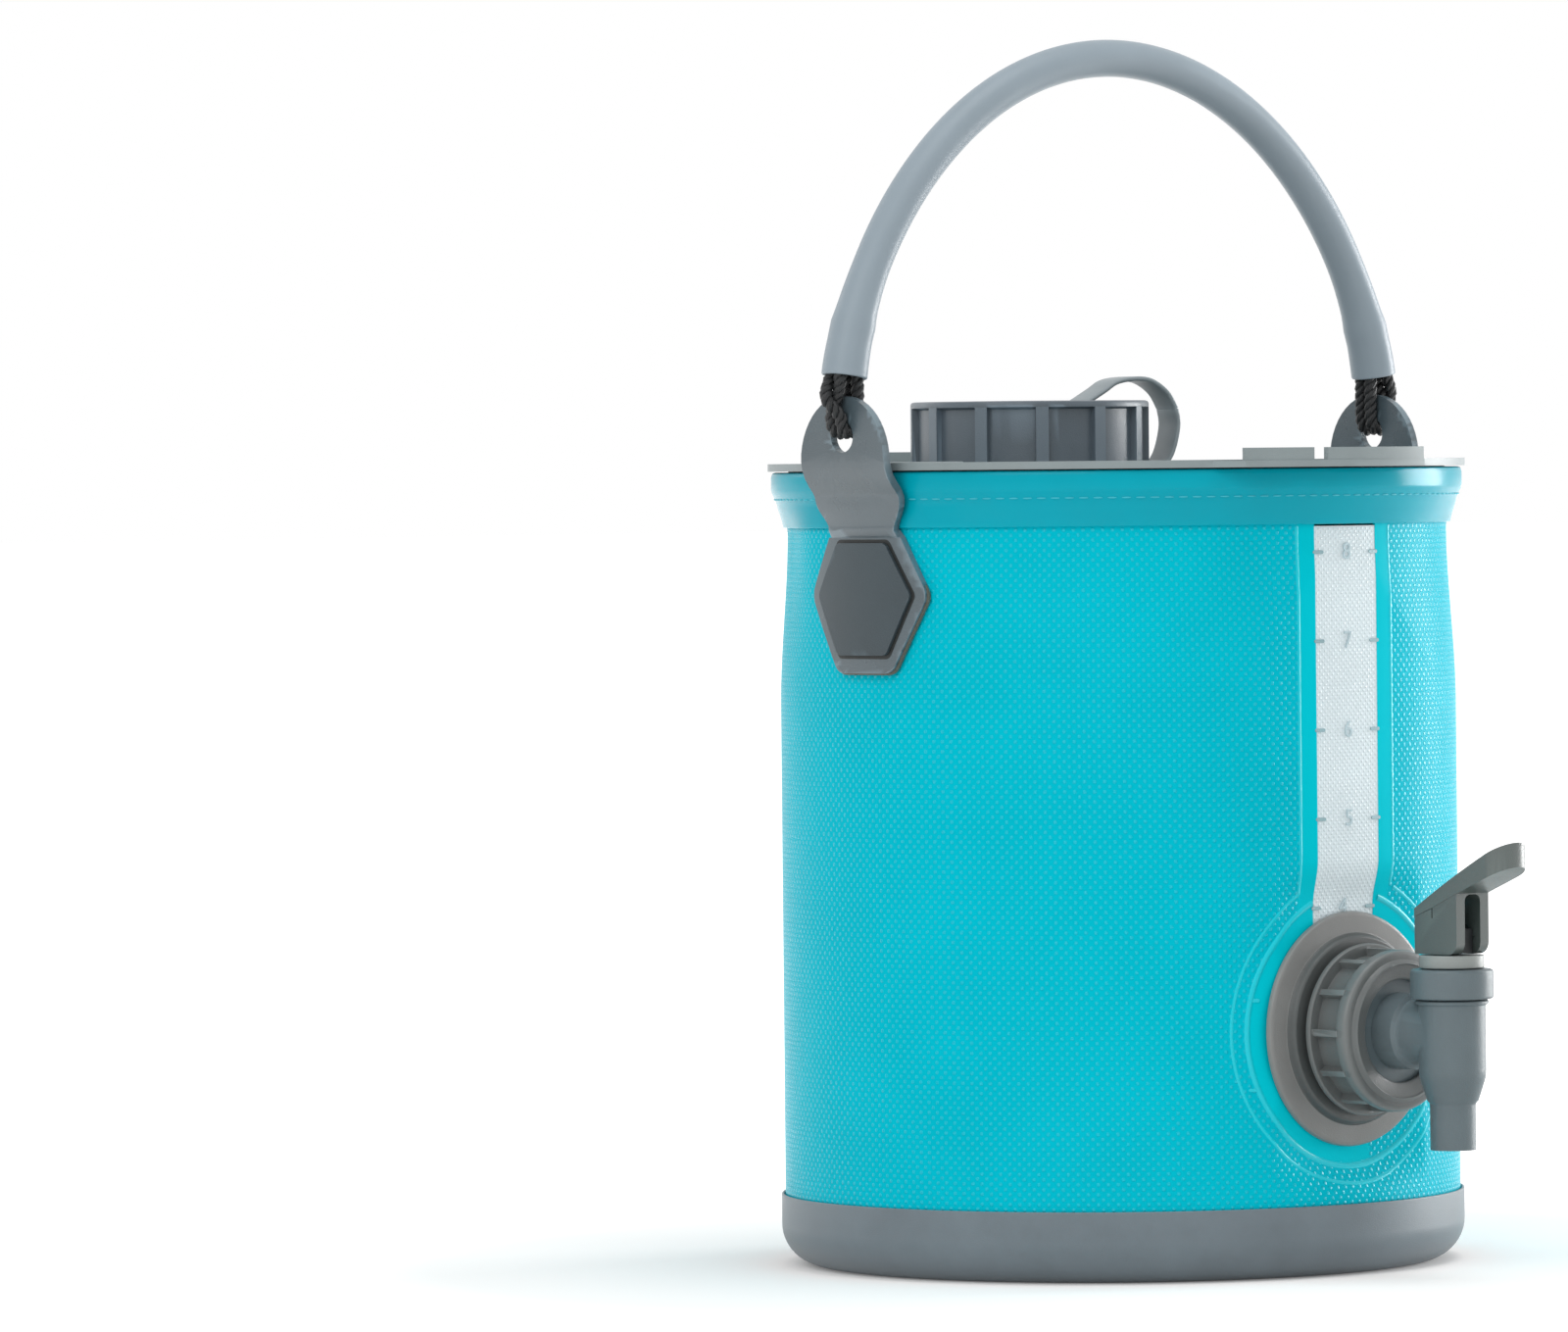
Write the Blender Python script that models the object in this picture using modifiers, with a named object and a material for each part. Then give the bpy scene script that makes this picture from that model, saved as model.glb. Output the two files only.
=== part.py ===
"""Collapsible water carrier: a welded fabric bucket on a moulded base, with a lid, a rope handle and a tap.

Metres, +Z up. The origin is the centre of the base where it stands. The tap points to -Y and the
handle hangs between two lugs on the X axis.
"""

import math

import bmesh
import bpy
from mathutils import Matrix, Vector

# How round pieces are divided, in steps round a full turn
RING_STEPS = 48
CAP_STEPS = 24
FITTING_STEPS = 24
SMALL_STEPS = 16

# Fits
FIT = 0.0003
OVERRUN = 0.003

# Fabric wall
WALL_RADIUS = 0.1072
WALL_THICKNESS = 0.0009
RIM_HEIGHT = 0.2510

# Base cup
BASE_HEIGHT = 0.0226
BASE_FLOOR = 0.0040
BASE_WALL = 0.0024
BASE_LIP = 0.0009
BASE_LIP_DEPTH = 0.0086
BASE_CORNER_RADIUS = 0.0130
BASE_INNER_CORNER_RADIUS = 0.0060
BASE_EDGE_CHAMFER = 0.0004

# Window strip in the wall
WINDOW_WIDTH = 0.0270
WINDOW_SHIFT = 0.0020
WINDOW_TOP_GAP = 0.0006
WINDOW_UNDERLAP = 0.0050

# Hem round the rim
HEM_THICKNESS = 0.0009
HEM_DEPTH = 0.0175
HEM_INNER_DEPTH = 0.0110
HEM_BULGE = 0.0013
HEM_TAPER = 0.0020
HEM_ROUND = 0.0007
HOOP_HEIGHT = 0.0057

# Lugs, heights measured from the rim
LUG_THICKNESS = 0.0026
LUG_BOTTOM_DROP = 0.0626
LUG_WIDEST_DROP = 0.0384
LUG_WAIST_DROP = 0.0178
LUG_SHOULDER_DROP = 0.0085
LUG_TAB_RISE = 0.0235
LUG_TAB_CURVE_RISE = 0.0030
LUG_TAB_UPRIGHT_RISE = 0.0050
LUG_BOTTOM_WIDTH = 0.0240
LUG_WIDEST_WIDTH = 0.0520
LUG_WAIST_WIDTH = 0.0290
LUG_TAB_WIDTH = 0.0380
LUG_HOLE_RISE = 0.0110
LUG_HOLE_RADIUS = 0.0050
LUG_LID_CLEARANCE = 0.0048
LUG_HEM_STEP = 0.0018
PAD_THICKNESS = 0.0012
PAD_BORDER = 0.0056

# Rope handle
ROPE_RADIUS = 0.0020
ROPE_PAIR_GAP = 0.0006
ROPE_MOUTH_SPREAD = 0.0013
ROPE_MOUTH_LENGTH = 0.0120
ROPE_TUCK = 0.0240
GRIP_RADIUS = 0.0059
GRIP_END_RADIUS = 0.0072
GRIP_END_LENGTH = 0.0400
GRIP_CLEAR_RISE = 0.0185
ARCH_SPAN = 0.2352
ARCH_SPRING_RISE = 0.0100
ARCH_HEIGHT = 0.1096
ARCH_SHOULDER_SHARE = 1.7
GRIP_POINTS = 18

# Lid
LID_TURN_DEGREES = -7.5
LID_OVERHANG = 0.0010
LID_THICKNESS = 0.0024
LID_EDGE_CHAMFER = 0.0005
LID_PANEL_RADIUS = 0.0950
LID_PANEL_DROP = 0.0045
LID_STEP_WIDTH = 0.0035
SKIRT_GAP = 0.0009
SKIRT_THICKNESS = 0.0024
SKIRT_DEPTH = 0.0083
SEAL_HEIGHT = 0.0030
SEAL_GROOVE_DEPTH = 0.0012
SEAL_GROOVE_DROP = 0.0021

# Ears of the lid
EAR_REACH = 0.0086
EAR_WIDTH = 0.0700
EAR_ROOT_WIDTH = 0.0820
EAR_LIP_RISE = 0.0036
EAR_LIP_THICKNESS = 0.0026
EAR_NOTCH_WIDTH = 0.0050
EAR_NOTCH_SHARE = 0.63
EAR_SLOT_LENGTH = 0.0240
EAR_SLOT_WIDTH = 0.0042
EAR_SLOT_SPACING = 0.0330

# Raised shield on the lid, with the pocket and the well for the stowed tap
SHIELD_RISE = 0.0018
SHIELD_TOP_OFFSET = 0.0020
SHIELD_TOP_WIDTH = 0.0760
SHIELD_SIDE_WIDTH = 0.1500
SHIELD_SIDE_OFFSET = 0.0460
SHIELD_ARC_RADIUS = 0.0880
SHIELD_FOOT_INSET_DEGREES = 3.0
SHIELD_CORNER_RADIUS = 0.0110
POCKET_OFFSET = 0.0430
POCKET_LENGTH = 0.1090
POCKET_WIDTH = 0.0300
POCKET_DEPTH = 0.0090
WELL_RADIUS = 0.0285
WELL_DEPTH = 0.0270
TUB_WALL = 0.0022
STOW_BOSS_HEIGHT = 0.0100

# Blank disc and air valve on the lid
DISC_OFFSET_X = 0.0653
DISC_OFFSET_Y = 0.0150
DISC_RADIUS = 0.0152
DISC_RISE = 0.0012
VENT_RADIUS = 0.0140
VENT_HEIGHT = 0.0045
VENT_EDGE = 0.0012
VENT_STEM_RADIUS = 0.0041
VENT_FLANGE_RADIUS = 0.0060
VENT_FLANGE_THICKNESS = 0.0015
VENT_TRAVEL = 0.0040

# Filler neck and its screw cap
NECK_OFFSET = 0.0465
NECK_RADIUS = 0.0335
NECK_BORE = 0.0310
NECK_HEIGHT = 0.0153
CAP_RADIUS = 0.0368
CAP_WALL = 0.0023
CAP_HEIGHT = 0.0216
CAP_CHAMFER = 0.0015
CAP_RIM_WIDTH = 0.0054
CAP_DISH_SLOPE = 0.0012
CAP_DISH_DEPTH = 0.0055
CAP_DISH_FLOOR = 0.0022
CAP_RIBS = 12
CAP_RIB_WIDTH = 0.0041
CAP_RIB_RISE = 0.0015
CAP_RIB_DROP = 0.0020
CAP_SEAL_HEIGHT = 0.0022
PIN_RADIUS = 0.0029
PIN_HEAD_RADIUS = 0.0059
PIN_HEAD_HEIGHT = 0.0025
PIN_FOOT_RADIUS = 0.0043
PIN_FOOT_HEIGHT = 0.0018

# Tether from the neck to the cap
TETHER_HEADING_DEGREES = -15.0
TETHER_RING_WIDTH = 0.0037
TETHER_RING_THICKNESS = 0.0017
TETHER_WIDTH = 0.0130
TETHER_THICKNESS = 0.0015
TETHER_REACH = 0.0515
TETHER_RISE = 0.0297
TETHER_EYE_RADIUS = 0.0103

# Port through the wall
PORT_HEIGHT = 0.0766
PORT_SEAT_PRESS = 0.0057
PORT_SEAT_MARGIN = 0.0020
PORT_SEAT_FADE = 0.0145
PORT_FLANGE_RADIUS = 0.0365
PORT_FLANGE_THICKNESS = 0.0022
PORT_STEP_RADIUS = 0.0295
PORT_STEP_HEIGHT = 0.0030
PORT_NECK_RADIUS = 0.0200
PORT_NECK_LENGTH = 0.0120
PORT_SLEEVE_RADIUS = 0.0207
PORT_BORE_RADIUS = 0.0165
GASKET_RADIUS = 0.0290
GASKET_THICKNESS = 0.0020
PORT_NUT_RADIUS = 0.0320
PORT_NUT_SIDES = 6
PORT_NUT_THICKNESS = 0.0065
PORT_SLEEVE_STUB = 0.0010

# Ribbed nut that holds the tap
NUT_GAP = 0.0020
NUT_FLANGE_RADIUS = 0.0267
NUT_FLANGE_THICKNESS = 0.0020
NUT_BARREL_RADIUS = 0.0238
NUT_BARREL_LENGTH = 0.0092
NUT_RIM_RADIUS = 0.0250
NUT_RIM_LENGTH = 0.0045
NUT_FACE_STEP = 0.0015
NUT_FACE_RADIUS = 0.0210
NUT_MOUTH_RADIUS = 0.0160
NUT_RIBS = 12
NUT_RIB_WIDTH = 0.0016
NUT_RIB_RISE = 0.0014

# Tap
WASHER_THICKNESS = 0.0017
TAP_FLANGE_RADIUS = 0.0195
TAP_FLANGE_THICKNESS = 0.0017
TAP_SPIGOT_RADIUS = 0.0127
TAP_SPIGOT_LENGTH = 0.0060
TAP_STEM_RADIUS = 0.0102
TAP_STEM_COLLAR_RADIUS = 0.0118
TAP_STEM_COLLAR_LENGTH = 0.0085
TAP_STEM_BORE = 0.0070
TAP_NUT_CLEARANCE = 0.0074
TAP_RADIUS = 0.0104
TAP_WALL = 0.0020
TAP_TOP_RISE = 0.0103
TAP_CONE_DROP = 0.0132
TAP_NOZZLE_DROP = 0.0217
TAP_MOUTH_DROP = 0.0359
TAP_NOZZLE_RADIUS = 0.0071
TAP_NOZZLE_BORE = 0.0054
TAP_LIP_HEIGHT = 0.0012
TAP_LIP_RISE = 0.0006
BONNET_RADIUS = 0.0129
BONNET_HEIGHT = 0.0092
BONNET_CHAMFER = 0.0006
BONNET_PLUG_DEPTH = 0.0030
COLLAR_RADIUS = 0.0101
COLLAR_HEIGHT = 0.0040

# Lever of the tap
LEVER_WIDTH = 0.0145
LEVER_LENGTH = 0.0175
LEVER_HEEL = 0.0089
LEVER_HEEL_HEIGHT = 0.0148
LEVER_TOE_HEIGHT = 0.0226
LEVER_FULCRUM_OFFSET = 0.0057
LEVER_SLOT_WIDTH = 0.0068
LEVER_SLOT_HEIGHT = 0.0195
LEVER_BACK_WALL = 0.0020
PADDLE_REACH = 0.0239
PADDLE_TIP_TOP = 0.0350
PADDLE_TIP_BOTTOM = 0.0275
LEVER_PIN_RADIUS = 0.0015
LEVER_PIN_RISE = 0.0040
LEVER_SWING_DEGREES = 25.0

# Valve inside the tap
STEM_RADIUS = 0.0018
STEM_HEAD_WIDTH = 0.0062
STEM_HEAD_WALL = 0.0014
STEM_HEAD_CHAMFER_DEPTH = 0.0010
STEM_HEAD_CHAMFER_HEIGHT = 0.0022
SEAT_CUP_RADIUS = 0.0079
SEAT_CUP_HEIGHT = 0.0090
SEAT_CUP_SKIRT = 0.0060
SEAT_CUP_SOCKET = 0.0060
SEAT_CUP_NECK = 0.0040

# Sizes that follow from the ones above
LIP_RADIUS = WALL_RADIUS + FIT
BASE_RADIUS = LIP_RADIUS + BASE_LIP
BASE_INNER_RADIUS = BASE_RADIUS - BASE_WALL
LEDGE_HEIGHT = BASE_HEIGHT - BASE_LIP_DEPTH
WALL_BOTTOM = LEDGE_HEIGHT + FIT
HEM_LEG_RADIUS = WALL_RADIUS + FIT + HEM_THICKNESS
HEM_BULGE_RADIUS = HEM_LEG_RADIUS + HEM_BULGE
HEM_BACK_RADIUS = WALL_RADIUS - WALL_THICKNESS - FIT
HEM_INNER_RADIUS = HEM_BACK_RADIUS - HEM_THICKNESS
HEM_BOTTOM = RIM_HEIGHT - HEM_DEPTH
HOOP_TOP = RIM_HEIGHT - HEM_THICKNESS - FIT
HOOP_BOTTOM = HOOP_TOP - HOOP_HEIGHT
WALL_TOP = HOOP_BOTTOM - FIT
WINDOW_TOP = HEM_BOTTOM - WINDOW_TOP_GAP
WINDOW_BOTTOM = PORT_HEIGHT + PORT_FLANGE_RADIUS - WINDOW_UNDERLAP
LUG_INNER_RADIUS = WALL_RADIUS + FIT
PAD_INNER_RADIUS = LUG_INNER_RADIUS + LUG_THICKNESS + FIT
LUG_HOLE_HEIGHT = RIM_HEIGHT + LUG_HOLE_RISE
GRIP_END_HEIGHT = LUG_HOLE_HEIGHT + GRIP_CLEAR_RISE
ARCH_SPRING_HEIGHT = LUG_HOLE_HEIGHT + ARCH_SPRING_RISE
LID_RADIUS = HEM_BULGE_RADIUS + LID_OVERHANG
EAR_RADIUS = LID_RADIUS + EAR_REACH
LUG_TAB_RADIUS = LID_RADIUS + LUG_LID_CLEARANCE + LUG_THICKNESS / 2
LID_BOTTOM = RIM_HEIGHT + FIT
LID_TOP = LID_BOTTOM + LID_THICKNESS
PANEL_TOP = LID_TOP - LID_PANEL_DROP
PANEL_BOTTOM = PANEL_TOP - LID_THICKNESS
SHIELD_TOP = PANEL_TOP + SHIELD_RISE
SKIRT_RADIUS = HEM_INNER_RADIUS - SKIRT_GAP
SEAL_GROOVE_RADIUS = SKIRT_RADIUS - SEAL_GROOVE_DEPTH
SEAL_GROOVE_TOP = LID_BOTTOM - SEAL_GROOVE_DROP
SEAL_RADIUS = HEM_INNER_RADIUS - FIT
NECK_TOP = PANEL_TOP + NECK_HEIGHT
TETHER_RING_TOP = PANEL_TOP + FIT + TETHER_RING_THICKNESS
CAP_BOTTOM = TETHER_RING_TOP + FIT
CAP_TOP = CAP_BOTTOM + CAP_HEIGHT
CAP_DISH_HEIGHT = CAP_TOP - CAP_DISH_DEPTH
CAP_DISH_RADIUS = CAP_RADIUS - CAP_CHAMFER - CAP_RIM_WIDTH - CAP_DISH_SLOPE
CAP_CEILING = NECK_TOP + FIT + CAP_SEAL_HEIGHT + FIT
CAP_DISH_UNDERSIDE = CAP_DISH_HEIGHT - CAP_DISH_FLOOR
EYE_BOTTOM = CAP_DISH_HEIGHT + FIT
EYE_TOP = EYE_BOTTOM + TETHER_THICKNESS
PORT_SEAT_DISTANCE = WALL_RADIUS - PORT_SEAT_PRESS
PORT_FLANGE_BACK = PORT_SEAT_DISTANCE + FIT
PORT_FLANGE_FRONT = PORT_FLANGE_BACK + PORT_FLANGE_THICKNESS
PORT_STEP_FRONT = PORT_FLANGE_FRONT + PORT_STEP_HEIGHT
PORT_NECK_FRONT = PORT_STEP_FRONT + PORT_NECK_LENGTH
GASKET_FRONT = PORT_SEAT_DISTANCE - WALL_THICKNESS - FIT
PORT_NUT_FRONT = GASKET_FRONT - GASKET_THICKNESS - FIT
PORT_SLEEVE_BACK = PORT_NUT_FRONT - PORT_NUT_THICKNESS - PORT_SLEEVE_STUB
WASHER_FRONT = PORT_NECK_FRONT + FIT + WASHER_THICKNESS
TAP_FLANGE_BACK = WASHER_FRONT + FIT
TAP_FLANGE_FRONT = TAP_FLANGE_BACK + TAP_FLANGE_THICKNESS
NUT_BACK = PORT_STEP_FRONT + NUT_GAP
NUT_RIM_FRONT = NUT_BACK + NUT_FLANGE_THICKNESS + NUT_BARREL_LENGTH + NUT_RIM_LENGTH
NUT_FRONT = NUT_RIM_FRONT + NUT_FACE_STEP
NUT_THREAD_RADIUS = PORT_NECK_RADIUS + FIT
TAP_DISTANCE = NUT_FRONT + TAP_NUT_CLEARANCE + BONNET_RADIUS
TAP_TOP = PORT_HEIGHT + TAP_TOP_RISE
BONNET_BOTTOM = TAP_TOP + FIT
BONNET_TOP = BONNET_BOTTOM + BONNET_HEIGHT
COLLAR_BOTTOM = BONNET_TOP + FIT
COLLAR_TOP = COLLAR_BOTTOM + COLLAR_HEIGHT
LEVER_BOTTOM = COLLAR_TOP + FIT
LEVER_PIN_HEIGHT = LEVER_BOTTOM + LEVER_PIN_RISE
FULCRUM_DISTANCE = TAP_DISTANCE + LEVER_FULCRUM_OFFSET

MERGE_DISTANCE = 0.00001

# Lug outline: rows over the tab's round top, as shares of its rise, and columns across
TAB_TOP_SHARES = (0.25, 0.48, 0.66, 0.80, 0.90, 0.96, 0.99)
LUG_COLUMNS = 6

# Points on the stretch of grip with two ropes in it, as shares of the tucked length
TUCK_POINT_SHARES = (0, 0.33, 0.66, 1, 1.25, 1.5)

# Distance from the neck's centre and height, as shares of the tether's reach and rise
TETHER_PATH_SHARES = (
    (0.73, 0.0),
    (0.82, 0.01),
    (0.91, 0.09),
    (0.965, 0.24),
    (1.0, 0.50),
    (0.985, 0.68),
    (0.93, 0.84),
    (0.85, 0.95),
    (0.77, 1.0),
    (0.66, 1.0),
    (0.56, 0.965),
    (0.48, 0.88),
    (0.37, 0.77),
)

# The same path's end on the eye, as shares of the eye's radius and the strap's thickness
TETHER_FOOT_SHARES = ((1.3, 0.9), (1.02, 0.05), (0.6, 0.0))

# The paddle's side outline, as shares of its reach past the cheeks and of its rise
PADDLE_TOP_SHARES = ((0.22, 0.30), (0.50, 0.62), (0.78, 0.86))
PADDLE_BOTTOM_SHARES = ((0.62, 0.42),)


# Materials

def material(name, colour, roughness, transmission=0.0, metallic=0.0):
    made = bpy.data.materials.new(name)
    made.use_nodes = True
    shader = made.node_tree.nodes["Principled BSDF"]
    shader.inputs["Base Color"].default_value = (*colour, 1.0)
    shader.inputs["Roughness"].default_value = roughness
    shader.inputs["Metallic"].default_value = metallic
    shader.inputs["Transmission Weight"].default_value = transmission
    made.diffuse_color = (*colour, 1.0)
    return made


# Scene helpers

def empty_the_scene():
    for thing in list(bpy.data.objects):
        bpy.data.objects.remove(thing, do_unlink=True)


def collection(name):
    made = bpy.data.collections.new(name)
    bpy.context.scene.collection.children.link(made)
    return made


def add_part(mesh, name, finish, rotation=(0, 0, 0), location=(0, 0, 0)):
    part = bpy.data.objects.new(name, mesh)
    part.rotation_euler = rotation
    part.location = location
    mesh.materials.append(finish)
    PARTS.objects.link(part)
    return part


def add_tool(mesh, name, rotation=(0, 0, 0), location=(0, 0, 0)):
    tool = bpy.data.objects.new(name, mesh)
    tool.rotation_euler = rotation
    tool.location = location
    tool.hide_render = True
    tool.display_type = "WIRE"
    TOOLS.objects.link(tool)
    return tool


def boolean(part, tools, operation):
    """One Boolean step for all the tools, which are kept in a collection of their own."""
    group = bpy.data.collections.new(part.name + " " + operation.lower())
    TOOLS.children.link(group)
    for tool in tools:
        TOOLS.objects.unlink(tool)
        group.objects.link(tool)
    step = part.modifiers.new(operation.title(), "BOOLEAN")
    step.operation = operation
    step.solver = "EXACT"
    step.operand_type = "COLLECTION"
    step.collection = group


def hang(name, location, *pieces):
    """An empty on a joint's axis, which the pieces that turn about it hang from."""
    pivot = bpy.data.objects.new(name, None)
    pivot.location = location
    PARTS.objects.link(pivot)
    for piece in pieces:
        piece.parent = pivot
        piece.matrix_parent_inverse = Matrix.Translation(location).inverted()


def cut(part, *tools):
    boolean(part, tools, "DIFFERENCE")


def join(part, *tools):
    boolean(part, tools, "UNION")


def smooth(part):
    """Smooth shading, with the normals led by the larger faces so that flats stay flat."""
    part.data.shade_smooth()
    part.modifiers.new("Normals", "WEIGHTED_NORMAL")
    return part


# Shapes

def arc(centre, radius, start, end, steps):
    """Points on an arc, its angles in degrees."""
    points = []
    for step in range(steps + 1):
        angle = math.radians(start + (end - start) * step / steps)
        points.append((centre[0] + radius * math.cos(angle), centre[1] + radius * math.sin(angle)))
    return points


def profile_mesh(name, profile, closed):
    mesh = bpy.data.meshes.new(name)
    count = len(profile)
    edges = [(i, i + 1) for i in range(count - 1)]
    if closed:
        edges.append((count - 1, 0))
    mesh.from_pydata([(r, 0, z) for r, z in profile], edges, [])
    return mesh


def turn(part, steps):
    screw = part.modifiers.new("Turn", "SCREW")
    screw.angle = math.tau
    screw.steps = steps
    screw.render_steps = steps
    screw.use_merge_vertices = True
    screw.merge_threshold = MERGE_DISTANCE
    return part


def turned(name, profile, finish, steps, closed=False, **place):
    """A turned part: its profile runs down the outer side, and is closed where it has a bore."""
    return turn(add_part(profile_mesh(name, profile, closed), name, finish, **place), steps)


def turned_tool(name, profile, steps, closed=False, **place):
    return turn(add_tool(profile_mesh(name, profile, closed), name, **place), steps)


def box_mesh(name, low, high):
    mesh = bpy.data.meshes.new(name)
    bm = bmesh.new()
    bmesh.ops.create_cube(bm, size=1)
    middle = (Vector(low) + Vector(high)) / 2
    size = Vector(high) - Vector(low)
    for vert in bm.verts:
        vert.co = Vector([c * s for c, s in zip(vert.co, size)]) + middle
    bm.to_mesh(mesh)
    bm.free()
    return mesh


def rod_tool(name, radius, low, high, steps, **place):
    """A solid cylinder between two heights, as a cutter."""
    return turned_tool(name, [(0, high), (radius, high), (radius, low), (0, low)], steps, **place)


def outline_mesh(name, points, low, high):
    """A flat outline in X and Y, given a thickness from low to high."""
    curve = bpy.data.curves.new(name, "CURVE")
    curve.dimensions = "2D"
    curve.fill_mode = "BOTH"
    curve.extrude = (high - low) / 2
    spline = curve.splines.new("POLY")
    spline.points.add(len(points) - 1)
    for point, (x, y) in zip(spline.points, points):
        point.co = (x, y, 0, 1)
    spline.use_cyclic_u = True
    mesh = mesh_of_curve(name, curve)
    mesh.transform(Matrix.Translation((0, 0, (low + high) / 2)))
    return mesh


def mesh_of_curve(name, curve):
    """The curve's closed mesh, its caps welded to its sides."""
    holder = bpy.data.objects.new(name, curve)
    TOOLS.objects.link(holder)
    bpy.context.view_layer.update()
    found = holder.evaluated_get(bpy.context.evaluated_depsgraph_get())
    mesh = bpy.data.meshes.new_from_object(found)
    bm = bmesh.new()
    bm.from_mesh(mesh)
    bmesh.ops.remove_doubles(bm, verts=bm.verts, dist=MERGE_DISTANCE)
    bmesh.ops.recalc_face_normals(bm, faces=bm.faces)
    bm.to_mesh(mesh)
    bm.free()
    mesh.materials.clear()
    bpy.data.objects.remove(holder, do_unlink=True)
    return mesh


def tube_mesh(name, points, radii, resolution):
    """A round tube through the points, its radius given at each."""
    curve = bpy.data.curves.new(name, "CURVE")
    curve.dimensions = "3D"
    curve.bevel_depth = 1
    curve.bevel_resolution = resolution
    curve.use_fill_caps = True
    curve.twist_mode = "Z_UP"
    spline = curve.splines.new("POLY")
    spline.points.add(len(points) - 1)
    for point, (x, y, z), radius in zip(spline.points, points, radii):
        point.co = (x, y, z, 1)
        point.radius = radius
    return mesh_of_curve(name, curve)


def rounded(corners, radii, steps=4):
    """A closed outline with each corner rounded."""
    points = []
    count = len(corners)
    for i, (corner, radius) in enumerate(zip(corners, radii)):
        here = Vector(corner)
        back = (Vector(corners[i - 1]) - here).normalized()
        on = (Vector(corners[(i + 1) % count]) - here).normalized()
        half = back.angle(on) / 2
        reach = radius / math.tan(half)
        centre = here + (back + on).normalized() * (radius / math.sin(half))
        first = here + back * reach - centre
        turn_by = first.angle_signed(here + on * reach - centre)
        for step in range(steps + 1):
            angle = -turn_by * step / steps
            spun = Vector((
                first.x * math.cos(angle) - first.y * math.sin(angle),
                first.x * math.sin(angle) + first.y * math.cos(angle),
            ))
            points.append(tuple(centre + spun))
    return points


def smoothstep(value):
    value = min(max(value, 0), 1)
    return value * value * (3 - 2 * value)


def spaced(low, high, count):
    return [low + (high - low) * i / count for i in range(count + 1)]


# Base cup

def base_cup():
    corner = BASE_CORNER_RADIUS
    inner = BASE_INNER_CORNER_RADIUS
    profile = [(0, BASE_FLOOR)]
    profile += arc((BASE_INNER_RADIUS - inner, BASE_FLOOR + inner), inner, -90, 0, 2)
    profile += [
        (BASE_INNER_RADIUS, LEDGE_HEIGHT),
        (LIP_RADIUS, LEDGE_HEIGHT),
        (LIP_RADIUS, BASE_HEIGHT),
        (BASE_RADIUS - BASE_EDGE_CHAMFER, BASE_HEIGHT),
        (BASE_RADIUS, BASE_HEIGHT - BASE_EDGE_CHAMFER),
    ]
    profile += arc((BASE_RADIUS - corner, corner), corner, 0, -90, 3)
    profile.append((0, 0))
    return smooth(turned("base_cup", profile, GREY_PLASTIC, RING_STEPS))


# Fabric wall and its window

def wall_mesh(name):
    """The wall's outer skin, pressed flat where the port is clamped on it."""
    flat = PORT_FLANGE_RADIUS + PORT_SEAT_MARGIN
    fade = flat + PORT_SEAT_FADE
    bm = bmesh.new()
    bmesh.ops.create_cone(
        bm, segments=RING_STEPS, radius1=WALL_RADIUS, radius2=WALL_RADIUS, depth=WALL_TOP - WALL_BOTTOM
    )
    for vert in bm.verts:
        vert.co.z += (WALL_TOP + WALL_BOTTOM) / 2
    rows = [PORT_HEIGHT]
    for reach in (flat, fade):
        rows += [PORT_HEIGHT - reach, PORT_HEIGHT + reach]
    for row in rows:
        bmesh.ops.bisect_plane(
            bm, geom=bm.verts[:] + bm.edges[:] + bm.faces[:], plane_co=(0, 0, row), plane_no=(0, 0, 1)
        )
    for vert in bm.verts:
        away = (vert.co.x**4 + (vert.co.z - PORT_HEIGHT) ** 4) ** 0.25
        pressed = 1 - smoothstep((away - flat) / (fade - flat))
        if vert.co.y < -PORT_SEAT_DISTANCE:
            vert.co.y += (-PORT_SEAT_DISTANCE - vert.co.y) * pressed
    mesh = bpy.data.meshes.new(name)
    bm.to_mesh(mesh)
    bm.free()
    return mesh


def thicken(part, thickness):
    step = part.modifiers.new("Thickness", "SOLIDIFY")
    step.thickness = thickness
    step.offset = -1
    step.use_even_offset = True


def wall():
    part = add_part(wall_mesh("wall"), "wall", TEAL_FABRIC)
    thicken(part, WALL_THICKNESS)
    half = WINDOW_WIDTH / 2 + FIT
    slot = box_mesh(
        "window slot",
        (-half - WINDOW_SHIFT, -WALL_RADIUS - OVERRUN, WINDOW_BOTTOM - FIT),
        (half - WINDOW_SHIFT, -PORT_SEAT_DISTANCE + WALL_THICKNESS + OVERRUN, WINDOW_TOP + FIT),
    )
    cut(part, add_tool(slot, "window slot"))
    hole = rod_tool(
        "port hole",
        PORT_SLEEVE_RADIUS + FIT,
        PORT_SEAT_DISTANCE - WALL_THICKNESS - OVERRUN,
        WALL_RADIUS + OVERRUN,
        FITTING_STEPS,
        **PORT_PLACE,
    )
    cut(part, hole)
    return smooth(part)


def window():
    part = add_part(wall_mesh("window"), "window", CLEAR_FILM)
    thicken(part, WALL_THICKNESS)
    half = WINDOW_WIDTH / 2
    strip = box_mesh(
        "window strip",
        (-half - WINDOW_SHIFT, -WALL_RADIUS - OVERRUN, WINDOW_BOTTOM),
        (half - WINDOW_SHIFT, -PORT_SEAT_DISTANCE + WALL_THICKNESS + OVERRUN, WINDOW_TOP),
    )
    boolean(part, [add_tool(strip, "window strip")], "INTERSECT")
    return smooth(part)


# Hem and the hoop inside it

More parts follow.
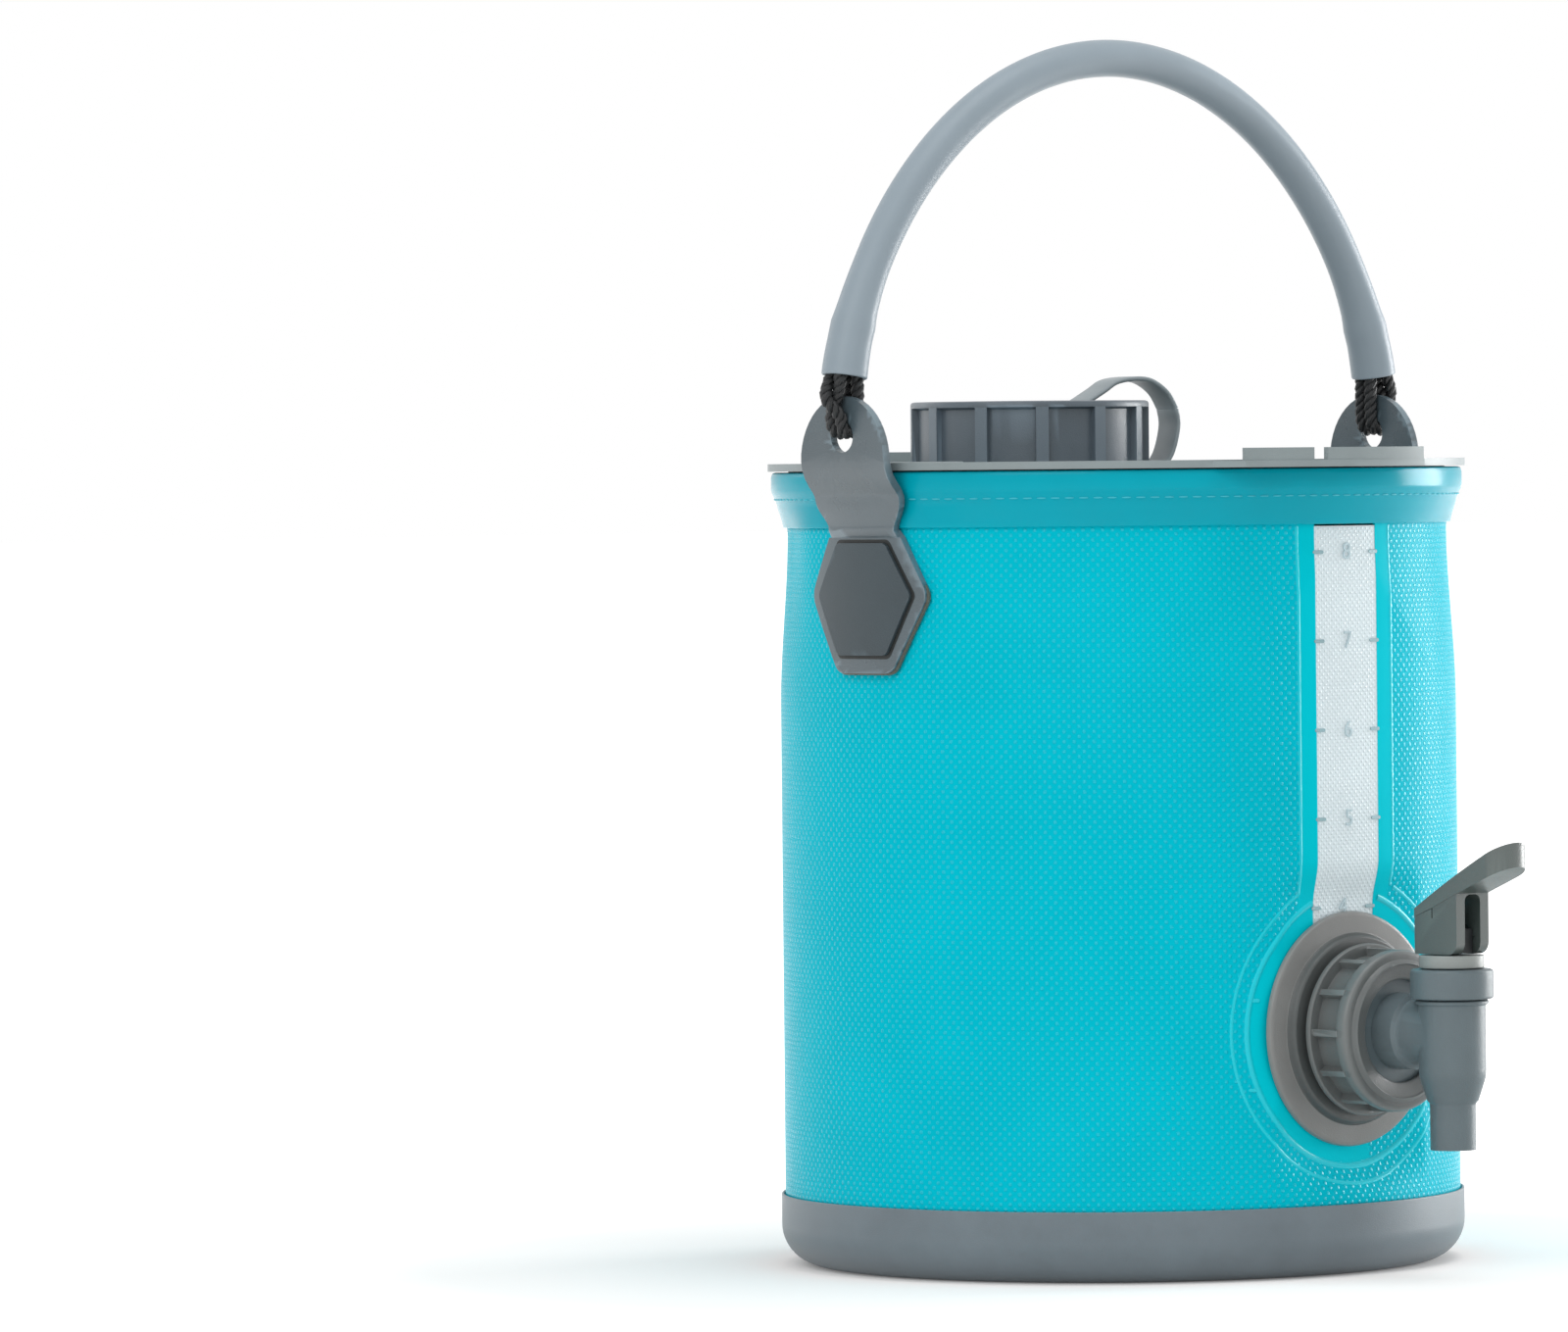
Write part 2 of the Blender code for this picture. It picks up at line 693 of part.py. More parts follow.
def hem_band():
    taper_top = HOOP_BOTTOM - FIT
    taper_bottom = taper_top - HEM_TAPER
    cavity_top = HOOP_TOP + FIT
    profile = [
        (HEM_BULGE_RADIUS - HEM_ROUND, RIM_HEIGHT),
        (HEM_BULGE_RADIUS, RIM_HEIGHT - HEM_ROUND),
        (HEM_BULGE_RADIUS, taper_top),
        (HEM_LEG_RADIUS, taper_bottom),
        (HEM_LEG_RADIUS, HEM_BOTTOM),
        (HEM_LEG_RADIUS - HEM_THICKNESS, HEM_BOTTOM),
        (HEM_LEG_RADIUS - HEM_THICKNESS, taper_bottom),
        (HEM_BULGE_RADIUS - HEM_THICKNESS, taper_top),
        (HEM_BULGE_RADIUS - HEM_THICKNESS, cavity_top),
        (HEM_BACK_RADIUS, cavity_top),
        (HEM_BACK_RADIUS, RIM_HEIGHT - HEM_INNER_DEPTH),
        (HEM_INNER_RADIUS, RIM_HEIGHT - HEM_INNER_DEPTH),
        (HEM_INNER_RADIUS, RIM_HEIGHT - HEM_ROUND),
        (HEM_INNER_RADIUS + HEM_ROUND, RIM_HEIGHT),
    ]
    return smooth(turned("hem_band", profile, TEAL_BAND, RING_STEPS, closed=True))


def rim_hoop():
    outer = HEM_BULGE_RADIUS - HEM_THICKNESS - FIT
    inner = HEM_BACK_RADIUS + FIT
    profile = [(outer, HOOP_TOP), (outer, HOOP_BOTTOM), (inner, HOOP_BOTTOM), (inner, HOOP_TOP)]
    return smooth(turned("rim_hoop", profile, GREY_PLASTIC, RING_STEPS, closed=True))


# Lugs

def lug_radius(height):
    """Distance of a lug's inner face from the centre: on the wall, over the hem, then out to the tab."""
    hem_radius = HEM_LEG_RADIUS + FIT
    step_bottom = HEM_BOTTOM - LUG_HEM_STEP
    step_top = HEM_BOTTOM - FIT
    if height <= step_top:
        return between(LUG_INNER_RADIUS, hem_radius, (height - step_bottom) / (step_top - step_bottom))
    upright = RIM_HEIGHT + LUG_TAB_UPRIGHT_RISE
    tab = LUG_TAB_RADIUS - LUG_THICKNESS / 2
    return hem_radius + (tab - hem_radius) * smoothstep((height - step_top) / (upright - step_top))


def lug_rows():
    """Heights and half widths of a lug's outline, bottom to top."""
    low = RIM_HEIGHT - LUG_BOTTOM_DROP
    widest = RIM_HEIGHT - LUG_WIDEST_DROP
    waist = RIM_HEIGHT - LUG_WAIST_DROP
    shoulder = RIM_HEIGHT - LUG_SHOULDER_DROP
    curve = RIM_HEIGHT + LUG_TAB_CURVE_RISE
    top = RIM_HEIGHT + LUG_TAB_RISE
    rows = [
        (z, between(LUG_BOTTOM_WIDTH, LUG_WIDEST_WIDTH, (z - low) / (widest - low)) / 2)
        for z in spaced(low, widest, 3)
    ]
    rows += [
        (z, between(LUG_WIDEST_WIDTH, LUG_WAIST_WIDTH, (z - widest) / (waist - widest)) / 2)
        for z in spaced(widest, waist, 4)[1:]
    ]
    rows += [
        (z, between(LUG_WAIST_WIDTH, LUG_TAB_WIDTH, smoothstep((z - waist) / (shoulder - waist))) / 2)
        for z in spaced(waist, shoulder, 4)[1:]
    ]
    rows += [(z, LUG_TAB_WIDTH / 2) for z in spaced(shoulder, curve, 3)[1:]]
    rows += [
        (curve + (top - curve) * share, LUG_TAB_WIDTH / 2 * math.sqrt(1 - share * share))
        for share in TAB_TOP_SHARES
    ]
    return rows


def between(first, last, share):
    return first + (last - first) * min(max(share, 0), 1)


def wrapped_plate(name, rows, radius_at, curl_at, columns):
    """An upright sheet across +X: each row is bent round the wall, or flat where it stands clear of it."""
    bm = bmesh.new()
    bmesh.ops.create_grid(bm, x_segments=columns, y_segments=len(rows) - 1, size=1)
    for vert in bm.verts:
        row = round((vert.co.y + 1) / 2 * (len(rows) - 1))
        height, half = rows[row]
        radius = radius_at(height)
        across = vert.co.x * half
        curl = curl_at(height)
        bent = Vector((radius * math.cos(across / radius), radius * math.sin(across / radius), height))
        vert.co = bent * curl + Vector((radius, across, height)) * (1 - curl)
    bmesh.ops.recalc_face_normals(bm, faces=bm.faces)
    if bm.faces[0].normal.x > 0:
        bmesh.ops.reverse_faces(bm, faces=bm.faces)
    mesh = bpy.data.meshes.new(name)
    bm.to_mesh(mesh)
    bm.free()
    return mesh


def lug(name, side):
    step_top = HEM_BOTTOM - FIT

    def curl_at(height):
        return 1 - smoothstep((height - step_top) / (RIM_HEIGHT - step_top))

    mesh = wrapped_plate(name, lug_rows(), lug_radius, curl_at, LUG_COLUMNS)
    part = add_part(mesh, name, DARK_PLASTIC, rotation=(0, 0, side))
    thicken(part, LUG_THICKNESS)
    hole = rod_tool(
        name + " hole",
        LUG_HOLE_RADIUS,
        LUG_TAB_RADIUS - LUG_THICKNESS - OVERRUN,
        LUG_TAB_RADIUS + LUG_THICKNESS + OVERRUN,
        SMALL_STEPS,
        rotation=(0, math.pi / 2, side),
        location=(0, 0, LUG_HOLE_HEIGHT),
    )
    cut(part, hole)
    return smooth(part)


def lug_pad(name, side):
    low = RIM_HEIGHT - LUG_BOTTOM_DROP + PAD_BORDER
    widest = RIM_HEIGHT - LUG_WIDEST_DROP
    high = HEM_BOTTOM - LUG_HEM_STEP - PAD_BORDER / 2
    end_width = LUG_BOTTOM_WIDTH - PAD_BORDER / 2
    wide = LUG_WIDEST_WIDTH - 2 * PAD_BORDER
    rows = [(z, between(end_width, wide, (z - low) / (widest - low)) / 2) for z in spaced(low, widest, 2)]
    rows += [
        (z, between(wide, end_width, (z - widest) / (high - widest)) / 2)
        for z in spaced(widest, high, 2)[1:]
    ]
    mesh = wrapped_plate(name, rows, lambda height: PAD_INNER_RADIUS, lambda height: 1, LUG_COLUMNS)
    part = add_part(mesh, name, PAD_RUBBER, rotation=(0, 0, side))
    thicken(part, PAD_THICKNESS)
    return smooth(part)


# Rope handle

def arch_point(share, offset=0.0):
    """A point on the grip's centre line, from 0 at its left end to 1 at its right, moved out by offset."""
    low = math.asin((GRIP_END_HEIGHT - ARCH_SPRING_HEIGHT) / ARCH_HEIGHT)
    angle = low + (math.pi - 2 * low) * share

    def place(turn_angle):
        x = -ARCH_SPAN / 2 * math.cos(turn_angle)
        z = ARCH_HEIGHT * math.sin(turn_angle)
        rise = (z / ARCH_HEIGHT) ** ARCH_SHOULDER_SHARE
        width = ARCH_SPAN / 2 * math.sqrt(max(1 - rise, 0))
        return Vector((math.copysign(width, x), 0, ARCH_SPRING_HEIGHT + z))

    here = place(angle)
    small = (math.pi - 2 * low) / (GRIP_POINTS * GRIP_POINTS)
    along = place(min(angle + small, math.pi - low)) - place(max(angle - small, low))
    outward = Vector((-along.z, 0, along.x)).normalized()
    return here + outward * offset


def arch_length(share):
    """Distance along the grip from its nearer end."""
    steps = GRIP_POINTS * 2
    share = min(share, 1 - share)
    points = [arch_point(share * i / steps) for i in range(steps + 1)]
    return sum((b - a).length for a, b in zip(points, points[1:]))


def grip_radius(share):
    swell = 1 - smoothstep(arch_length(share) / GRIP_END_LENGTH)
    return GRIP_RADIUS + (GRIP_END_RADIUS - GRIP_RADIUS) * swell


def tuck_share():
    """How far along the grip the rope's tucked end reaches, as a share of the grip."""
    steps = GRIP_POINTS * GRIP_POINTS
    return next(i / steps for i in range(steps) if arch_length(i / steps) >= ROPE_TUCK)


def grip_shares():
    """Where the grip's and the rope's points lie: close together where two ropes lie side by side."""
    ends = [tuck_share() * share for share in TUCK_POINT_SHARES]
    middle = spaced(ends[-1], 1 - ends[-1], GRIP_POINTS)[1:-1]
    return ends + middle + [1 - share for share in reversed(ends)]


def pair_offset(share):
    """The rope's distance off the grip's centre line: clear of the lug, then beside its end, then none."""
    length = arch_length(share)
    spread = ROPE_MOUTH_SPREAD * (1 - smoothstep(length / ROPE_MOUTH_LENGTH))
    fade = smoothstep((length - ROPE_TUCK) / (ROPE_TUCK / 2))
    return (ROPE_RADIUS + ROPE_PAIR_GAP / 2) * (1 - fade) + spread


def bore_radius(share):
    return pair_offset(share) + ROPE_RADIUS + 2 * FIT


def handle_grip():
    shares = grip_shares()
    points = [arch_point(share) for share in shares]
    mesh = tube_mesh("handle_grip", points, [grip_radius(share) for share in shares], 3)
    part = add_part(mesh, "handle_grip", GRIP_TUBE)
    run = (points[0] - points[1]).normalized() * OVERRUN
    inner = [points[0] + run] + points[1:-1] + [points[-1] + Vector((-run.x, 0, run.z))]
    radii = [bore_radius(share) for share in shares]
    cut(part, add_tool(tube_mesh("grip bore", inner, radii, 2), "grip bore"))
    return smooth(part)


def rope_route():
    """The rope from its tucked end down outside the left lug, through its hole and over to the right."""
    loop = LUG_THICKNESS / 2 + FIT + ROPE_RADIUS
    hole_top = LUG_HOLE_HEIGHT + LUG_HOLE_RADIUS
    tucked = [tuck_share() * share for share in TUCK_POINT_SHARES if share <= 1]
    left = [arch_point(share, pair_offset(share)) for share in reversed(tucked)]
    left += [Vector((-LUG_TAB_RADIUS - loop, 0, z)) for z in spaced(hole_top + 2 * loop, hole_top, 2)]
    for angle in spaced(0, 180, 6)[1:-1]:
        across = loop * math.cos(math.radians(angle))
        drop = loop * math.sin(math.radians(angle))
        left.append(Vector((-LUG_TAB_RADIUS - across, 0, hole_top - drop)))
    left += [Vector((-LUG_TAB_RADIUS + loop, 0, z)) for z in spaced(hole_top, hole_top + 2 * loop, 2)]
    middle = [arch_point(share, -pair_offset(share)) for share in grip_shares()]
    right = [Vector((-point.x, 0, point.z)) for point in reversed(left)]
    return left + middle + right


def handle_rope():
    route = rope_route()
    mesh = tube_mesh("handle_rope", route, [ROPE_RADIUS] * len(route), 2)
    return smooth(add_part(mesh, "handle_rope", BLACK_ROPE))


# Lid

def lid_frame(x, y):
    """A place on the lid, given in the lid's own directions."""
    turn_angle = math.radians(LID_TURN_DEGREES)
    return (
        x * math.cos(turn_angle) - y * math.sin(turn_angle),
        x * math.sin(turn_angle) + y * math.cos(turn_angle),
    )


def lid_disc_profile():
    inner_skirt = SKIRT_RADIUS - SKIRT_THICKNESS
    step_radius = LID_PANEL_RADIUS + LID_STEP_WIDTH
    groove_bottom = SEAL_GROOVE_TOP - SEAL_HEIGHT - 2 * FIT
    skirt_bottom = LID_BOTTOM - SKIRT_DEPTH
    return [
        (0, PANEL_TOP),
        (LID_PANEL_RADIUS, PANEL_TOP),
        (step_radius, LID_TOP),
        (LID_RADIUS - LID_EDGE_CHAMFER, LID_TOP),
        (LID_RADIUS, LID_TOP - LID_EDGE_CHAMFER),
        (LID_RADIUS, LID_BOTTOM),
        (SKIRT_RADIUS, LID_BOTTOM),
        (SKIRT_RADIUS, SEAL_GROOVE_TOP),
        (SEAL_GROOVE_RADIUS, SEAL_GROOVE_TOP),
        (SEAL_GROOVE_RADIUS, groove_bottom),
        (SKIRT_RADIUS, groove_bottom),
        (SKIRT_RADIUS, skirt_bottom),
        (inner_skirt, skirt_bottom),
        (inner_skirt, LID_BOTTOM),
        (step_radius + LID_THICKNESS, LID_BOTTOM),
        (LID_PANEL_RADIUS + LID_THICKNESS, PANEL_BOTTOM),
        (0, PANEL_BOTTOM),
    ]


def ear_outline():
    """One ear in plan, reaching out towards +Y from inside the flange."""
    root = LID_RADIUS - SKIRT_GAP * 3
    spread = math.degrees(math.asin(EAR_WIDTH / 2 / EAR_RADIUS))
    root_spread = math.degrees(math.asin(EAR_ROOT_WIDTH / 2 / root))
    outer = arc((0, 0), EAR_RADIUS, 90 + spread, 90 - spread, 6)
    inner = arc((0, 0), root, 90 - root_spread, 90 + root_spread, 4)
    return outer + inner


def ear_lip_outline(start, end):
    """A stretch of the ear's raised lip, between two distances across the ear."""
    inner = EAR_RADIUS - EAR_LIP_THICKNESS
    low = 90 - math.degrees(math.asin(start / EAR_RADIUS))
    high = 90 - math.degrees(math.asin(end / EAR_RADIUS))
    return arc((0, 0), EAR_RADIUS - FIT, low, high, 3) + arc((0, 0), inner, high, low, 3)


def obround(centre, length, width, steps=6):
    half = (length - width) / 2
    return (
        arc((centre[0] + half, centre[1]), width / 2, -90, 90, steps)
        + arc((centre[0] - half, centre[1]), width / 2, 90, 270, steps)
    )


def shield_outline():
    """The raised shield: a straight top edge, flared sides and a round foot."""
    side = SHIELD_SIDE_WIDTH / 2
    top = SHIELD_TOP_WIDTH / 2
    start = math.degrees(math.atan2(-SHIELD_SIDE_OFFSET, side))
    inset = SHIELD_FOOT_INSET_DEGREES
    foot = arc((0, 0), SHIELD_ARC_RADIUS, start - inset, inset - 180 - start, 10)
    corners = [(-side, -SHIELD_SIDE_OFFSET), (-top, -SHIELD_TOP_OFFSET), (top, -SHIELD_TOP_OFFSET)]
    corners.append((side, -SHIELD_SIDE_OFFSET))
    soft = rounded(corners + [(0, -SHIELD_ARC_RADIUS)], [SHIELD_CORNER_RADIUS] * 5)
    keep = len(soft) // 5
    return soft[: keep * 4] + foot


def lid_additions():
    """Ears, shield, tubs, filler neck and blank disc, which are moulded in one with the lid."""
    inside = PANEL_BOTTOM + LID_THICKNESS / 2
    pocket_floor = SHIELD_TOP - POCKET_DEPTH
    well_floor = SHIELD_TOP - WELL_DEPTH
    notch = EAR_WIDTH * (EAR_NOTCH_SHARE - 0.5)
    stretches = ((-EAR_WIDTH / 2, notch - EAR_NOTCH_WIDTH / 2), (notch + EAR_NOTCH_WIDTH / 2, EAR_WIDTH / 2))
    tools = []
    for place in EAR_PLACES:
        tools.append(add_tool(outline_mesh("ear", ear_outline(), LID_BOTTOM, LID_TOP - FIT), "ear", **place))
        for start, end in stretches:
            outline = ear_lip_outline(start, end)
            lip = outline_mesh("ear lip", outline, LID_BOTTOM + FIT, LID_TOP + EAR_LIP_RISE)
            tools.append(add_tool(lip, "ear lip", **place))
    shield = outline_mesh("shield", shield_outline(), inside, SHIELD_TOP)
    tools.append(add_tool(shield, "shield", **LID_PLACE))
    tub = obround((0, -POCKET_OFFSET), POCKET_LENGTH + 2 * TUB_WALL, POCKET_WIDTH + 2 * TUB_WALL)
    tub_mesh = outline_mesh("pocket tub", tub, pocket_floor - TUB_WALL, inside + FIT)
    tools.append(add_tool(tub_mesh, "pocket tub", **LID_PLACE))
    well_bottom = well_floor - TUB_WALL
    well_tub = rod_tool(
        "well tub", WELL_RADIUS + TUB_WALL, well_bottom, inside - FIT, FITTING_STEPS, **WELL_PLACE
    )
    tools.append(well_tub)
    tools.append(rod_tool("neck", NECK_RADIUS, inside, NECK_TOP, FITTING_STEPS, **CAP_PLACE))
    disc_top = PANEL_TOP + DISC_RISE
    tools.append(rod_tool("blank disc", DISC_RADIUS, inside, disc_top, SMALL_STEPS, **DISC_PLACE))
    return tools


def lid_cutters():
    """Ear slots, the pocket and the well of the stowed tap, the filler bore and the valve's hole."""
    well_floor = SHIELD_TOP - WELL_DEPTH
    boss_top = well_floor + STOW_BOSS_HEIGHT
    above = SHIELD_TOP + OVERRUN
    below = PANEL_BOTTOM - OVERRUN
    slot_middle = (LID_RADIUS + EAR_RADIUS - EAR_LIP_THICKNESS) / 2
    tools = []
    for place in EAR_PLACES:
        for across in (-EAR_SLOT_SPACING / 2, EAR_SLOT_SPACING / 2):
            slot = obround((across, slot_middle), EAR_SLOT_LENGTH, EAR_SLOT_WIDTH, 3)
            mesh = outline_mesh("ear slot", slot, LID_BOTTOM - OVERRUN, LID_TOP + OVERRUN)
            tools.append(add_tool(mesh, "ear slot", **place))
    pocket = outline_mesh(
        "pocket", obround((0, -POCKET_OFFSET), POCKET_LENGTH, POCKET_WIDTH), SHIELD_TOP - POCKET_DEPTH, above
    )
    tools.append(add_tool(pocket, "pocket", **LID_PLACE))
    well = [
        (0, above),
        (WELL_RADIUS, above),
        (WELL_RADIUS, well_floor),
        (PORT_NECK_RADIUS, well_floor),
        (PORT_NECK_RADIUS, boss_top),
        (PORT_BORE_RADIUS, boss_top),
        (PORT_BORE_RADIUS, well_floor),
        (0, well_floor),
    ]
    tools.append(turned_tool("well", well, FITTING_STEPS, **WELL_PLACE))
    tools.append(rod_tool("neck bore", NECK_BORE, below, NECK_TOP + OVERRUN, FITTING_STEPS, **CAP_PLACE))
    hole_radius = VENT_STEM_RADIUS + FIT
    tools.append(rod_tool("vent hole", hole_radius, below, above, SMALL_STEPS, **VENT_PLACE))
    return tools


def lid():
    part = turned("lid", lid_disc_profile(), GREY_PLASTIC, RING_STEPS, **LID_PLACE)
    join(part, *lid_additions())
    cut(part, *lid_cutters())
    return smooth(part)


def lid_seal():
    top = SEAL_GROOVE_TOP - FIT
    inner = SEAL_GROOVE_RADIUS + FIT
    profile = [(SEAL_RADIUS, top), (SEAL_RADIUS, top - SEAL_HEIGHT), (inner, top - SEAL_HEIGHT), (inner, top)]
    return smooth(turned("lid_seal", profile, SEAL_RUBBER, RING_STEPS, closed=True, **LID_PLACE))


def vent_valve():
    bottom = PANEL_TOP + FIT
    top = bottom + VENT_HEIGHT
    flange_top = PANEL_BOTTOM - FIT - VENT_TRAVEL
    profile = [
        (0, top),
        (VENT_RADIUS - VENT_EDGE, top),
        (VENT_RADIUS, top - VENT_EDGE),
        (VENT_RADIUS, bottom),
        (VENT_STEM_RADIUS, bottom),
        (VENT_STEM_RADIUS, flange_top),
        (VENT_FLANGE_RADIUS, flange_top),
        (VENT_FLANGE_RADIUS, flange_top - VENT_FLANGE_THICKNESS),
        (0, flange_top - VENT_FLANGE_THICKNESS),
    ]
    return smooth(turned("vent_valve", profile, GREY_PLASTIC, SMALL_STEPS, **VENT_PLACE))


# Screw cap

def screw_cap():
    inner = CAP_RADIUS - CAP_WALL
    rim = CAP_RADIUS - CAP_CHAMFER - CAP_RIM_WIDTH
    hole = PIN_RADIUS + FIT
    profile = [
        (hole, CAP_DISH_HEIGHT),
        (CAP_DISH_RADIUS, CAP_DISH_HEIGHT),
        (rim, CAP_TOP),
        (CAP_RADIUS - CAP_CHAMFER, CAP_TOP),
        (CAP_RADIUS, CAP_TOP - CAP_CHAMFER),
        (CAP_RADIUS, CAP_BOTTOM),
        (inner, CAP_BOTTOM),
        (inner, CAP_CEILING),
        (rim, CAP_CEILING),
        (rim, CAP_DISH_UNDERSIDE),
        (hole, CAP_DISH_UNDERSIDE),
    ]
    part = turned("screw_cap", profile, GREY_PLASTIC, CAP_STEPS, closed=True, **CAP_PLACE)
    low = (CAP_RADIUS - CAP_WALL / 2, -CAP_RIB_WIDTH / 2, CAP_BOTTOM + FIT)
    high = (CAP_RADIUS + CAP_RIB_RISE, CAP_RIB_WIDTH / 2, CAP_TOP - CAP_RIB_DROP)
    join(part, add_tool(ring_of_boxes("cap ribs", low, high, CAP_RIBS), "cap ribs", **CAP_PLACE))
    return smooth(part)


def ring_of_boxes(name, low, high, count):
    """Equal boxes spaced round the Z axis."""
    whole = bmesh.new()
    for i in range(count):
        mesh = box_mesh(name, low, high)
        mesh.transform(Matrix.Rotation(math.tau * i / count, 4, "Z"))
        whole.from_mesh(mesh)
        bpy.data.meshes.remove(mesh)
    mesh = bpy.data.meshes.new(name)
    whole.to_mesh(mesh)
    whole.free()
    return mesh


def cap_seal():
    low = NECK_TOP + FIT
    high = low + CAP_SEAL_HEIGHT
    outer = CAP_RADIUS - CAP_WALL - FIT
    inner = CAP_RADIUS - CAP_CHAMFER - CAP_RIM_WIDTH + FIT
    profile = [(outer, high), (outer, low), (inner, low), (inner, high)]
    return smooth(turned("cap_seal", profile, SEAL_RUBBER, FITTING_STEPS, closed=True, **CAP_PLACE))


def cap_pin():
    head_bottom = EYE_TOP + FIT
    foot_top = CAP_DISH_UNDERSIDE - FIT
    profile = [
        (0, head_bottom + PIN_HEAD_HEIGHT),
        (PIN_HEAD_RADIUS - PIN_HEAD_HEIGHT / 2, head_bottom + PIN_HEAD_HEIGHT),
        (PIN_HEAD_RADIUS, head_bottom + PIN_HEAD_HEIGHT / 2),
        (PIN_HEAD_RADIUS, head_bottom),
        (PIN_RADIUS, head_bottom),
        (PIN_RADIUS, foot_top),
        (PIN_FOOT_RADIUS, foot_top),
        (PIN_RADIUS, foot_top - PIN_FOOT_HEIGHT),
        (0, foot_top - PIN_FOOT_HEIGHT),
    ]
    return smooth(turned("cap_pin", profile, GREY_PLASTIC, SMALL_STEPS, **CAP_PLACE))


def tether_strip():
    """The strap's middle surface, from the ring over the cap and down to the eye."""
    base = PANEL_TOP + FIT + TETHER_RING_THICKNESS / 2
    eye = EYE_BOTTOM + TETHER_THICKNESS / 2
    path = [(NECK_RADIUS + FIT + TETHER_RING_WIDTH / 2, base)]
    path += [(share[0] * TETHER_REACH, base + share[1] * TETHER_RISE) for share in TETHER_PATH_SHARES]
    path += [(TETHER_EYE_RADIUS * share, eye + rise * TETHER_THICKNESS) for share, rise in TETHER_FOOT_SHARES]
    bm = bmesh.new()
    bmesh.ops.create_grid(bm, x_segments=len(path) - 1, y_segments=1, size=1)
    for vert in bm.verts:
        distance, height = path[round((vert.co.x + 1) / 2 * (len(path) - 1))]
        vert.co = (distance, vert.co.y * TETHER_WIDTH / 2, height)
    mesh = bpy.data.meshes.new("tether strap")
    bm.to_mesh(mesh)
    bm.free()
    return mesh


def cap_tether():
    ring_bottom = PANEL_TOP + FIT
    inner = NECK_RADIUS + FIT
    outer = inner + TETHER_RING_WIDTH
    profile = [(outer, TETHER_RING_TOP), (outer, ring_bottom), (inner, ring_bottom), (inner, TETHER_RING_TOP)]
    turn_angle = math.radians(TETHER_HEADING_DEGREES)
    place = dict(location=CAP_PLACE["location"], rotation=(0, 0, turn_angle))
    part = turned("cap_tether", profile, GREY_RUBBER, FITTING_STEPS, closed=True, **place)
    strap = add_tool(tether_strip(), "tether strap", **place)
    step = strap.modifiers.new("Thickness", "SOLIDIFY")
    step.thickness = TETHER_THICKNESS
    step.offset = 0
    step.use_even_offset = True
    join(part, strap)
    low = EYE_BOTTOM + FIT / 3
    high = EYE_TOP + FIT / 3
    join(part, rod_tool("tether eye", TETHER_EYE_RADIUS, low, high, SMALL_STEPS, **place))
    past = OVERRUN / 3
    cut(part, rod_tool("eye hole", PIN_RADIUS + FIT, low - past, high + past, SMALL_STEPS, **place))
    return smooth(part)


# Port through the wall

def port_fitting():
    profile = [
        (PORT_NECK_RADIUS, PORT_NECK_FRONT),
        (PORT_NECK_RADIUS, PORT_STEP_FRONT),
        (PORT_STEP_RADIUS, PORT_STEP_FRONT),
        (PORT_STEP_RADIUS, PORT_FLANGE_FRONT),
        (PORT_FLANGE_RADIUS, PORT_FLANGE_FRONT),
        (PORT_FLANGE_RADIUS, PORT_FLANGE_BACK),
        (PORT_SLEEVE_RADIUS, PORT_FLANGE_BACK),
        (PORT_SLEEVE_RADIUS, PORT_SLEEVE_BACK),
        (PORT_BORE_RADIUS, PORT_SLEEVE_BACK),
        (PORT_BORE_RADIUS, PORT_NECK_FRONT),
    ]
    return smooth(turned("port_fitting", profile, WARM_PLASTIC, FITTING_STEPS, closed=True, **PORT_PLACE))


def port_gasket():
    inner = PORT_SLEEVE_RADIUS + FIT
    back = GASKET_FRONT - GASKET_THICKNESS
    profile = [(GASKET_RADIUS, GASKET_FRONT), (GASKET_RADIUS, back), (inner, back), (inner, GASKET_FRONT)]
    return smooth(turned("port_gasket", profile, SEAL_RUBBER, FITTING_STEPS, closed=True, **PORT_PLACE))


def port_nut():
    back = PORT_NUT_FRONT - PORT_NUT_THICKNESS
    profile = [(0, PORT_NUT_FRONT), (PORT_NUT_RADIUS, PORT_NUT_FRONT), (PORT_NUT_RADIUS, back), (0, back)]
    part = turned("port_nut", profile, DARK_PLASTIC, PORT_NUT_SIDES, **PORT_PLACE)
    bore = rod_tool(
        "port nut bore",
        PORT_SLEEVE_RADIUS + FIT,
        back - OVERRUN,
        PORT_NUT_FRONT + OVERRUN,
        FITTING_STEPS,
        **PORT_PLACE,
    )
    cut(part, bore)
    return smooth(part)


# Tap nut

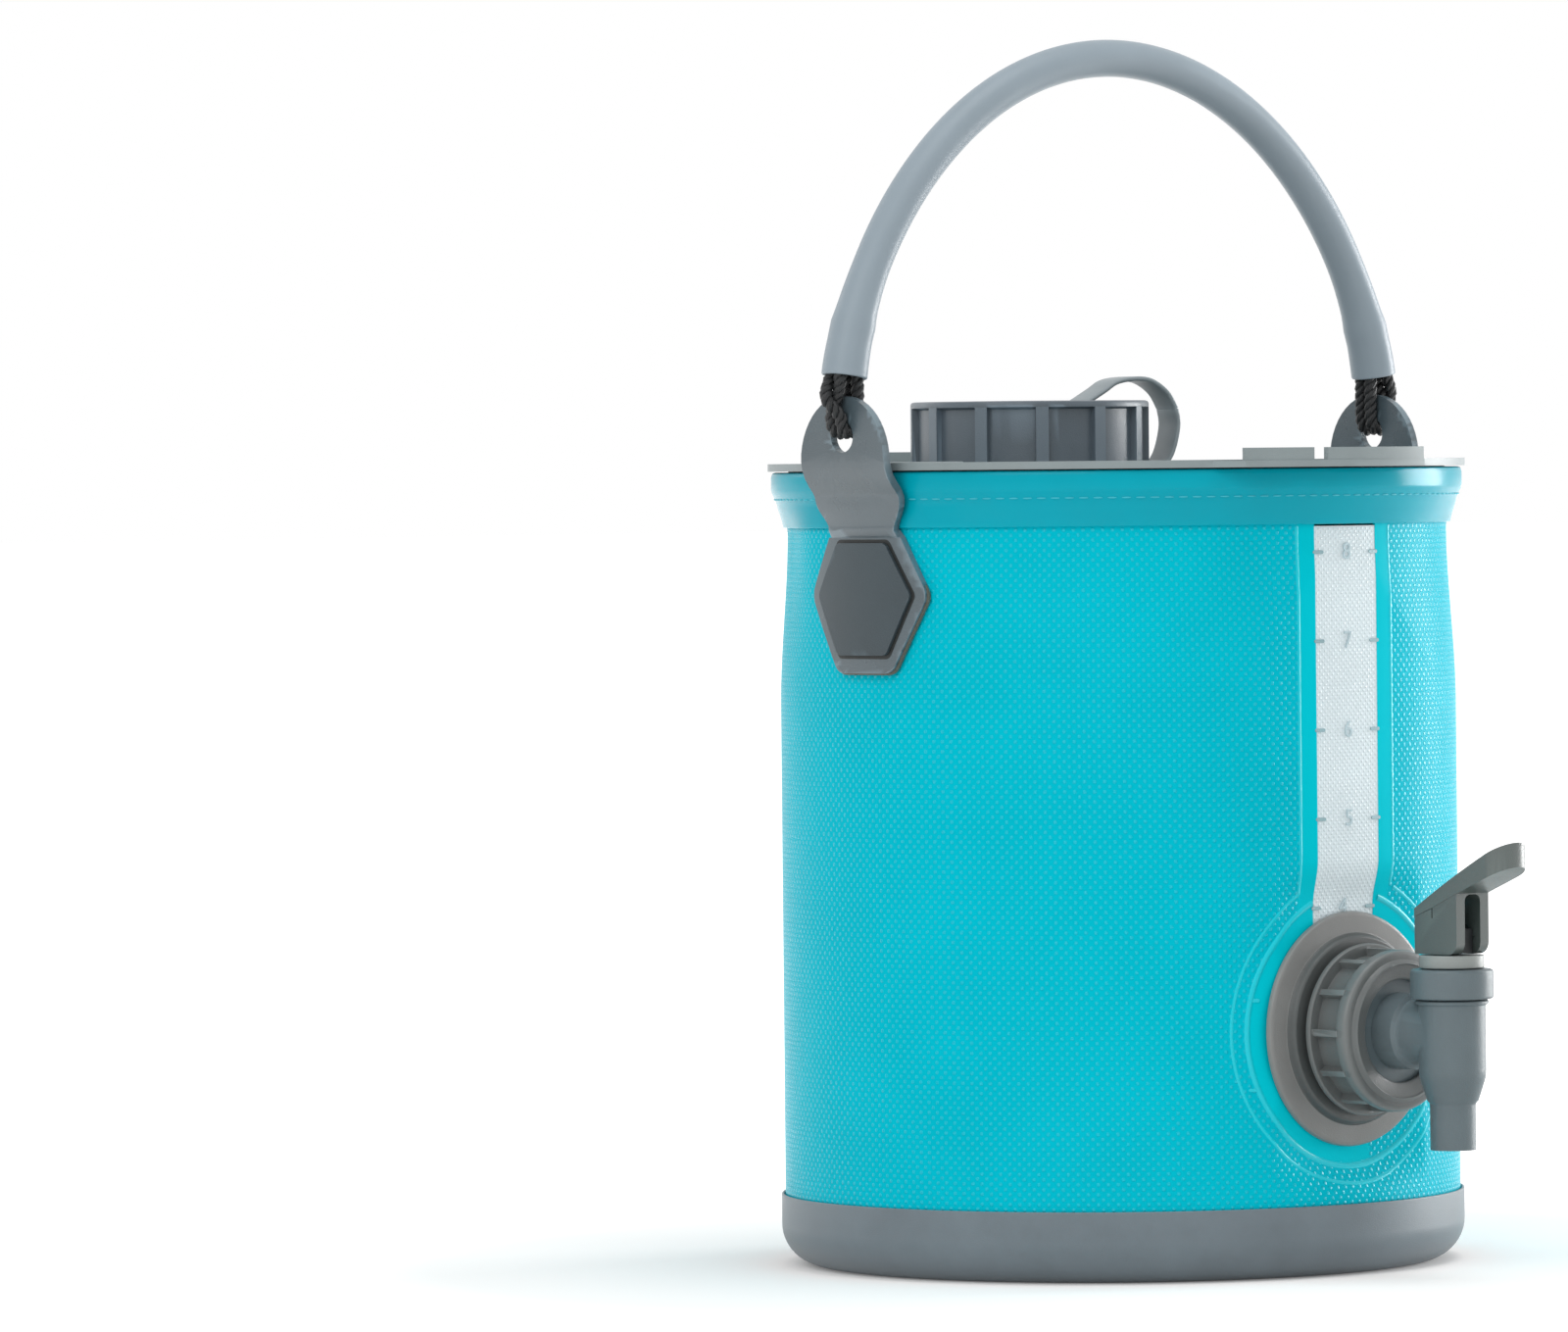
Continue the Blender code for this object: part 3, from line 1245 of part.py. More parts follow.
def tap_nut():
    barrel = NUT_BACK + NUT_FLANGE_THICKNESS
    rim = barrel + NUT_BARREL_LENGTH
    inside = TAP_FLANGE_FRONT + FIT
    profile = [
        (NUT_FACE_RADIUS, NUT_FRONT),
        (NUT_FACE_RADIUS + NUT_FACE_STEP, NUT_RIM_FRONT),
        (NUT_RIM_RADIUS - NUT_FACE_STEP, NUT_RIM_FRONT),
        (NUT_RIM_RADIUS, NUT_RIM_FRONT - NUT_FACE_STEP),
        (NUT_RIM_RADIUS, rim),
        (NUT_BARREL_RADIUS, rim),
        (NUT_BARREL_RADIUS, barrel),
        (NUT_FLANGE_RADIUS, barrel),
        (NUT_FLANGE_RADIUS, NUT_BACK),
        (NUT_THREAD_RADIUS, NUT_BACK),
        (NUT_THREAD_RADIUS, inside),
        (NUT_MOUTH_RADIUS, inside),
        (NUT_MOUTH_RADIUS, NUT_FRONT),
    ]
    part = turned("tap_nut", profile, WARM_PLASTIC, CAP_STEPS, closed=True, **PORT_PLACE)
    middle = (NUT_BARREL_RADIUS + NUT_THREAD_RADIUS) / 2
    low = (middle, -NUT_RIB_WIDTH / 2, barrel - NUT_FLANGE_THICKNESS / 2)
    high = (NUT_BARREL_RADIUS + NUT_RIB_RISE, NUT_RIB_WIDTH / 2, rim + NUT_RIM_LENGTH / 4)
    join(part, add_tool(ring_of_boxes("nut ribs", low, high, NUT_RIBS), "nut ribs", **PORT_PLACE))
    return smooth(part)


def tap_washer():
    back = PORT_NECK_FRONT + FIT
    inner = TAP_SPIGOT_RADIUS + FIT
    outer = TAP_FLANGE_RADIUS
    profile = [(outer, WASHER_FRONT), (outer, back), (inner, back), (inner, WASHER_FRONT)]
    return smooth(turned("tap_washer", profile, SEAL_RUBBER, FITTING_STEPS, closed=True, **PORT_PLACE))


# Tap

def cone_bottom():
    return PORT_HEIGHT - TAP_NOZZLE_DROP


def cone_top():
    return PORT_HEIGHT - TAP_CONE_DROP


def tap_body():
    mouth = PORT_HEIGHT - TAP_MOUTH_DROP
    lip_bottom = TAP_TOP - TAP_LIP_HEIGHT
    outer = [
        (0, TAP_TOP),
        (TAP_RADIUS + TAP_LIP_RISE, TAP_TOP),
        (TAP_RADIUS + TAP_LIP_RISE, lip_bottom),
        (TAP_RADIUS, lip_bottom - TAP_LIP_RISE),
        (TAP_RADIUS, cone_top()),
        (TAP_NOZZLE_RADIUS, cone_bottom()),
        (TAP_NOZZLE_RADIUS, mouth),
        (0, mouth),
    ]
    part = turned("tap_body", outer, TAP_PLASTIC, SMALL_STEPS, location=(0, -TAP_DISTANCE, 0))
    collar_front = TAP_FLANGE_FRONT + TAP_STEM_COLLAR_LENGTH
    spigot_back = TAP_FLANGE_BACK - TAP_SPIGOT_LENGTH
    stem = [
        (0, TAP_DISTANCE),
        (TAP_STEM_RADIUS, TAP_DISTANCE),
        (TAP_STEM_RADIUS, collar_front),
        (TAP_STEM_COLLAR_RADIUS, collar_front),
        (TAP_STEM_COLLAR_RADIUS, TAP_FLANGE_FRONT),
        (TAP_FLANGE_RADIUS, TAP_FLANGE_FRONT),
        (TAP_FLANGE_RADIUS, TAP_FLANGE_BACK),
        (TAP_SPIGOT_RADIUS, TAP_FLANGE_BACK),
        (TAP_SPIGOT_RADIUS, spigot_back),
        (0, spigot_back),
    ]
    join(part, turned_tool("tap stem", stem, SMALL_STEPS, **PORT_PLACE))
    bore = TAP_RADIUS - TAP_WALL
    hollow = [
        (0, TAP_TOP + OVERRUN),
        (bore, TAP_TOP + OVERRUN),
        (bore, cone_top()),
        (TAP_NOZZLE_BORE, cone_bottom()),
        (TAP_NOZZLE_BORE, mouth - OVERRUN),
        (0, mouth - OVERRUN),
    ]
    cut(part, turned_tool("tap hollow", hollow, SMALL_STEPS, location=(0, -TAP_DISTANCE, 0)))
    inlet_end = spigot_back - OVERRUN
    cut(part, rod_tool("tap inlet", TAP_STEM_BORE, inlet_end, TAP_DISTANCE, SMALL_STEPS, **PORT_PLACE))
    return smooth(part)


def tap_bonnet():
    hole = STEM_RADIUS + FIT
    plug = TAP_RADIUS - TAP_WALL - FIT
    profile = [
        (hole, BONNET_TOP),
        (BONNET_RADIUS - BONNET_CHAMFER, BONNET_TOP),
        (BONNET_RADIUS, BONNET_TOP - BONNET_CHAMFER),
        (BONNET_RADIUS, BONNET_BOTTOM),
        (plug, BONNET_BOTTOM),
        (plug, BONNET_BOTTOM - BONNET_PLUG_DEPTH),
        (hole, BONNET_BOTTOM - BONNET_PLUG_DEPTH),
    ]
    return smooth(turned("tap_bonnet", profile, TAP_PLASTIC, SMALL_STEPS, closed=True, **TAP_PLACE))


def tap_collar():
    hole = STEM_RADIUS + FIT
    outer = COLLAR_RADIUS
    profile = [(hole, COLLAR_TOP), (outer, COLLAR_TOP), (outer, COLLAR_BOTTOM), (hole, COLLAR_BOTTOM)]
    return smooth(turned("tap_collar", profile, PALE_PLASTIC, SMALL_STEPS, closed=True, **TAP_PLACE))


def lever_outline():
    """The lever seen from its side: distances out from the wall, and heights."""
    heel = TAP_DISTANCE - LEVER_HEEL
    toe = heel + LEVER_LENGTH
    tip = TAP_DISTANCE + PADDLE_REACH
    heel_top = LEVER_BOTTOM + LEVER_HEEL_HEIGHT
    tip_top = LEVER_BOTTOM + PADDLE_TIP_TOP
    tip_bottom = LEVER_BOTTOM + PADDLE_TIP_BOTTOM
    toe_top = LEVER_BOTTOM + LEVER_TOE_HEIGHT
    chamfer = toe - FULCRUM_DISTANCE
    outline = [(FULCRUM_DISTANCE, LEVER_BOTTOM), (heel, LEVER_BOTTOM), (heel, heel_top)]
    outline += [(heel + (tip - heel) * a, heel_top + (tip_top - heel_top) * b) for a, b in PADDLE_TOP_SHARES]
    outline += [(tip - chamfer / 3, tip_top), (tip, tip_top - chamfer / 3), (tip, tip_bottom)]
    rise = tip_bottom - toe_top
    outline += [(toe + (tip - toe) * a, toe_top + rise * b) for a, b in PADDLE_BOTTOM_SHARES]
    outline += [(toe, toe_top), (toe, LEVER_BOTTOM + chamfer)]
    return outline


def tap_lever():
    mesh = outline_mesh("tap_lever", lever_outline(), -LEVER_WIDTH / 2, LEVER_WIDTH / 2)
    part = add_part(mesh, "tap_lever", LEVER_PLASTIC, rotation=(math.pi / 2, 0, -math.pi / 2))
    toe = TAP_DISTANCE - LEVER_HEEL + LEVER_LENGTH
    slot_back = -TAP_DISTANCE + LEVER_HEEL - LEVER_BACK_WALL
    slot = box_mesh(
        "lever slot",
        (-LEVER_SLOT_WIDTH / 2, -toe - OVERRUN, LEVER_BOTTOM - OVERRUN),
        (LEVER_SLOT_WIDTH / 2, slot_back, LEVER_BOTTOM + LEVER_SLOT_HEIGHT),
    )
    cut(part, add_tool(slot, "lever slot"))
    hole = rod_tool(
        "lever pin hole",
        LEVER_PIN_RADIUS + FIT,
        -LEVER_WIDTH / 2 - OVERRUN,
        LEVER_WIDTH / 2 + OVERRUN,
        SMALL_STEPS // 2,
        rotation=(0, math.pi / 2, 0),
        location=(0, -TAP_DISTANCE, LEVER_PIN_HEIGHT),
    )
    cut(part, hole)
    return smooth(part)


def lever_pin():
    half = LEVER_WIDTH / 2 - FIT
    profile = [(0, half), (LEVER_PIN_RADIUS, half), (LEVER_PIN_RADIUS, -half), (0, -half)]
    place = dict(rotation=(0, math.pi / 2, 0), location=(0, -TAP_DISTANCE, LEVER_PIN_HEIGHT))
    return smooth(turned("lever_pin", profile, STEEL, SMALL_STEPS // 2, **place))


# Valve

def cup_bottom():
    """Where the seat cup's lower edge lies in the cone above the nozzle."""
    bore = TAP_RADIUS - TAP_WALL
    slope = (cone_top() - cone_bottom()) / (bore - TAP_NOZZLE_BORE)
    return cone_bottom() + slope * (bore - TAP_NOZZLE_BORE) / 2 + 2 * FIT


def cup_edge_radius():
    bore = TAP_RADIUS - TAP_WALL
    share = (cup_bottom() - cone_bottom()) / (cone_top() - cone_bottom())
    return TAP_NOZZLE_BORE + (bore - TAP_NOZZLE_BORE) * share - FIT * 3 / 2


def seat_cup():
    bottom = cup_bottom()
    socket = STEM_RADIUS + FIT
    bore = TAP_RADIUS - TAP_WALL
    cone_end = cone_top() + FIT
    profile = [
        (0, bottom + SEAT_CUP_HEIGHT - SEAT_CUP_SOCKET),
        (socket, bottom + SEAT_CUP_HEIGHT - SEAT_CUP_SOCKET),
        (socket, bottom + SEAT_CUP_HEIGHT),
        (SEAT_CUP_NECK, bottom + SEAT_CUP_HEIGHT),
        (bore - FIT * 2, bottom + SEAT_CUP_SKIRT),
        (bore - FIT * 2, cone_end),
        (cup_edge_radius(), bottom),
        (0, bottom),
    ]
    return smooth(turned("seat_cup", profile, SEAL_RUBBER, SMALL_STEPS, **TAP_PLACE))


def valve_stem():
    foot = cup_bottom() + SEAT_CUP_HEIGHT - SEAT_CUP_SOCKET + FIT
    swing = math.radians(LEVER_SWING_DEGREES)
    forward = LEVER_PIN_RISE * math.sin(swing) + LEVER_FULCRUM_OFFSET * (1 - math.cos(swing))
    slot_radius = LEVER_PIN_RADIUS + 3 * FIT
    head_bottom = COLLAR_TOP + 2 * FIT
    head_top = LEVER_PIN_HEIGHT + slot_radius + STEM_HEAD_WALL
    front = TAP_DISTANCE + forward + slot_radius + STEM_HEAD_WALL
    back = TAP_DISTANCE - slot_radius - STEM_HEAD_WALL
    rod_top = LEVER_PIN_HEIGHT - slot_radius - FIT
    rod = [(0, rod_top), (STEM_RADIUS, rod_top), (STEM_RADIUS, foot), (0, foot)]
    part = turned("valve_stem", rod, PALE_PLASTIC, SMALL_STEPS // 2, **TAP_PLACE)
    head_outline = [
        (back, head_bottom),
        (front, head_bottom),
        (front, head_top),
        (back + STEM_HEAD_CHAMFER_DEPTH, head_top),
        (back, head_top - STEM_HEAD_CHAMFER_HEIGHT),
    ]
    half = STEM_HEAD_WIDTH / 2
    sideways = (math.pi / 2, 0, -math.pi / 2)
    head = outline_mesh("stem head", head_outline, -half, half)
    join(part, add_tool(head, "stem head", rotation=sideways))
    length = forward + 2 * slot_radius
    slot = obround((TAP_DISTANCE + forward / 2, LEVER_PIN_HEIGHT), length, 2 * slot_radius, 4)
    slot_mesh = outline_mesh("stem slot", slot, -half - OVERRUN, half + OVERRUN)
    cutter = add_tool(slot_mesh, "stem slot", rotation=sideways)
    cut(part, cutter)
    return smooth(part)


empty_the_scene()
PARTS = collection("collapsible_water_carrier")
TOOLS = collection("cutters")

GREY_PLASTIC = material("grey moulded plastic", (0.175, 0.215, 0.240), 0.50)
DARK_PLASTIC = material("dark flexible plastic", (0.085, 0.110, 0.130), 0.55)
PAD_RUBBER = material("pad rubber", (0.065, 0.088, 0.105), 0.60)
GREY_RUBBER = material("tether rubber", (0.200, 0.235, 0.255), 0.60)
SEAL_RUBBER = material("pale silicone", (0.620, 0.640, 0.640), 0.55)
TEAL_FABRIC = material("teal coated fabric", (0.000, 0.440, 0.560), 0.45)
TEAL_BAND = material("teal hem tape", (0.000, 0.340, 0.420), 0.40)
CLEAR_FILM = material("clear film", (0.620, 0.760, 0.800), 0.35, transmission=0.5)
GRIP_TUBE = material("grip tube", (0.270, 0.320, 0.360), 0.45)
BLACK_ROPE = material("black rope", (0.012, 0.013, 0.016), 0.80)
WARM_PLASTIC = material("warm grey plastic", (0.165, 0.170, 0.165), 0.45)
TAP_PLASTIC = material("tap plastic", (0.125, 0.165, 0.190), 0.50)
LEVER_PLASTIC = material("lever plastic", (0.075, 0.095, 0.100), 0.50)
PALE_PLASTIC = material("pale plastic", (0.300, 0.320, 0.320), 0.40)
STEEL = material("steel", (0.550, 0.550, 0.560), 0.30, metallic=1.0)

PORT_PLACE = dict(rotation=(math.pi / 2, 0, 0), location=(0, 0, PORT_HEIGHT))
TAP_PLACE = dict(location=(0, -TAP_DISTANCE, 0))
LID_PLACE = dict(rotation=(0, 0, math.radians(LID_TURN_DEGREES)))
EAR_PLACES = [dict(rotation=(0, 0, math.radians(LID_TURN_DEGREES + turn_by))) for turn_by in (0, 180)]
CAP_PLACE = dict(location=(*lid_frame(0, NECK_OFFSET), 0), rotation=LID_PLACE["rotation"])
WELL_PLACE = dict(location=(*lid_frame(0, -POCKET_OFFSET), 0), rotation=LID_PLACE["rotation"])
DISC_PLACE = dict(location=(*lid_frame(DISC_OFFSET_X, DISC_OFFSET_Y), 0))
VENT_PLACE = dict(location=(*lid_frame(-DISC_OFFSET_X, DISC_OFFSET_Y), 0))

base_cup()
wall()
window()
hem_band()
rim_hoop()
lug("lug_left", math.pi)
lug("lug_right", 0)
lug_pad("lug_pad_left", math.pi)
lug_pad("lug_pad_right", 0)
hang("handle pivot", (0, 0, LUG_HOLE_HEIGHT), handle_grip(), handle_rope())
lid()
lid_seal()
vent_valve()
screw_cap()
cap_seal()
cap_pin()
cap_tether()
port_fitting()
port_gasket()
port_nut()
tap_nut()
tap_washer()
tap_body()
tap_bonnet()
tap_collar()
hang("lever pivot", (0, -FULCRUM_DISTANCE, LEVER_BOTTOM), tap_lever(), lever_pin())
seat_cup()
valve_stem()
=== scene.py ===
import math

import bmesh
import bpy
from mathutils import Matrix, Vector
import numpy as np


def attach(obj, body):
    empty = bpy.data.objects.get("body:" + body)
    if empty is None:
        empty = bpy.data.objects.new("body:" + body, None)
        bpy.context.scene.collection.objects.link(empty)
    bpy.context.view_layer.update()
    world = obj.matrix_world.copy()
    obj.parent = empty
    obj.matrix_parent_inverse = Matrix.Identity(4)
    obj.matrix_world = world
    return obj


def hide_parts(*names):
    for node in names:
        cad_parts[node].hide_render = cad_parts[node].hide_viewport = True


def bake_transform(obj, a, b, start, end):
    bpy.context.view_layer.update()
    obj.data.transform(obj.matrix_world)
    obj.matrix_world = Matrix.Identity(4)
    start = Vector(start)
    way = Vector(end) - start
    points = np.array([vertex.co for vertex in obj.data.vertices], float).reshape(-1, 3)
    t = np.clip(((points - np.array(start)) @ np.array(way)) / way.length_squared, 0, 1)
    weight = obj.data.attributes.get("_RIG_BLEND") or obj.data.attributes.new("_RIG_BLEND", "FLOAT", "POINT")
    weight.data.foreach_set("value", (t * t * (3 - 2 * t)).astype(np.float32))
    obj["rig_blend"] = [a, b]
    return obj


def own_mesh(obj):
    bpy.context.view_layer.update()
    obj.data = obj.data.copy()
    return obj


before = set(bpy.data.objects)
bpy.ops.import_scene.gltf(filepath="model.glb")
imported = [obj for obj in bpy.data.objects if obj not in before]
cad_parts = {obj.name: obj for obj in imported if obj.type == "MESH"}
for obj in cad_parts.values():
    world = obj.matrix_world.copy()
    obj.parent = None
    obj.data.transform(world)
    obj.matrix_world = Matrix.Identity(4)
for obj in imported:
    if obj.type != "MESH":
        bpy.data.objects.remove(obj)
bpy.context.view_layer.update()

# Camera, floor and studio light

# The carrier stands on a white floor in soft studio light. The camera is 3.3 m away at the height of the
# lid, 44 degrees round to the left of the tap, and the whole picture is shifted and rolled as it was taken.

PICTURE_WIDTH = 1600
PICTURE_HEIGHT = 1359
AXIS_PIXEL = 1139
HORIZON_PIXEL = 478
SENSOR_WIDTH = 36
LENS = 241.7
CAMERA_REACH = 100
CAMERA_DISTANCE = 3.345
CAMERA_HEIGHT = 0.2513
CAMERA_TURN = math.radians(-44)
CAMERA_ROLL = math.radians(-0.55)


def put_in(name, data, group=None):
    """A new object for the data, in the scene or in a group of it."""
    thing = bpy.data.objects.new(name, data)
    (group or bpy.context.scene.collection).objects.link(thing)
    return thing


camera = put_in("camera", bpy.data.cameras.new("camera"))
camera.data.sensor_width = SENSOR_WIDTH
camera.data.lens = LENS
camera.data.clip_end = CAMERA_REACH
camera.data.shift_x = (PICTURE_WIDTH / 2 - AXIS_PIXEL) / PICTURE_WIDTH
camera.data.shift_y = (HORIZON_PIXEL - PICTURE_HEIGHT / 2) / PICTURE_WIDTH
camera.matrix_world = (
    Matrix.Translation((
        CAMERA_DISTANCE * math.sin(CAMERA_TURN),
        -CAMERA_DISTANCE * math.cos(CAMERA_TURN),
        CAMERA_HEIGHT,
    ))
    @ Matrix.Rotation(CAMERA_TURN, 4, "Z")
    @ Matrix.Rotation(math.radians(90), 4, "X")
    @ Matrix.Rotation(CAMERA_ROLL, 4, "Z")
)
bpy.context.scene.camera = camera
bpy.context.scene.view_settings.view_transform = "Standard"


def fill(tree, node, inputs):
    """Sets a node's inputs: a socket is linked, and anything else becomes the input's value."""
    for key, value in dict(inputs).items():
        if isinstance(value, bpy.types.NodeSocket):
            tree.links.new(value, node.inputs[key])
        else:
            node.inputs[key].default_value = value


def add_node(tree, kind, inputs=(), **settings):
    made = tree.nodes.new("ShaderNode" + kind)
    for key, value in settings.items():
        setattr(made, key, value)
    fill(tree, made, inputs)
    return made


def worked_out(tree, operation, *values):
    return add_node(tree, "Math", dict(enumerate(values)), operation=operation).outputs[0]


def ranged(tree, value, start=0.0, end=1.0, low=0.0, high=1.0, curve="LINEAR"):
    """A value between start and end, carried over to between low and high."""
    inputs = {"Value": value, "From Min": start, "From Max": end, "To Min": low, "To Max": high}
    return add_node(tree, "MapRange", inputs, interpolation_type=curve).outputs["Result"]


def seen_directly(tree):
    """1 for what the camera sees, also by way of a gloss or a clear film."""
    path = add_node(tree, "LightPath").outputs
    either = worked_out(tree, "MAXIMUM", path["Is Camera Ray"], path["Is Glossy Ray"])
    return worked_out(tree, "MAXIMUM", either, path["Is Transmission Ray"])


def new_finish(name):
    """A material to be filled in, with its node tree and its shader."""
    finish = bpy.data.materials.new(name)
    finish.use_nodes = True
    return finish, finish.node_tree, finish.node_tree.nodes["Principled BSDF"]


def mesh_from(name, shape):
    """A mesh with the shape's faces. The shape is used up."""
    mesh = bpy.data.meshes.new(name)
    shape.to_mesh(mesh)
    shape.free()
    return mesh


WHITE = (1, 1, 1, 1)
AMBIENT = 0.51
FLOOR_COLOUR = (0.88, 0.87, 0.86, 1)
FLOOR_SIZE = 30
NEAR_FLOOR = 0.22
FAR_FLOOR = 0.50
NEAR_GLOW = 0.16

world = bpy.data.worlds.new("studio")
bpy.context.scene.world = world
world.use_nodes = True
sky_tree = world.node_tree
sky_strength = ranged(sky_tree, seen_directly(sky_tree), low=AMBIENT)
fill(sky_tree, sky_tree.nodes["Background"], {"Color": WHITE, "Strength": sky_strength})

floor_finish, floor_tree, floor_shader = new_finish("studio floor")
fill(floor_tree, floor_shader, {"Base Color": FLOOR_COLOUR, "Roughness": 0.9, "Specular IOR Level": 0.0})
floor_place = add_node(floor_tree, "TexCoord").outputs["Object"]
reach = add_node(floor_tree, "VectorMath", {0: floor_place}, operation="LENGTH").outputs["Value"]
sweep = ranged(floor_tree, reach, NEAR_FLOOR, FAR_FLOOR, NEAR_GLOW)
seen_glow = worked_out(floor_tree, "MULTIPLY", sweep, seen_directly(floor_tree))
floor_glow = add_node(floor_tree, "Emission", {"Color": WHITE, "Strength": seen_glow})
floor_sum = add_node(floor_tree, "AddShader", {0: floor_shader.outputs[0], 1: floor_glow.outputs[0]})
fill(floor_tree, floor_tree.nodes["Material Output"], {"Surface": floor_sum.outputs[0]})

floor_shape = bmesh.new()
bmesh.ops.create_grid(floor_shape, x_segments=1, y_segments=1, size=FLOOR_SIZE)
floor = put_in("floor", mesh_from("floor", floor_shape))
floor.data.materials.append(floor_finish)

LAMP_AIM = Vector((0, 0, 0.16))


def softbox(name, turn, height, distance, size, power):
    """A square lamp that looks at the middle of the carrier, turned round from the front of the tap."""
    lamp = put_in(name, bpy.data.lights.new(name, "AREA"))
    lamp.data.shape = "SQUARE"
    lamp.data.size = size
    lamp.data.energy = power
    angle = math.radians(turn)
    place = Vector((distance * math.sin(angle), -distance * math.cos(angle), height))
    lamp.location = place
    lamp.rotation_euler = (place - LAMP_AIM).to_track_quat("Z", "Y").to_euler()


softbox("key", -70, 1.6, 2.2, 1.6, 20)
softbox("top", 10, 2.3, 0.5, 1.4, 18)
softbox("right edge", 78, 0.35, 2.0, 0.9, 30)
softbox("left edge", -165, 1.0, 2.2, 1.2, 5)


# Base cup

# The base is one injection moulding in mid grey plastic: a shallow cup with a rounded lower corner, a flat
# underside, and a thin lip that the wall is welded into.

BASE_RADIUS = 0.1084
BASE_LIP_INNER_RADIUS = 0.1075
BASE_INNER_RADIUS = 0.1060
BASE_HEIGHT = 0.0226
BASE_LEDGE = 0.0140
BASE_FLOOR = 0.0040
BASE_CORNER = 0.0130
BASE_INNER_CORNER = 0.0060
FULL_STEPS = 192
EDGE = 0.0003
CLOUD_SCALE = 38.0
GRAIN_SCALE = 2600.0
EDGE_WEAR_AND_HIGHLIGHT_FROM = 0.52
EDGE_WEAR_AND_HIGHLIGHT_TO = 0.62
EDGE_WEAR_AND_HIGHLIGHT_TINT = 2.1


def linear(red, green, blue):
    """A colour given as it looks on a screen, 0 to 255, made linear for a shader."""
    shares = [value / 255 for value in (red, green, blue)]
    return [s / 12.92 if s <= 0.04045 else ((s + 0.055) / 1.055) ** 2.4 for s in shares] + [1.0]


def scaled(colour, factor):
    return [min(c * factor, 1.0) for c in colour[:3]] + [1.0]


def noise(tree, place, scale, detail, roughness=0.5):
    inputs = {"Vector": place, "Scale": scale, "Detail": detail, "Roughness": roughness}
    return add_node(tree, "TexNoise", inputs).outputs["Fac"]


def ramped(tree, value, *stops):
    """A colour that follows a value, from two stops of a position and a colour each."""
    made = add_node(tree, "ValToRGB", {"Fac": value})
    for stop, (position, colour) in zip(made.color_ramp.elements, stops):
        stop.position = position
        stop.color = colour
    return made.outputs["Color"]


def mixed(tree, share, first, second):
    return add_node(tree, "Mix", {0: share, 6: first, 7: second}, data_type="RGBA").outputs[2]


def bumped(tree, height, distance, strength, under=()):
    inputs = {"Height": height, "Distance": distance, "Strength": strength, **dict(under)}
    return add_node(tree, "Bump", inputs).outputs["Normal"]


def moulded(name, colour, roughness, mottle=0.10, grain=0.00012, edge_wear_and_highlight=0.25, gloss=0.40):
    """Moulded plastic or rubber: a cloudy tint, a fine grain, and edges painted paler, partly as wear and
    partly as painted highlight.
    """
    finish, tree, shader = new_finish(name)
    place = add_node(tree, "TexCoord").outputs["Object"]
    cloud = noise(tree, place, CLOUD_SCALE, 5.0, 0.6)
    tint = ramped(tree, cloud, (0.30, scaled(colour, 1 - mottle)), (0.70, scaled(colour, 1 + mottle)))
    # Sharp convex edges are painted paler: partly wear, partly a painted highlight.
    edges = add_node(tree, "NewGeometry").outputs["Pointiness"]
    worn_and_highlit = ranged(tree, edges, EDGE_WEAR_AND_HIGHLIGHT_FROM, EDGE_WEAR_AND_HIGHLIGHT_TO, high=edge_wear_and_highlight)
    fill(tree, shader, {
        "Base Color": mixed(tree, worn_and_highlit, tint, scaled(colour, EDGE_WEAR_AND_HIGHLIGHT_TINT)),
        "Normal": bumped(tree, noise(tree, place, GRAIN_SCALE, 2.0), grain, 0.6),
        "Roughness": ranged(tree, cloud, 0.3, 0.7, roughness - 0.05, roughness + 0.05),
        "Specular IOR Level": gloss,
    })
    return finish


def circle_points(centre, radius, start, end, steps):
    """Points on an arc, its angles in degrees."""
    angles = [math.radians(start + (end - start) * i / steps) for i in range(steps + 1)]
    return [(centre[0] + radius * math.cos(a), centre[1] + radius * math.sin(a)) for a in angles]


def spun(profile, steps=FULL_STEPS, closed=False, place=Matrix.Identity(4)):
    """A turned shape about Z: radius and height pairs, closed where it has a bore."""
    shape = bmesh.new()
    verts = [shape.verts.new((radius, 0, height)) for radius, height in profile]
    for first, second in zip(verts, verts[1:] + verts[:1] if closed else verts[1:]):
        shape.edges.new((first, second))
    bmesh.ops.spin(
        shape, geom=shape.verts[:] + shape.edges[:], cent=(0, 0, 0), axis=(0, 0, 1), angle=math.tau,
        steps=steps, use_merge=True,
    )
    bmesh.ops.remove_doubles(shape, verts=shape.verts, dist=1e-6)
    bmesh.ops.recalc_face_normals(shape, faces=shape.faces)
    bmesh.ops.transform(shape, matrix=place, verts=shape.verts)
    return shape


def fitted(name, shape, body, finish, slot, stands_for=(), edge=EDGE, angle=28, segments=2):
    """The finished piece: its edges eased, shaded smooth, and riding on its body."""
    mesh = mesh_from(name, shape)
    mesh.materials.append(finish)
    mesh.shade_smooth()
    mesh.set_sharp_from_angle(angle=math.radians(40))
    piece = put_in(name, mesh)
    if edge:
        ease = piece.modifiers.new("eased edges", "BEVEL")
        ease.width = edge
        ease.segments = segments
        ease.limit_method = "ANGLE"
        ease.angle_limit = math.radians(angle)
        ease.use_clamp_overlap = True
        piece.modifiers.new("even shading", "WEIGHTED_NORMAL")
    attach(piece, body)
    if stands_for:
        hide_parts(*stands_for)
    return piece


grey_plastic = moulded("grey plastic", linear(112, 123, 130), 0.42, grain=0.00010)

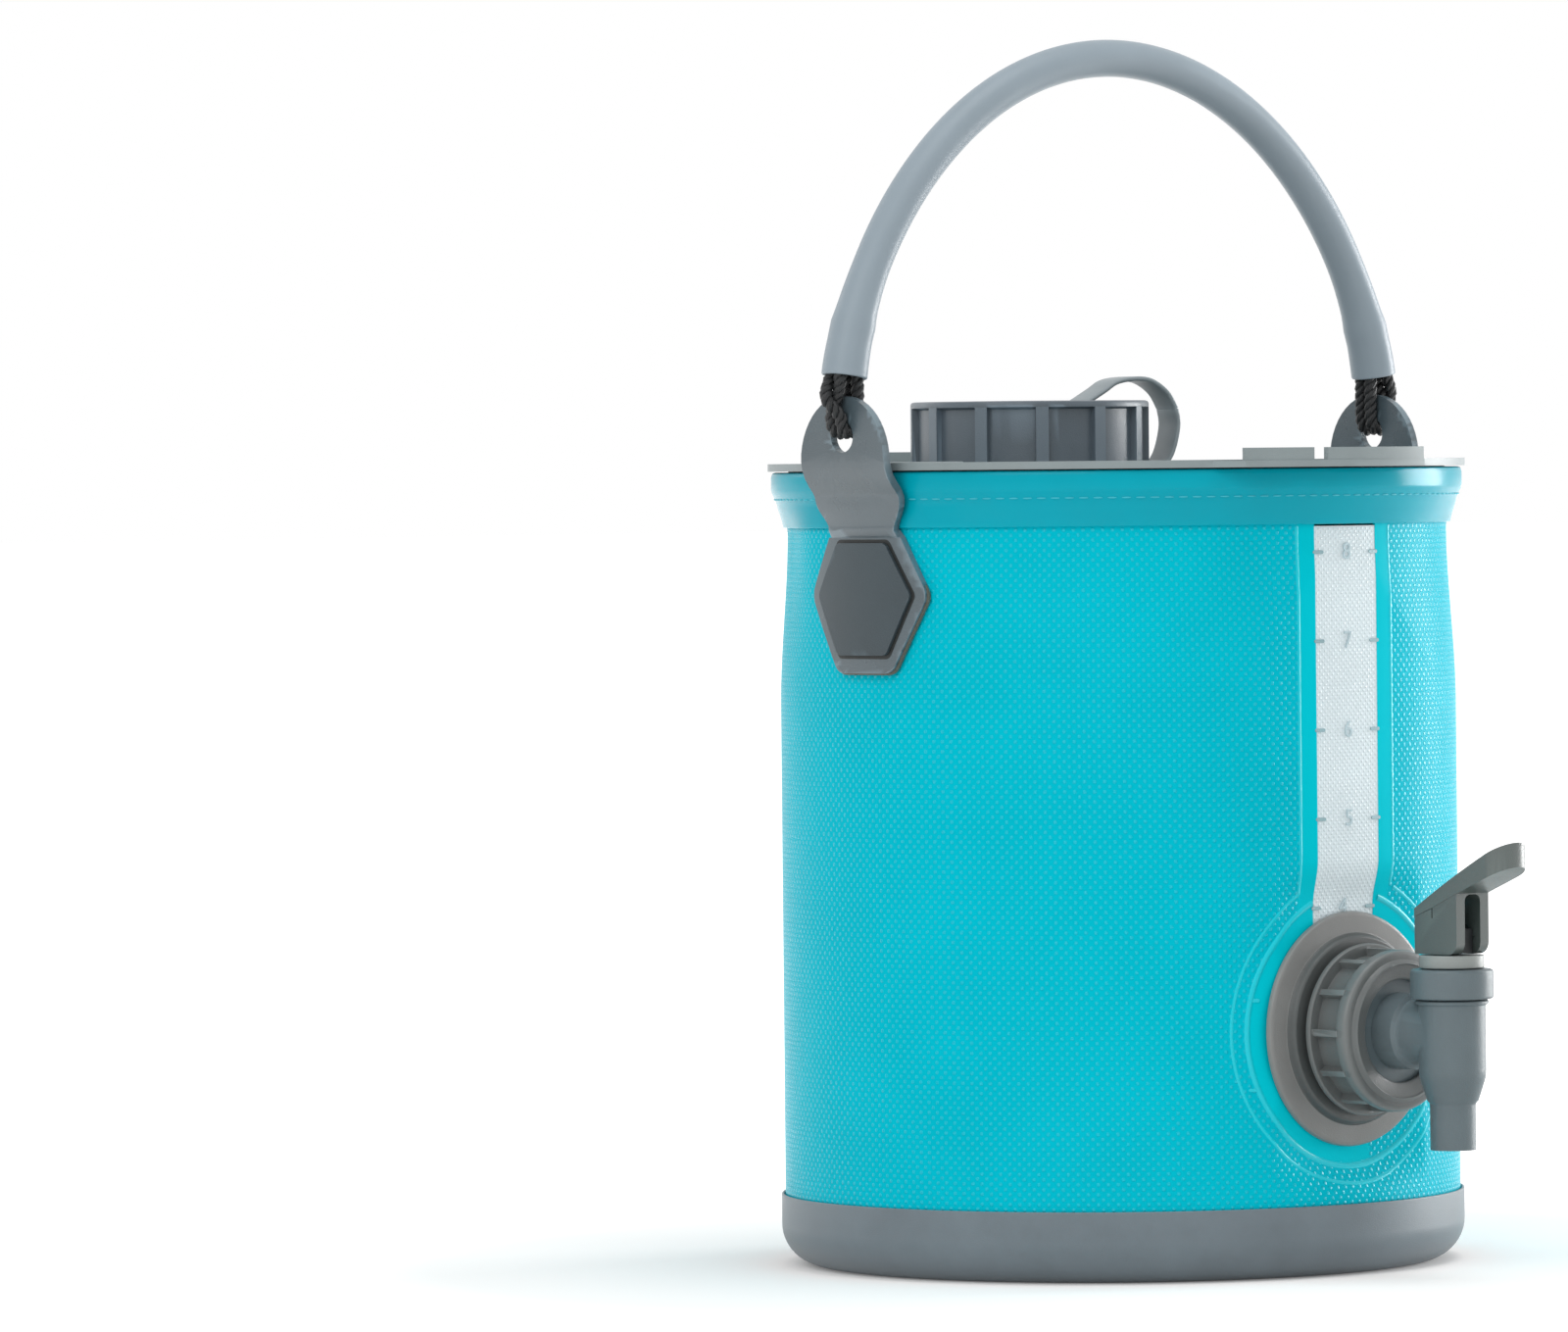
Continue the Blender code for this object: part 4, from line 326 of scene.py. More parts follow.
base_profile = [(0, BASE_FLOOR)]
base_profile += circle_points(
    (BASE_INNER_RADIUS - BASE_INNER_CORNER, BASE_FLOOR + BASE_INNER_CORNER), BASE_INNER_CORNER, -90, 0, 8
)
base_profile += [
    (BASE_INNER_RADIUS, BASE_LEDGE),
    (BASE_LIP_INNER_RADIUS, BASE_LEDGE),
    (BASE_LIP_INNER_RADIUS, BASE_HEIGHT),
    (BASE_RADIUS, BASE_HEIGHT),
    (BASE_RADIUS, BASE_CORNER),
]
base_profile += circle_points((BASE_RADIUS - BASE_CORNER, BASE_CORNER), BASE_CORNER, 0, -90, 14)[1:]
base_profile.append((0, 0))
fitted("base", spun(base_profile), "base", grey_plastic, "grey_plastic", ["base_cup"], edge=0.00035)


# Fabric wall

# The wall is one tube of teal coated fabric, embossed all over with staggered dots. Round the port and
# beside the window it is pressed smooth, and two welded rings run round the port. Above the port it folds
# as the rim comes down, so it is made in two heights that meet in one line.

WALL_RADIUS = 0.1072
WALL_THICKNESS = 0.0009
WALL_BOTTOM = 0.0143
WALL_TOP = 0.2438
WALL_COLUMNS = 432
LOWER_ROWS = 72
UPPER_ROWS = 76
HALF_TURN = math.pi * WALL_RADIUS
FOLD_HEIGHT = 0.1250
PORT_HEIGHT = 0.0766
PORT_HOLE = 0.0225
SEAT_DISTANCE = 0.1015
SEAT_FLAT = 0.0385
SEAT_FADE = 0.0530
WINDOW_MIDDLE = -0.0020
WINDOW_HALF = 0.0135
WINDOW_BORDER = 0.0068
WINDOW_BOTTOM = 0.1081
WINDOW_TOP = 0.2329
SLOT_INSET = 0.0001
SLOT_RAISED = 0.0010
RING_RADIUS = 0.0425
OUTER_RING_RADIUS = 0.0478
BORDER_LINE = WINDOW_HALF + WINDOW_BORDER
PORT_WELD = (0.0022, 0.00045)
OUTER_WELD = (0.0014, 0.00022)
BORDER_WELD = (0.0013, 0.00025)
WELD_SUNK = 0.00008
RING_STEPS = 144
BORDER_STEPS = 24
DOT_PITCH = 0.0031
DOT_FOOT = 0.15
DOT_CROWN = 0.85
DOTS_BESIDE_PORT = 0.0080
SINK_START = 0.2440
SINK = 0.0026
SINK_ONSET = 0.0120
SINK_LENGTH = 0.0550
STRIP_REACH = 0.0320
LUG_CLEAR = 0.28
SIDES = ((-1, "left"), (1, "right"))


def smoothstep(value):
    value = min(max(value, 0), 1)
    return value * value * (3 - 2 * value)


def sunk(around, height):
    """How far the soft wall draws in from its round shape: below the hem, and along the window strip."""
    from_lug = abs(abs(around / WALL_RADIUS) - math.pi / 2)
    below_hem = SINK_START - height
    neck = 1 - smoothstep((below_hem - SINK_ONSET) / SINK_LENGTH)
    strip = math.exp(-(((around - WINDOW_MIDDLE) / STRIP_REACH) ** 2))
    onset = smoothstep(below_hem / SINK_ONSET) * smoothstep((from_lug - LUG_CLEAR) / LUG_CLEAR)
    return SINK * onset * max(neck, strip * smoothstep((height - WALL_BOTTOM) / SINK_LENGTH))


def wall_point(around, height, proud=0.0):
    """A point on the wall's face: how far round from the tap, how high, and how far it stands proud."""
    angle = around / WALL_RADIUS
    radius = WALL_RADIUS - sunk(around, height)
    x = radius * math.sin(angle)
    y = -radius * math.cos(angle)
    outward = Vector((math.sin(angle), -math.cos(angle), 0))
    if y < -SEAT_DISTANCE:
        away = (x**4 + (height - PORT_HEIGHT) ** 4) ** 0.25
        pressed = 1 - smoothstep((away - SEAT_FLAT) / (SEAT_FADE - SEAT_FLAT))
        y += (-SEAT_DISTANCE - y) * pressed
        outward = (outward * (1 - pressed) + Vector((0, -1, 0)) * pressed).normalized()
    return Vector((x, y, height)) + outward * proud


def embossing(around, height):
    """1 where the fabric keeps its dots, also low beside the port, and 0 where it is pressed smooth."""
    ring = math.hypot(around, height - PORT_HEIGHT)
    if ring < RING_RADIUS and not (around > DOTS_BESIDE_PORT and height < PORT_HEIGHT):
        return 0.0
    if abs(around - WINDOW_MIDDLE) < BORDER_LINE and height > PORT_HEIGHT:
        return 0.0
    return 1.0


def in_window(around, height):
    return abs(around - WINDOW_MIDDLE) < WINDOW_HALF - SLOT_INSET and height > WINDOW_BOTTOM + SLOT_RAISED


def in_port_or_window(around, height):
    return math.hypot(around, height - PORT_HEIGHT) < PORT_HOLE or in_window(around, height)


def strip_of_wall(low, high, reach, columns, rows, proud=0.0, hole=None, middle=0.0):
    """A sheet lying on the wall, with its length round and its height as UV in metres."""
    shape = bmesh.new()
    uv = shape.loops.layers.uv.new("cloth")
    bmesh.ops.create_grid(shape, x_segments=columns, y_segments=rows, size=1)
    for side in (-WINDOW_HALF, WINDOW_HALF) if hole else ():
        edge = Vector(((WINDOW_MIDDLE + side) / reach, 0, 0))
        whole = shape.verts[:] + shape.edges[:] + shape.faces[:]
        bmesh.ops.bisect_plane(shape, geom=whole, plane_co=edge, plane_no=(1, 0, 0))
    shape.verts.index_update()
    flat = {}
    relief = shape.verts.layers.float.new("relief")
    for vert in shape.verts:
        around = middle + vert.co.x * reach
        height = low + (high - low) * (vert.co.y + 1) / 2
        flat[vert.index] = (around, height)
        vert[relief] = embossing(around, height)
        vert.co = wall_point(around, height, proud)
    for face in shape.faces:
        for loop in face.loops:
            loop[uv].uv = flat[loop.vert.index]
    if hole:
        inside = [v for v in shape.verts if hole(*flat[v.index])]
        bmesh.ops.delete(shape, geom=inside, context="VERTS")
        bmesh.ops.remove_doubles(shape, verts=shape.verts, dist=1e-5)
    shape.faces.ensure_lookup_table()
    if shape.faces[0].normal.dot(shape.faces[0].calc_center_median() * Vector((1, 1, 0))) < 0:
        bmesh.ops.reverse_faces(shape, faces=shape.faces)
    return shape


def cloth(name, colour, roughness, relief_depth, pitch=DOT_PITCH, gloss=0.03, dot_gloss=0.42, pressed=None):
    """Coated fabric: staggered dots on the cloth's own measure, glossier than the ground and painted a little
    paler as a painted glint.
    """
    finish, tree, shader = new_finish(name)
    place = add_node(tree, "UVMap", uv_map="cloth").outputs["UV"]
    parts = add_node(tree, "SeparateXYZ", {"Vector": place}).outputs
    turns = [worked_out(tree, "MULTIPLY", parts[axis], math.tau / pitch) for axis in "XY"]
    waves = [worked_out(tree, "COSINE", turn) for turn in turns]
    dots = ranged(tree, worked_out(tree, "MULTIPLY", *waves), DOT_FOOT, DOT_CROWN, curve="SMOOTHSTEP")
    kept = add_node(tree, "Attribute", attribute_name="relief").outputs["Fac"]
    raised = worked_out(tree, "MULTIPLY", dots, kept)
    cloud = noise(tree, place, 30.0, 4.0)
    tint = ramped(tree, cloud, (0.30, scaled(colour, 0.96)), (0.70, scaled(colour, 1.04)))
    ground = mixed(tree, kept, pressed or colour, tint)
    weave = bumped(tree, noise(tree, place, 1500.0, 2.0), 0.00005, 0.5)
    fill(tree, shader, {
        # The dots' colour is painted a little paler than the ground, as a painted glint.
        "Base Color": mixed(tree, raised, ground, scaled(colour, 1.01)),
        "Specular IOR Level": ranged(tree, raised, low=gloss, high=dot_gloss),
        "Normal": bumped(tree, raised, relief_depth, 1.0, {"Normal": weave}),
        "Roughness": ranged(tree, raised, low=roughness, high=roughness * 0.75),
    })
    return finish


def shape_of(holder):
    """The shape that an object has with its modifiers."""
    bpy.context.view_layer.update()
    made = bmesh.new()
    made.from_object(holder, bpy.context.evaluated_depsgraph_get())
    return made


def discard(holder):
    mesh = holder.data
    bpy.data.objects.remove(holder)
    bpy.data.meshes.remove(mesh)


def thickened(shape, depth):
    """A wall's thickness on its inner side."""
    holder = put_in("sheet", mesh_from("sheet", shape))
    step = holder.modifiers.new("thickness", "SOLIDIFY")
    step.thickness = depth
    step.offset = -1
    made = shape_of(holder)
    discard(holder)
    return made


def folds(piece):
    """Gives the piece a mesh of its own."""
    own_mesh(piece)


teal_fabric = cloth(
    "teal coated fabric", linear(0, 194, 214), 0.34, 0.00017, gloss=0.02, dot_gloss=0.30,
    pressed=linear(0, 205, 221),
)
plain_teal = cloth("smooth teal fabric", linear(12, 206, 222), 0.26, 0.0, gloss=0.3)

lower_wall = thickened(
    strip_of_wall(WALL_BOTTOM, FOLD_HEIGHT, HALF_TURN, WALL_COLUMNS, LOWER_ROWS, hole=in_port_or_window),
    WALL_THICKNESS,
)
lower = fitted("wall_below_fold", lower_wall, "base", teal_fabric, "teal_fabric", ["wall"], edge=0)
upper_wall = thickened(
    strip_of_wall(FOLD_HEIGHT, WALL_TOP, HALF_TURN, WALL_COLUMNS, UPPER_ROWS, hole=in_window), WALL_THICKNESS
)
upper = fitted("wall_above_fold", upper_wall, "base", teal_fabric, "teal_fabric", edge=0)
folds(upper)


def welded_line(name, path, width, rise):
    """A low rounded bead along a path of places on the wall, as a weld leaves it."""
    shape = bmesh.new()
    uv = shape.loops.layers.uv.new("cloth")
    rings = []
    for i, (around, height) in enumerate(path):
        along = (Vector(path[min(i + 1, len(path) - 1)]) - Vector(path[max(i - 1, 0)])).normalized()
        across = Vector((-along.y, along.x))
        ring = []
        for share in (-1, -0.72, -0.35, 0, 0.35, 0.72, 1):
            spot = Vector((around, height)) + across * (share * width / 2)
            ring.append(shape.verts.new(wall_point(spot.x, spot.y, rise * (1 - share * share) - WELD_SUNK)))
        rings.append(ring)
    for first, second in zip(rings, rings[1:]):
        for j in range(len(first) - 1):
            face = shape.faces.new((first[j], second[j], second[j + 1], first[j + 1]))
            for loop in face.loops:
                loop[uv].uv = (loop.vert.co.x, loop.vert.co.z)
    bmesh.ops.recalc_face_normals(shape, faces=shape.faces)
    shape.faces.ensure_lookup_table()
    if shape.faces[0].normal.y > 0:
        bmesh.ops.reverse_faces(shape, faces=shape.faces)
    return fitted(name, shape, "base", plain_teal, "teal_fabric", edge=0)


def weld_round_port(name, radius, reach, width, rise):
    """A ring round the port that starts and ends at the same distance beside the window's middle."""
    start = math.degrees(math.acos((WINDOW_MIDDLE - reach) / radius))
    end = 360 + math.degrees(math.acos((WINDOW_MIDDLE + reach) / radius))
    welded_line(name, circle_points((0, PORT_HEIGHT), radius, start, end, RING_STEPS)[:-1], width, rise)


weld_round_port("port_weld", RING_RADIUS, WINDOW_HALF + EDGE, *PORT_WELD)
weld_round_port("outer_port_weld", OUTER_RING_RADIUS, BORDER_LINE, *OUTER_WELD)

for side, name in SIDES:
    aside = WINDOW_MIDDLE + side * BORDER_LINE
    ring_end = PORT_HEIGHT + math.sqrt(OUTER_RING_RADIUS**2 - aside**2)
    for low, high, end in ((FOLD_HEIGHT, WINDOW_TOP, "above"), (ring_end, FOLD_HEIGHT, "below")):
        line = [(aside, low + (high - low) * i / BORDER_STEPS) for i in range(BORDER_STEPS + 1)]
        border = welded_line(f"window_border_{name}_{end}", line, *BORDER_WELD)
        if end == "above":
            folds(border)


# Window strip and its marks

# A clear strip, frosted on its face, is welded into the wall. The litre marks are moulded on it: two short
# ticks at each litre with the number between them, and ticks beside the port for the lower litres.

FILM_LAP = 0.0004
FILM_SUNK = 0.00015
FILM_THICKNESS = 0.0006
FILM_COLUMNS = 24
FILM_ROWS = 60
FILM_DOT_PITCH = 0.0021
LITRE_HEIGHT = 0.0276
EIGHT_LITRES = 0.2248
TICK_LENGTH = 0.0042
TICK_WIDTH = 0.0011
TICK_RISE = 0.00022
TICK_LAP = 0.0007
PORT_TICK_DISTANCE = 0.0402
NUMBER_HEIGHT = 0.0052
NUMBER_TYPE_SHARE = 1.42
NUMBER_HALF_RISE = 0.00010
NUMBER_PROUD = 0.00012

window_film = cloth(
    "clear film", linear(226, 240, 245), 0.34, 0.00014, pitch=FILM_DOT_PITCH, gloss=0.2, dot_gloss=0.5
)
window_film.node_tree.nodes["Principled BSDF"].inputs["Transmission Weight"].default_value = 0.05

for low, high, end in ((FOLD_HEIGHT, WINDOW_TOP, "above"), (WINDOW_BOTTOM, FOLD_HEIGHT, "below")):
    strip = strip_of_wall(
        low, high, WINDOW_HALF + FILM_LAP, FILM_COLUMNS, FILM_ROWS, proud=-FILM_SUNK, middle=WINDOW_MIDDLE
    )
    reliefs = strip.verts.layers.float["relief"]
    for vert in strip.verts:
        vert[reliefs] = 1.0
    film = fitted(
        f"window_{end}", thickened(strip, FILM_THICKNESS), "base", window_film, "clear_film",
        ["window"] if end == "above" else (), edge=0,
    )
    if end == "above":
        folds(film)

# The clear ticks and numbers are coloured darker than the film, as painted shade of their raised edges.
tick_painted_shade = moulded("tick grey in painted shade", linear(136, 172, 180), 0.35, edge_wear_and_highlight=0.0, gloss=0.8)
number_painted_shade = moulded("raised clear number in painted shade", linear(178, 202, 210), 0.30, edge_wear_and_highlight=0.0, gloss=0.9)


def on_wall(shape, around, height, proud):
    """Puts a flat shape, drawn in X and Y, at its place on the wall and bends it round."""
    for vert in shape.verts:
        vert.co = wall_point(around + vert.co.x, height + vert.co.y, proud + vert.co.z)
    bmesh.ops.recalc_face_normals(shape, faces=shape.faces)
    return shape


def slab(outline, low, high):
    """An outline in X and Y given a thickness in Z."""
    shape = bmesh.new()
    shape.faces.new([shape.verts.new((x, y, low)) for x, y in outline])
    raised = bmesh.ops.extrude_face_region(shape, geom=shape.faces[:])
    lifted = [v for v in raised["geom"] if isinstance(v, bmesh.types.BMVert)]
    bmesh.ops.translate(shape, vec=(0, 0, high - low), verts=lifted)
    bmesh.ops.recalc_face_normals(shape, faces=shape.faces)
    return shape


def obround(length, width, steps=8):
    half = (length - width) / 2
    right = circle_points((half, 0), width / 2, -90, 90, steps)
    return right + circle_points((-half, 0), width / 2, 90, 270, steps)


def number_shape(litre):
    """A plain figure in the built-in typeface, as a flat solid."""
    text = bpy.data.curves.new("number", "FONT")
    text.body = str(litre)
    text.size = NUMBER_HEIGHT * NUMBER_TYPE_SHARE
    text.align_x = "CENTER"
    text.align_y = "CENTER"
    text.extrude = NUMBER_HALF_RISE
    text.resolution_u = 4
    holder = put_in("number", text)
    bpy.context.view_layer.update()
    outline = bpy.data.meshes.new_from_object(holder.evaluated_get(bpy.context.evaluated_depsgraph_get()))
    figure = bmesh.new()
    figure.from_mesh(outline)
    bpy.data.objects.remove(holder)
    bpy.data.meshes.remove(outline)
    bmesh.ops.remove_doubles(figure, verts=figure.verts, dist=1e-7)
    return figure


for litre in (8, 7, 6, 5, 4, 3, 2):
    height = EIGHT_LITRES - (8 - litre) * LITRE_HEIGHT
    beside_port = litre < 4
    distance = PORT_TICK_DISTANCE if beside_port else WINDOW_HALF - TICK_LENGTH / 2 + TICK_LAP
    centre = 0.0 if beside_port else WINDOW_MIDDLE
    marks = []
    for side, name in SIDES:
        tick = slab(obround(TICK_LENGTH, TICK_WIDTH, 6), 0, TICK_RISE)
        bent = on_wall(tick, centre + side * distance, height, 0)
        finish, slot = (plain_teal, "teal_fabric") if beside_port else (tick_painted_shade, "clear_film")
        marks.append(fitted(f"tick_{litre}_{name}", bent, "base", finish, slot, edge=0.00005))
    if not beside_port:
        bent = on_wall(number_shape(litre), WINDOW_MIDDLE, height, NUMBER_PROUD)
        marks.append(fitted(f"number_{litre}", bent, "base", number_painted_shade, "clear_film", edge=0))
    if height > FOLD_HEIGHT:
        for mark in marks:
            folds(mark)


# Hem

# A smooth teal tape is folded over the rim and the hoop inside it, and stitched through below the roll. The
# stitches are pale thread that lies on the tape.

RIM_HEIGHT = 0.2510
HEM_BOTTOM = 0.2335
HEM_LEG_RADIUS = 0.1084
HEM_LEG_ROWS = (0.2398, 0.2377, 0.2356)
HEM_BULGE_RADIUS = 0.1097
HEM_TAPER_TOP = 0.2438
HEM_TAPER_BOTTOM = 0.2418
HEM_BACK_RADIUS = 0.1060
HEM_INNER_RADIUS = 0.1051
HEM_INNER_BOTTOM = 0.2400
HEM_THICKNESS = 0.0009
HEM_ROUND = 0.0016
HEM_ROUND_DEPTH = 0.0004
HEM_INNER_ROUND = 0.0007
HOOP_CAVITY_TOP = 0.2501
STITCH_HEIGHT = 0.2424
STITCH_PITCH = 0.0044
STITCH_LENGTH = 0.0030
STITCH_RADIUS = 0.00028
STITCH_PROUD = 0.0003

hem_tape = moulded(
    "teal hem tape", linear(0, 168, 188), 0.20, mottle=0.03, grain=0.00003, edge_wear_and_highlight=0.3, gloss=0.10
)
hem_profile = [
    (HEM_BULGE_RADIUS - 0.0014, RIM_HEIGHT),
    (HEM_BULGE_RADIUS - HEM_ROUND_DEPTH, RIM_HEIGHT - 0.0003),
    (HEM_BULGE_RADIUS, RIM_HEIGHT - HEM_ROUND),
    (HEM_BULGE_RADIUS, HEM_TAPER_TOP + HEM_ROUND),
    (HEM_BULGE_RADIUS - HEM_ROUND_DEPTH, HEM_TAPER_TOP + 0.0002),
    (HEM_LEG_RADIUS, HEM_TAPER_BOTTOM),
    *[(HEM_LEG_RADIUS, height) for height in HEM_LEG_ROWS],
    (HEM_LEG_RADIUS, HEM_BOTTOM),
    (HEM_LEG_RADIUS - HEM_THICKNESS, HEM_BOTTOM),
    (HEM_LEG_RADIUS - HEM_THICKNESS, HEM_LEG_ROWS[1]),
    (HEM_LEG_RADIUS - HEM_THICKNESS, HEM_TAPER_BOTTOM),
    (HEM_BULGE_RADIUS - HEM_THICKNESS, HEM_TAPER_TOP),
    (HEM_BULGE_RADIUS - HEM_THICKNESS, HOOP_CAVITY_TOP),
    (HEM_BACK_RADIUS, HOOP_CAVITY_TOP),
    (HEM_BACK_RADIUS, HEM_INNER_BOTTOM),
    (HEM_INNER_RADIUS, HEM_INNER_BOTTOM),
    (HEM_INNER_RADIUS, RIM_HEIGHT - HEM_INNER_ROUND),
    (HEM_INNER_RADIUS + HEM_INNER_ROUND, RIM_HEIGHT),
]


def drawn_in(shape):
    """Moves a turned shape inward with the wall below it."""
    for vert in shape.verts:
        around = WALL_RADIUS * math.atan2(vert.co.x, -vert.co.y)
        share = 1 - sunk(around, vert.co.z) / math.hypot(vert.co.x, vert.co.y)
        vert.co.x *= share
        vert.co.y *= share
    return shape


def dress(node, finish):
    """Gives a finish to a CAD solid that shows as it is."""
    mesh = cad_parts[node].data
    mesh.materials.clear()
    mesh.materials.append(finish)


hem_shape = drawn_in(spun(hem_profile, closed=True))
fitted("hem", hem_shape, "rim", hem_tape, "teal_band", ["hem_band"], edge=0.00022)

thread = moulded("pale thread", linear(60, 190, 206), 0.6, mottle=0.05, edge_wear_and_highlight=0.0)
stitch_shape = bmesh.new()
stitches = round(math.tau * HEM_LEG_RADIUS / STITCH_PITCH)
laid_flat = Matrix.Rotation(math.radians(90), 3, "X")
for i in range(stitches):
    made = bmesh.ops.create_uvsphere(stitch_shape, u_segments=6, v_segments=5, radius=STITCH_RADIUS)["verts"]
    turned = Matrix.Rotation(math.tau * i / stitches, 3, "Z")
    bmesh.ops.scale(stitch_shape, vec=(1, 1, STITCH_LENGTH / 2 / STITCH_RADIUS), verts=made)
    bmesh.ops.rotate(stitch_shape, cent=(0, 0, 0), matrix=laid_flat, verts=made)
    bmesh.ops.translate(stitch_shape, vec=(HEM_LEG_RADIUS + STITCH_PROUD, 0, STITCH_HEIGHT), verts=made)
    bmesh.ops.rotate(stitch_shape, cent=(0, 0, 0), matrix=turned, verts=made)
fitted("hem_stitches", drawn_in(stitch_shape), "rim", thread, "teal_band", edge=0)

dress("rim_hoop", moulded("hoop plastic", linear(70, 78, 84), 0.5))


# Lugs and their pads

# Each lug is a plate of tough flexible plastic, bent in an S: a hexagonal foot lies on the wall, the waist
# steps over the hem, and a rounded tab with a hole stands up and out. A thin pad is set on the foot, and a
# near-black layer round the pad is painted shade in its groove.

LUG_THICKNESS = 0.0026
LUG_INNER_RADIUS = 0.1075
LUG_TAB_RADIUS = 0.1168
LUG_HEM_STEP = 0.0018
LUG_HOLE_HEIGHT = 0.2620
LUG_HOLE_RADIUS = 0.0050
LUG_LOW = RIM_HEIGHT - 0.0626
LUG_WIDEST = RIM_HEIGHT - 0.0384
LUG_WAIST = RIM_HEIGHT - 0.0178
LUG_SHOULDER = RIM_HEIGHT - 0.0085
LUG_CURVE = RIM_HEIGHT + 0.0030
LUG_UPRIGHT = RIM_HEIGHT + 0.0050
LUG_TOP = RIM_HEIGHT + 0.0235
LUG_LOW_HALF = 0.0120
LUG_WIDEST_HALF = 0.0260
LUG_WAIST_HALF = 0.0145
LUG_TAB_HALF = 0.0190
LUG_CREASE = 0.0016
LUG_CREASE_HEIGHT = 0.2450
LUG_CREASE_REACH = 0.0036
LUG_GRID = 0.0022
SLOPE_STEP = 0.0004
FOOT_GROWTH = 0.0005
FOOT_BACKING = 0.0012
PAD_RISE = 0.0012
PAD_GROOVE = 0.0011
NARROW_GROWTH = 0.6
WIDE_GROWTH = 1.1
LUG_FOOT = (LUG_LOW_HALF, LUG_WIDEST_HALF, LUG_LOW, LUG_WAIST - 0.0016, 0.0050)
PAD_FOOT = (0.0106, 0.0204, LUG_LOW + 0.0056, HEM_BOTTOM - LUG_HEM_STEP - 0.0028, 0.0026)


def lug_radius(height):
    hem_radius = HEM_LEG_RADIUS + EDGE
    step_bottom = HEM_BOTTOM - LUG_HEM_STEP
    step_top = HEM_BOTTOM - EDGE
    if height <= step_top:
        stepped = smoothstep((height - step_bottom) / (step_top - step_bottom))
        return LUG_INNER_RADIUS + (hem_radius + 0.0001 - LUG_INNER_RADIUS) * stepped
    tab = LUG_TAB_RADIUS - LUG_THICKNESS / 2
    plain = hem_radius + (tab - hem_radius) * smoothstep((height - step_top) / (LUG_UPRIGHT - step_top))
    return plain - LUG_CREASE * math.exp(-(((height - LUG_CREASE_HEIGHT) / LUG_CREASE_REACH) ** 2))


def bent_to_lug(across, height, depth, side):
    """A place on a lug: distance across it, height, and depth out from its inner face."""
    radius = lug_radius(height)
    curl = 1 - smoothstep((height - HEM_BOTTOM) / (RIM_HEIGHT - HEM_BOTTOM))
    slope = (lug_radius(height + SLOPE_STEP) - lug_radius(height - SLOPE_STEP)) / (2 * SLOPE_STEP)
    tilt = math.atan(slope)
    reach = radius + depth * math.cos(tilt)
    lifted = height - depth * math.sin(tilt)
    bent = Vector((reach * math.cos(across / radius), reach * math.sin(across / radius), lifted))
    straight = Vector((reach, across, lifted))
    return Matrix.Rotation(side, 3, "Z") @ (bent * curl + straight * (1 - curl))


def eased_polygon(corners, radii, steps=6):
    """A closed outline with each corner rounded."""
    points = []
    count = len(corners)
    for i, (corner, radius) in enumerate(zip(corners, radii)):
        here = Vector(corner)
        if not radius:
            points.append(tuple(here))
            continue
        back = (Vector(corners[i - 1]) - here).normalized()
        on = (Vector(corners[(i + 1) % count]) - here).normalized()
        half = back.angle(on) / 2
        centre = here + (back + on).normalized() * (radius / math.sin(half))
        first = here + back * (radius / math.tan(half)) - centre
        sweep = first.angle_signed(here + on * (radius / math.tan(half)) - centre)
        for step in range(steps + 1):
            angle = -sweep * step / steps
            points.append(tuple(centre + Vector((
                first.x * math.cos(angle) - first.y * math.sin(angle),
                first.x * math.sin(angle) + first.y * math.cos(angle),
            ))))
    return points


def lug_outline():
    """Half of the plate from its foot to its top, and the same mirrored."""
    half_foot = [(LUG_LOW_HALF, LUG_LOW), (LUG_WIDEST_HALF, LUG_WIDEST), (LUG_WAIST_HALF, LUG_WAIST)]
    foot = eased_polygon(
        [(-LUG_LOW_HALF, LUG_LOW), *half_foot, (-LUG_WAIST_HALF, LUG_WAIST), (-LUG_WIDEST_HALF, LUG_WIDEST)],
        [0.0050, 0.0050, 0.0060, 0.0, 0.0, 0.0060],
    )
    right = [p for p in foot if p[0] > 0]
    right.sort(key=lambda p: p[1])
    for i in range(1, 9):
        share = i / 8
        width = LUG_WAIST_HALF + (LUG_TAB_HALF - LUG_WAIST_HALF) * smoothstep(share)
        right.append((width, LUG_WAIST + (LUG_SHOULDER - LUG_WAIST) * share))
    right.append((LUG_TAB_HALF, LUG_CURVE))
    for i in range(1, 13):
        angle = math.radians(90 * i / 12)
        right.append((LUG_TAB_HALF * math.cos(angle), LUG_CURVE + (LUG_TOP - LUG_CURVE) * math.sin(angle)))
    right[-1] = (0, LUG_TOP)
    return right + [(-x, z) for x, z in reversed(right[:-1])]


def hexagon(growth, short, wide, low, high, corner):
    """A hexagonal outline with rounded corners, grown on every side."""
    short, wide = short + growth * NARROW_GROWTH, wide + growth * WIDE_GROWTH
    low, high = low - growth, high + growth
    return eased_polygon(
        [(-short, low), (short, low), (wide, LUG_WIDEST), (short, high), (-short, high), (-wide, LUG_WIDEST)],
        [corner] * 6,
    )


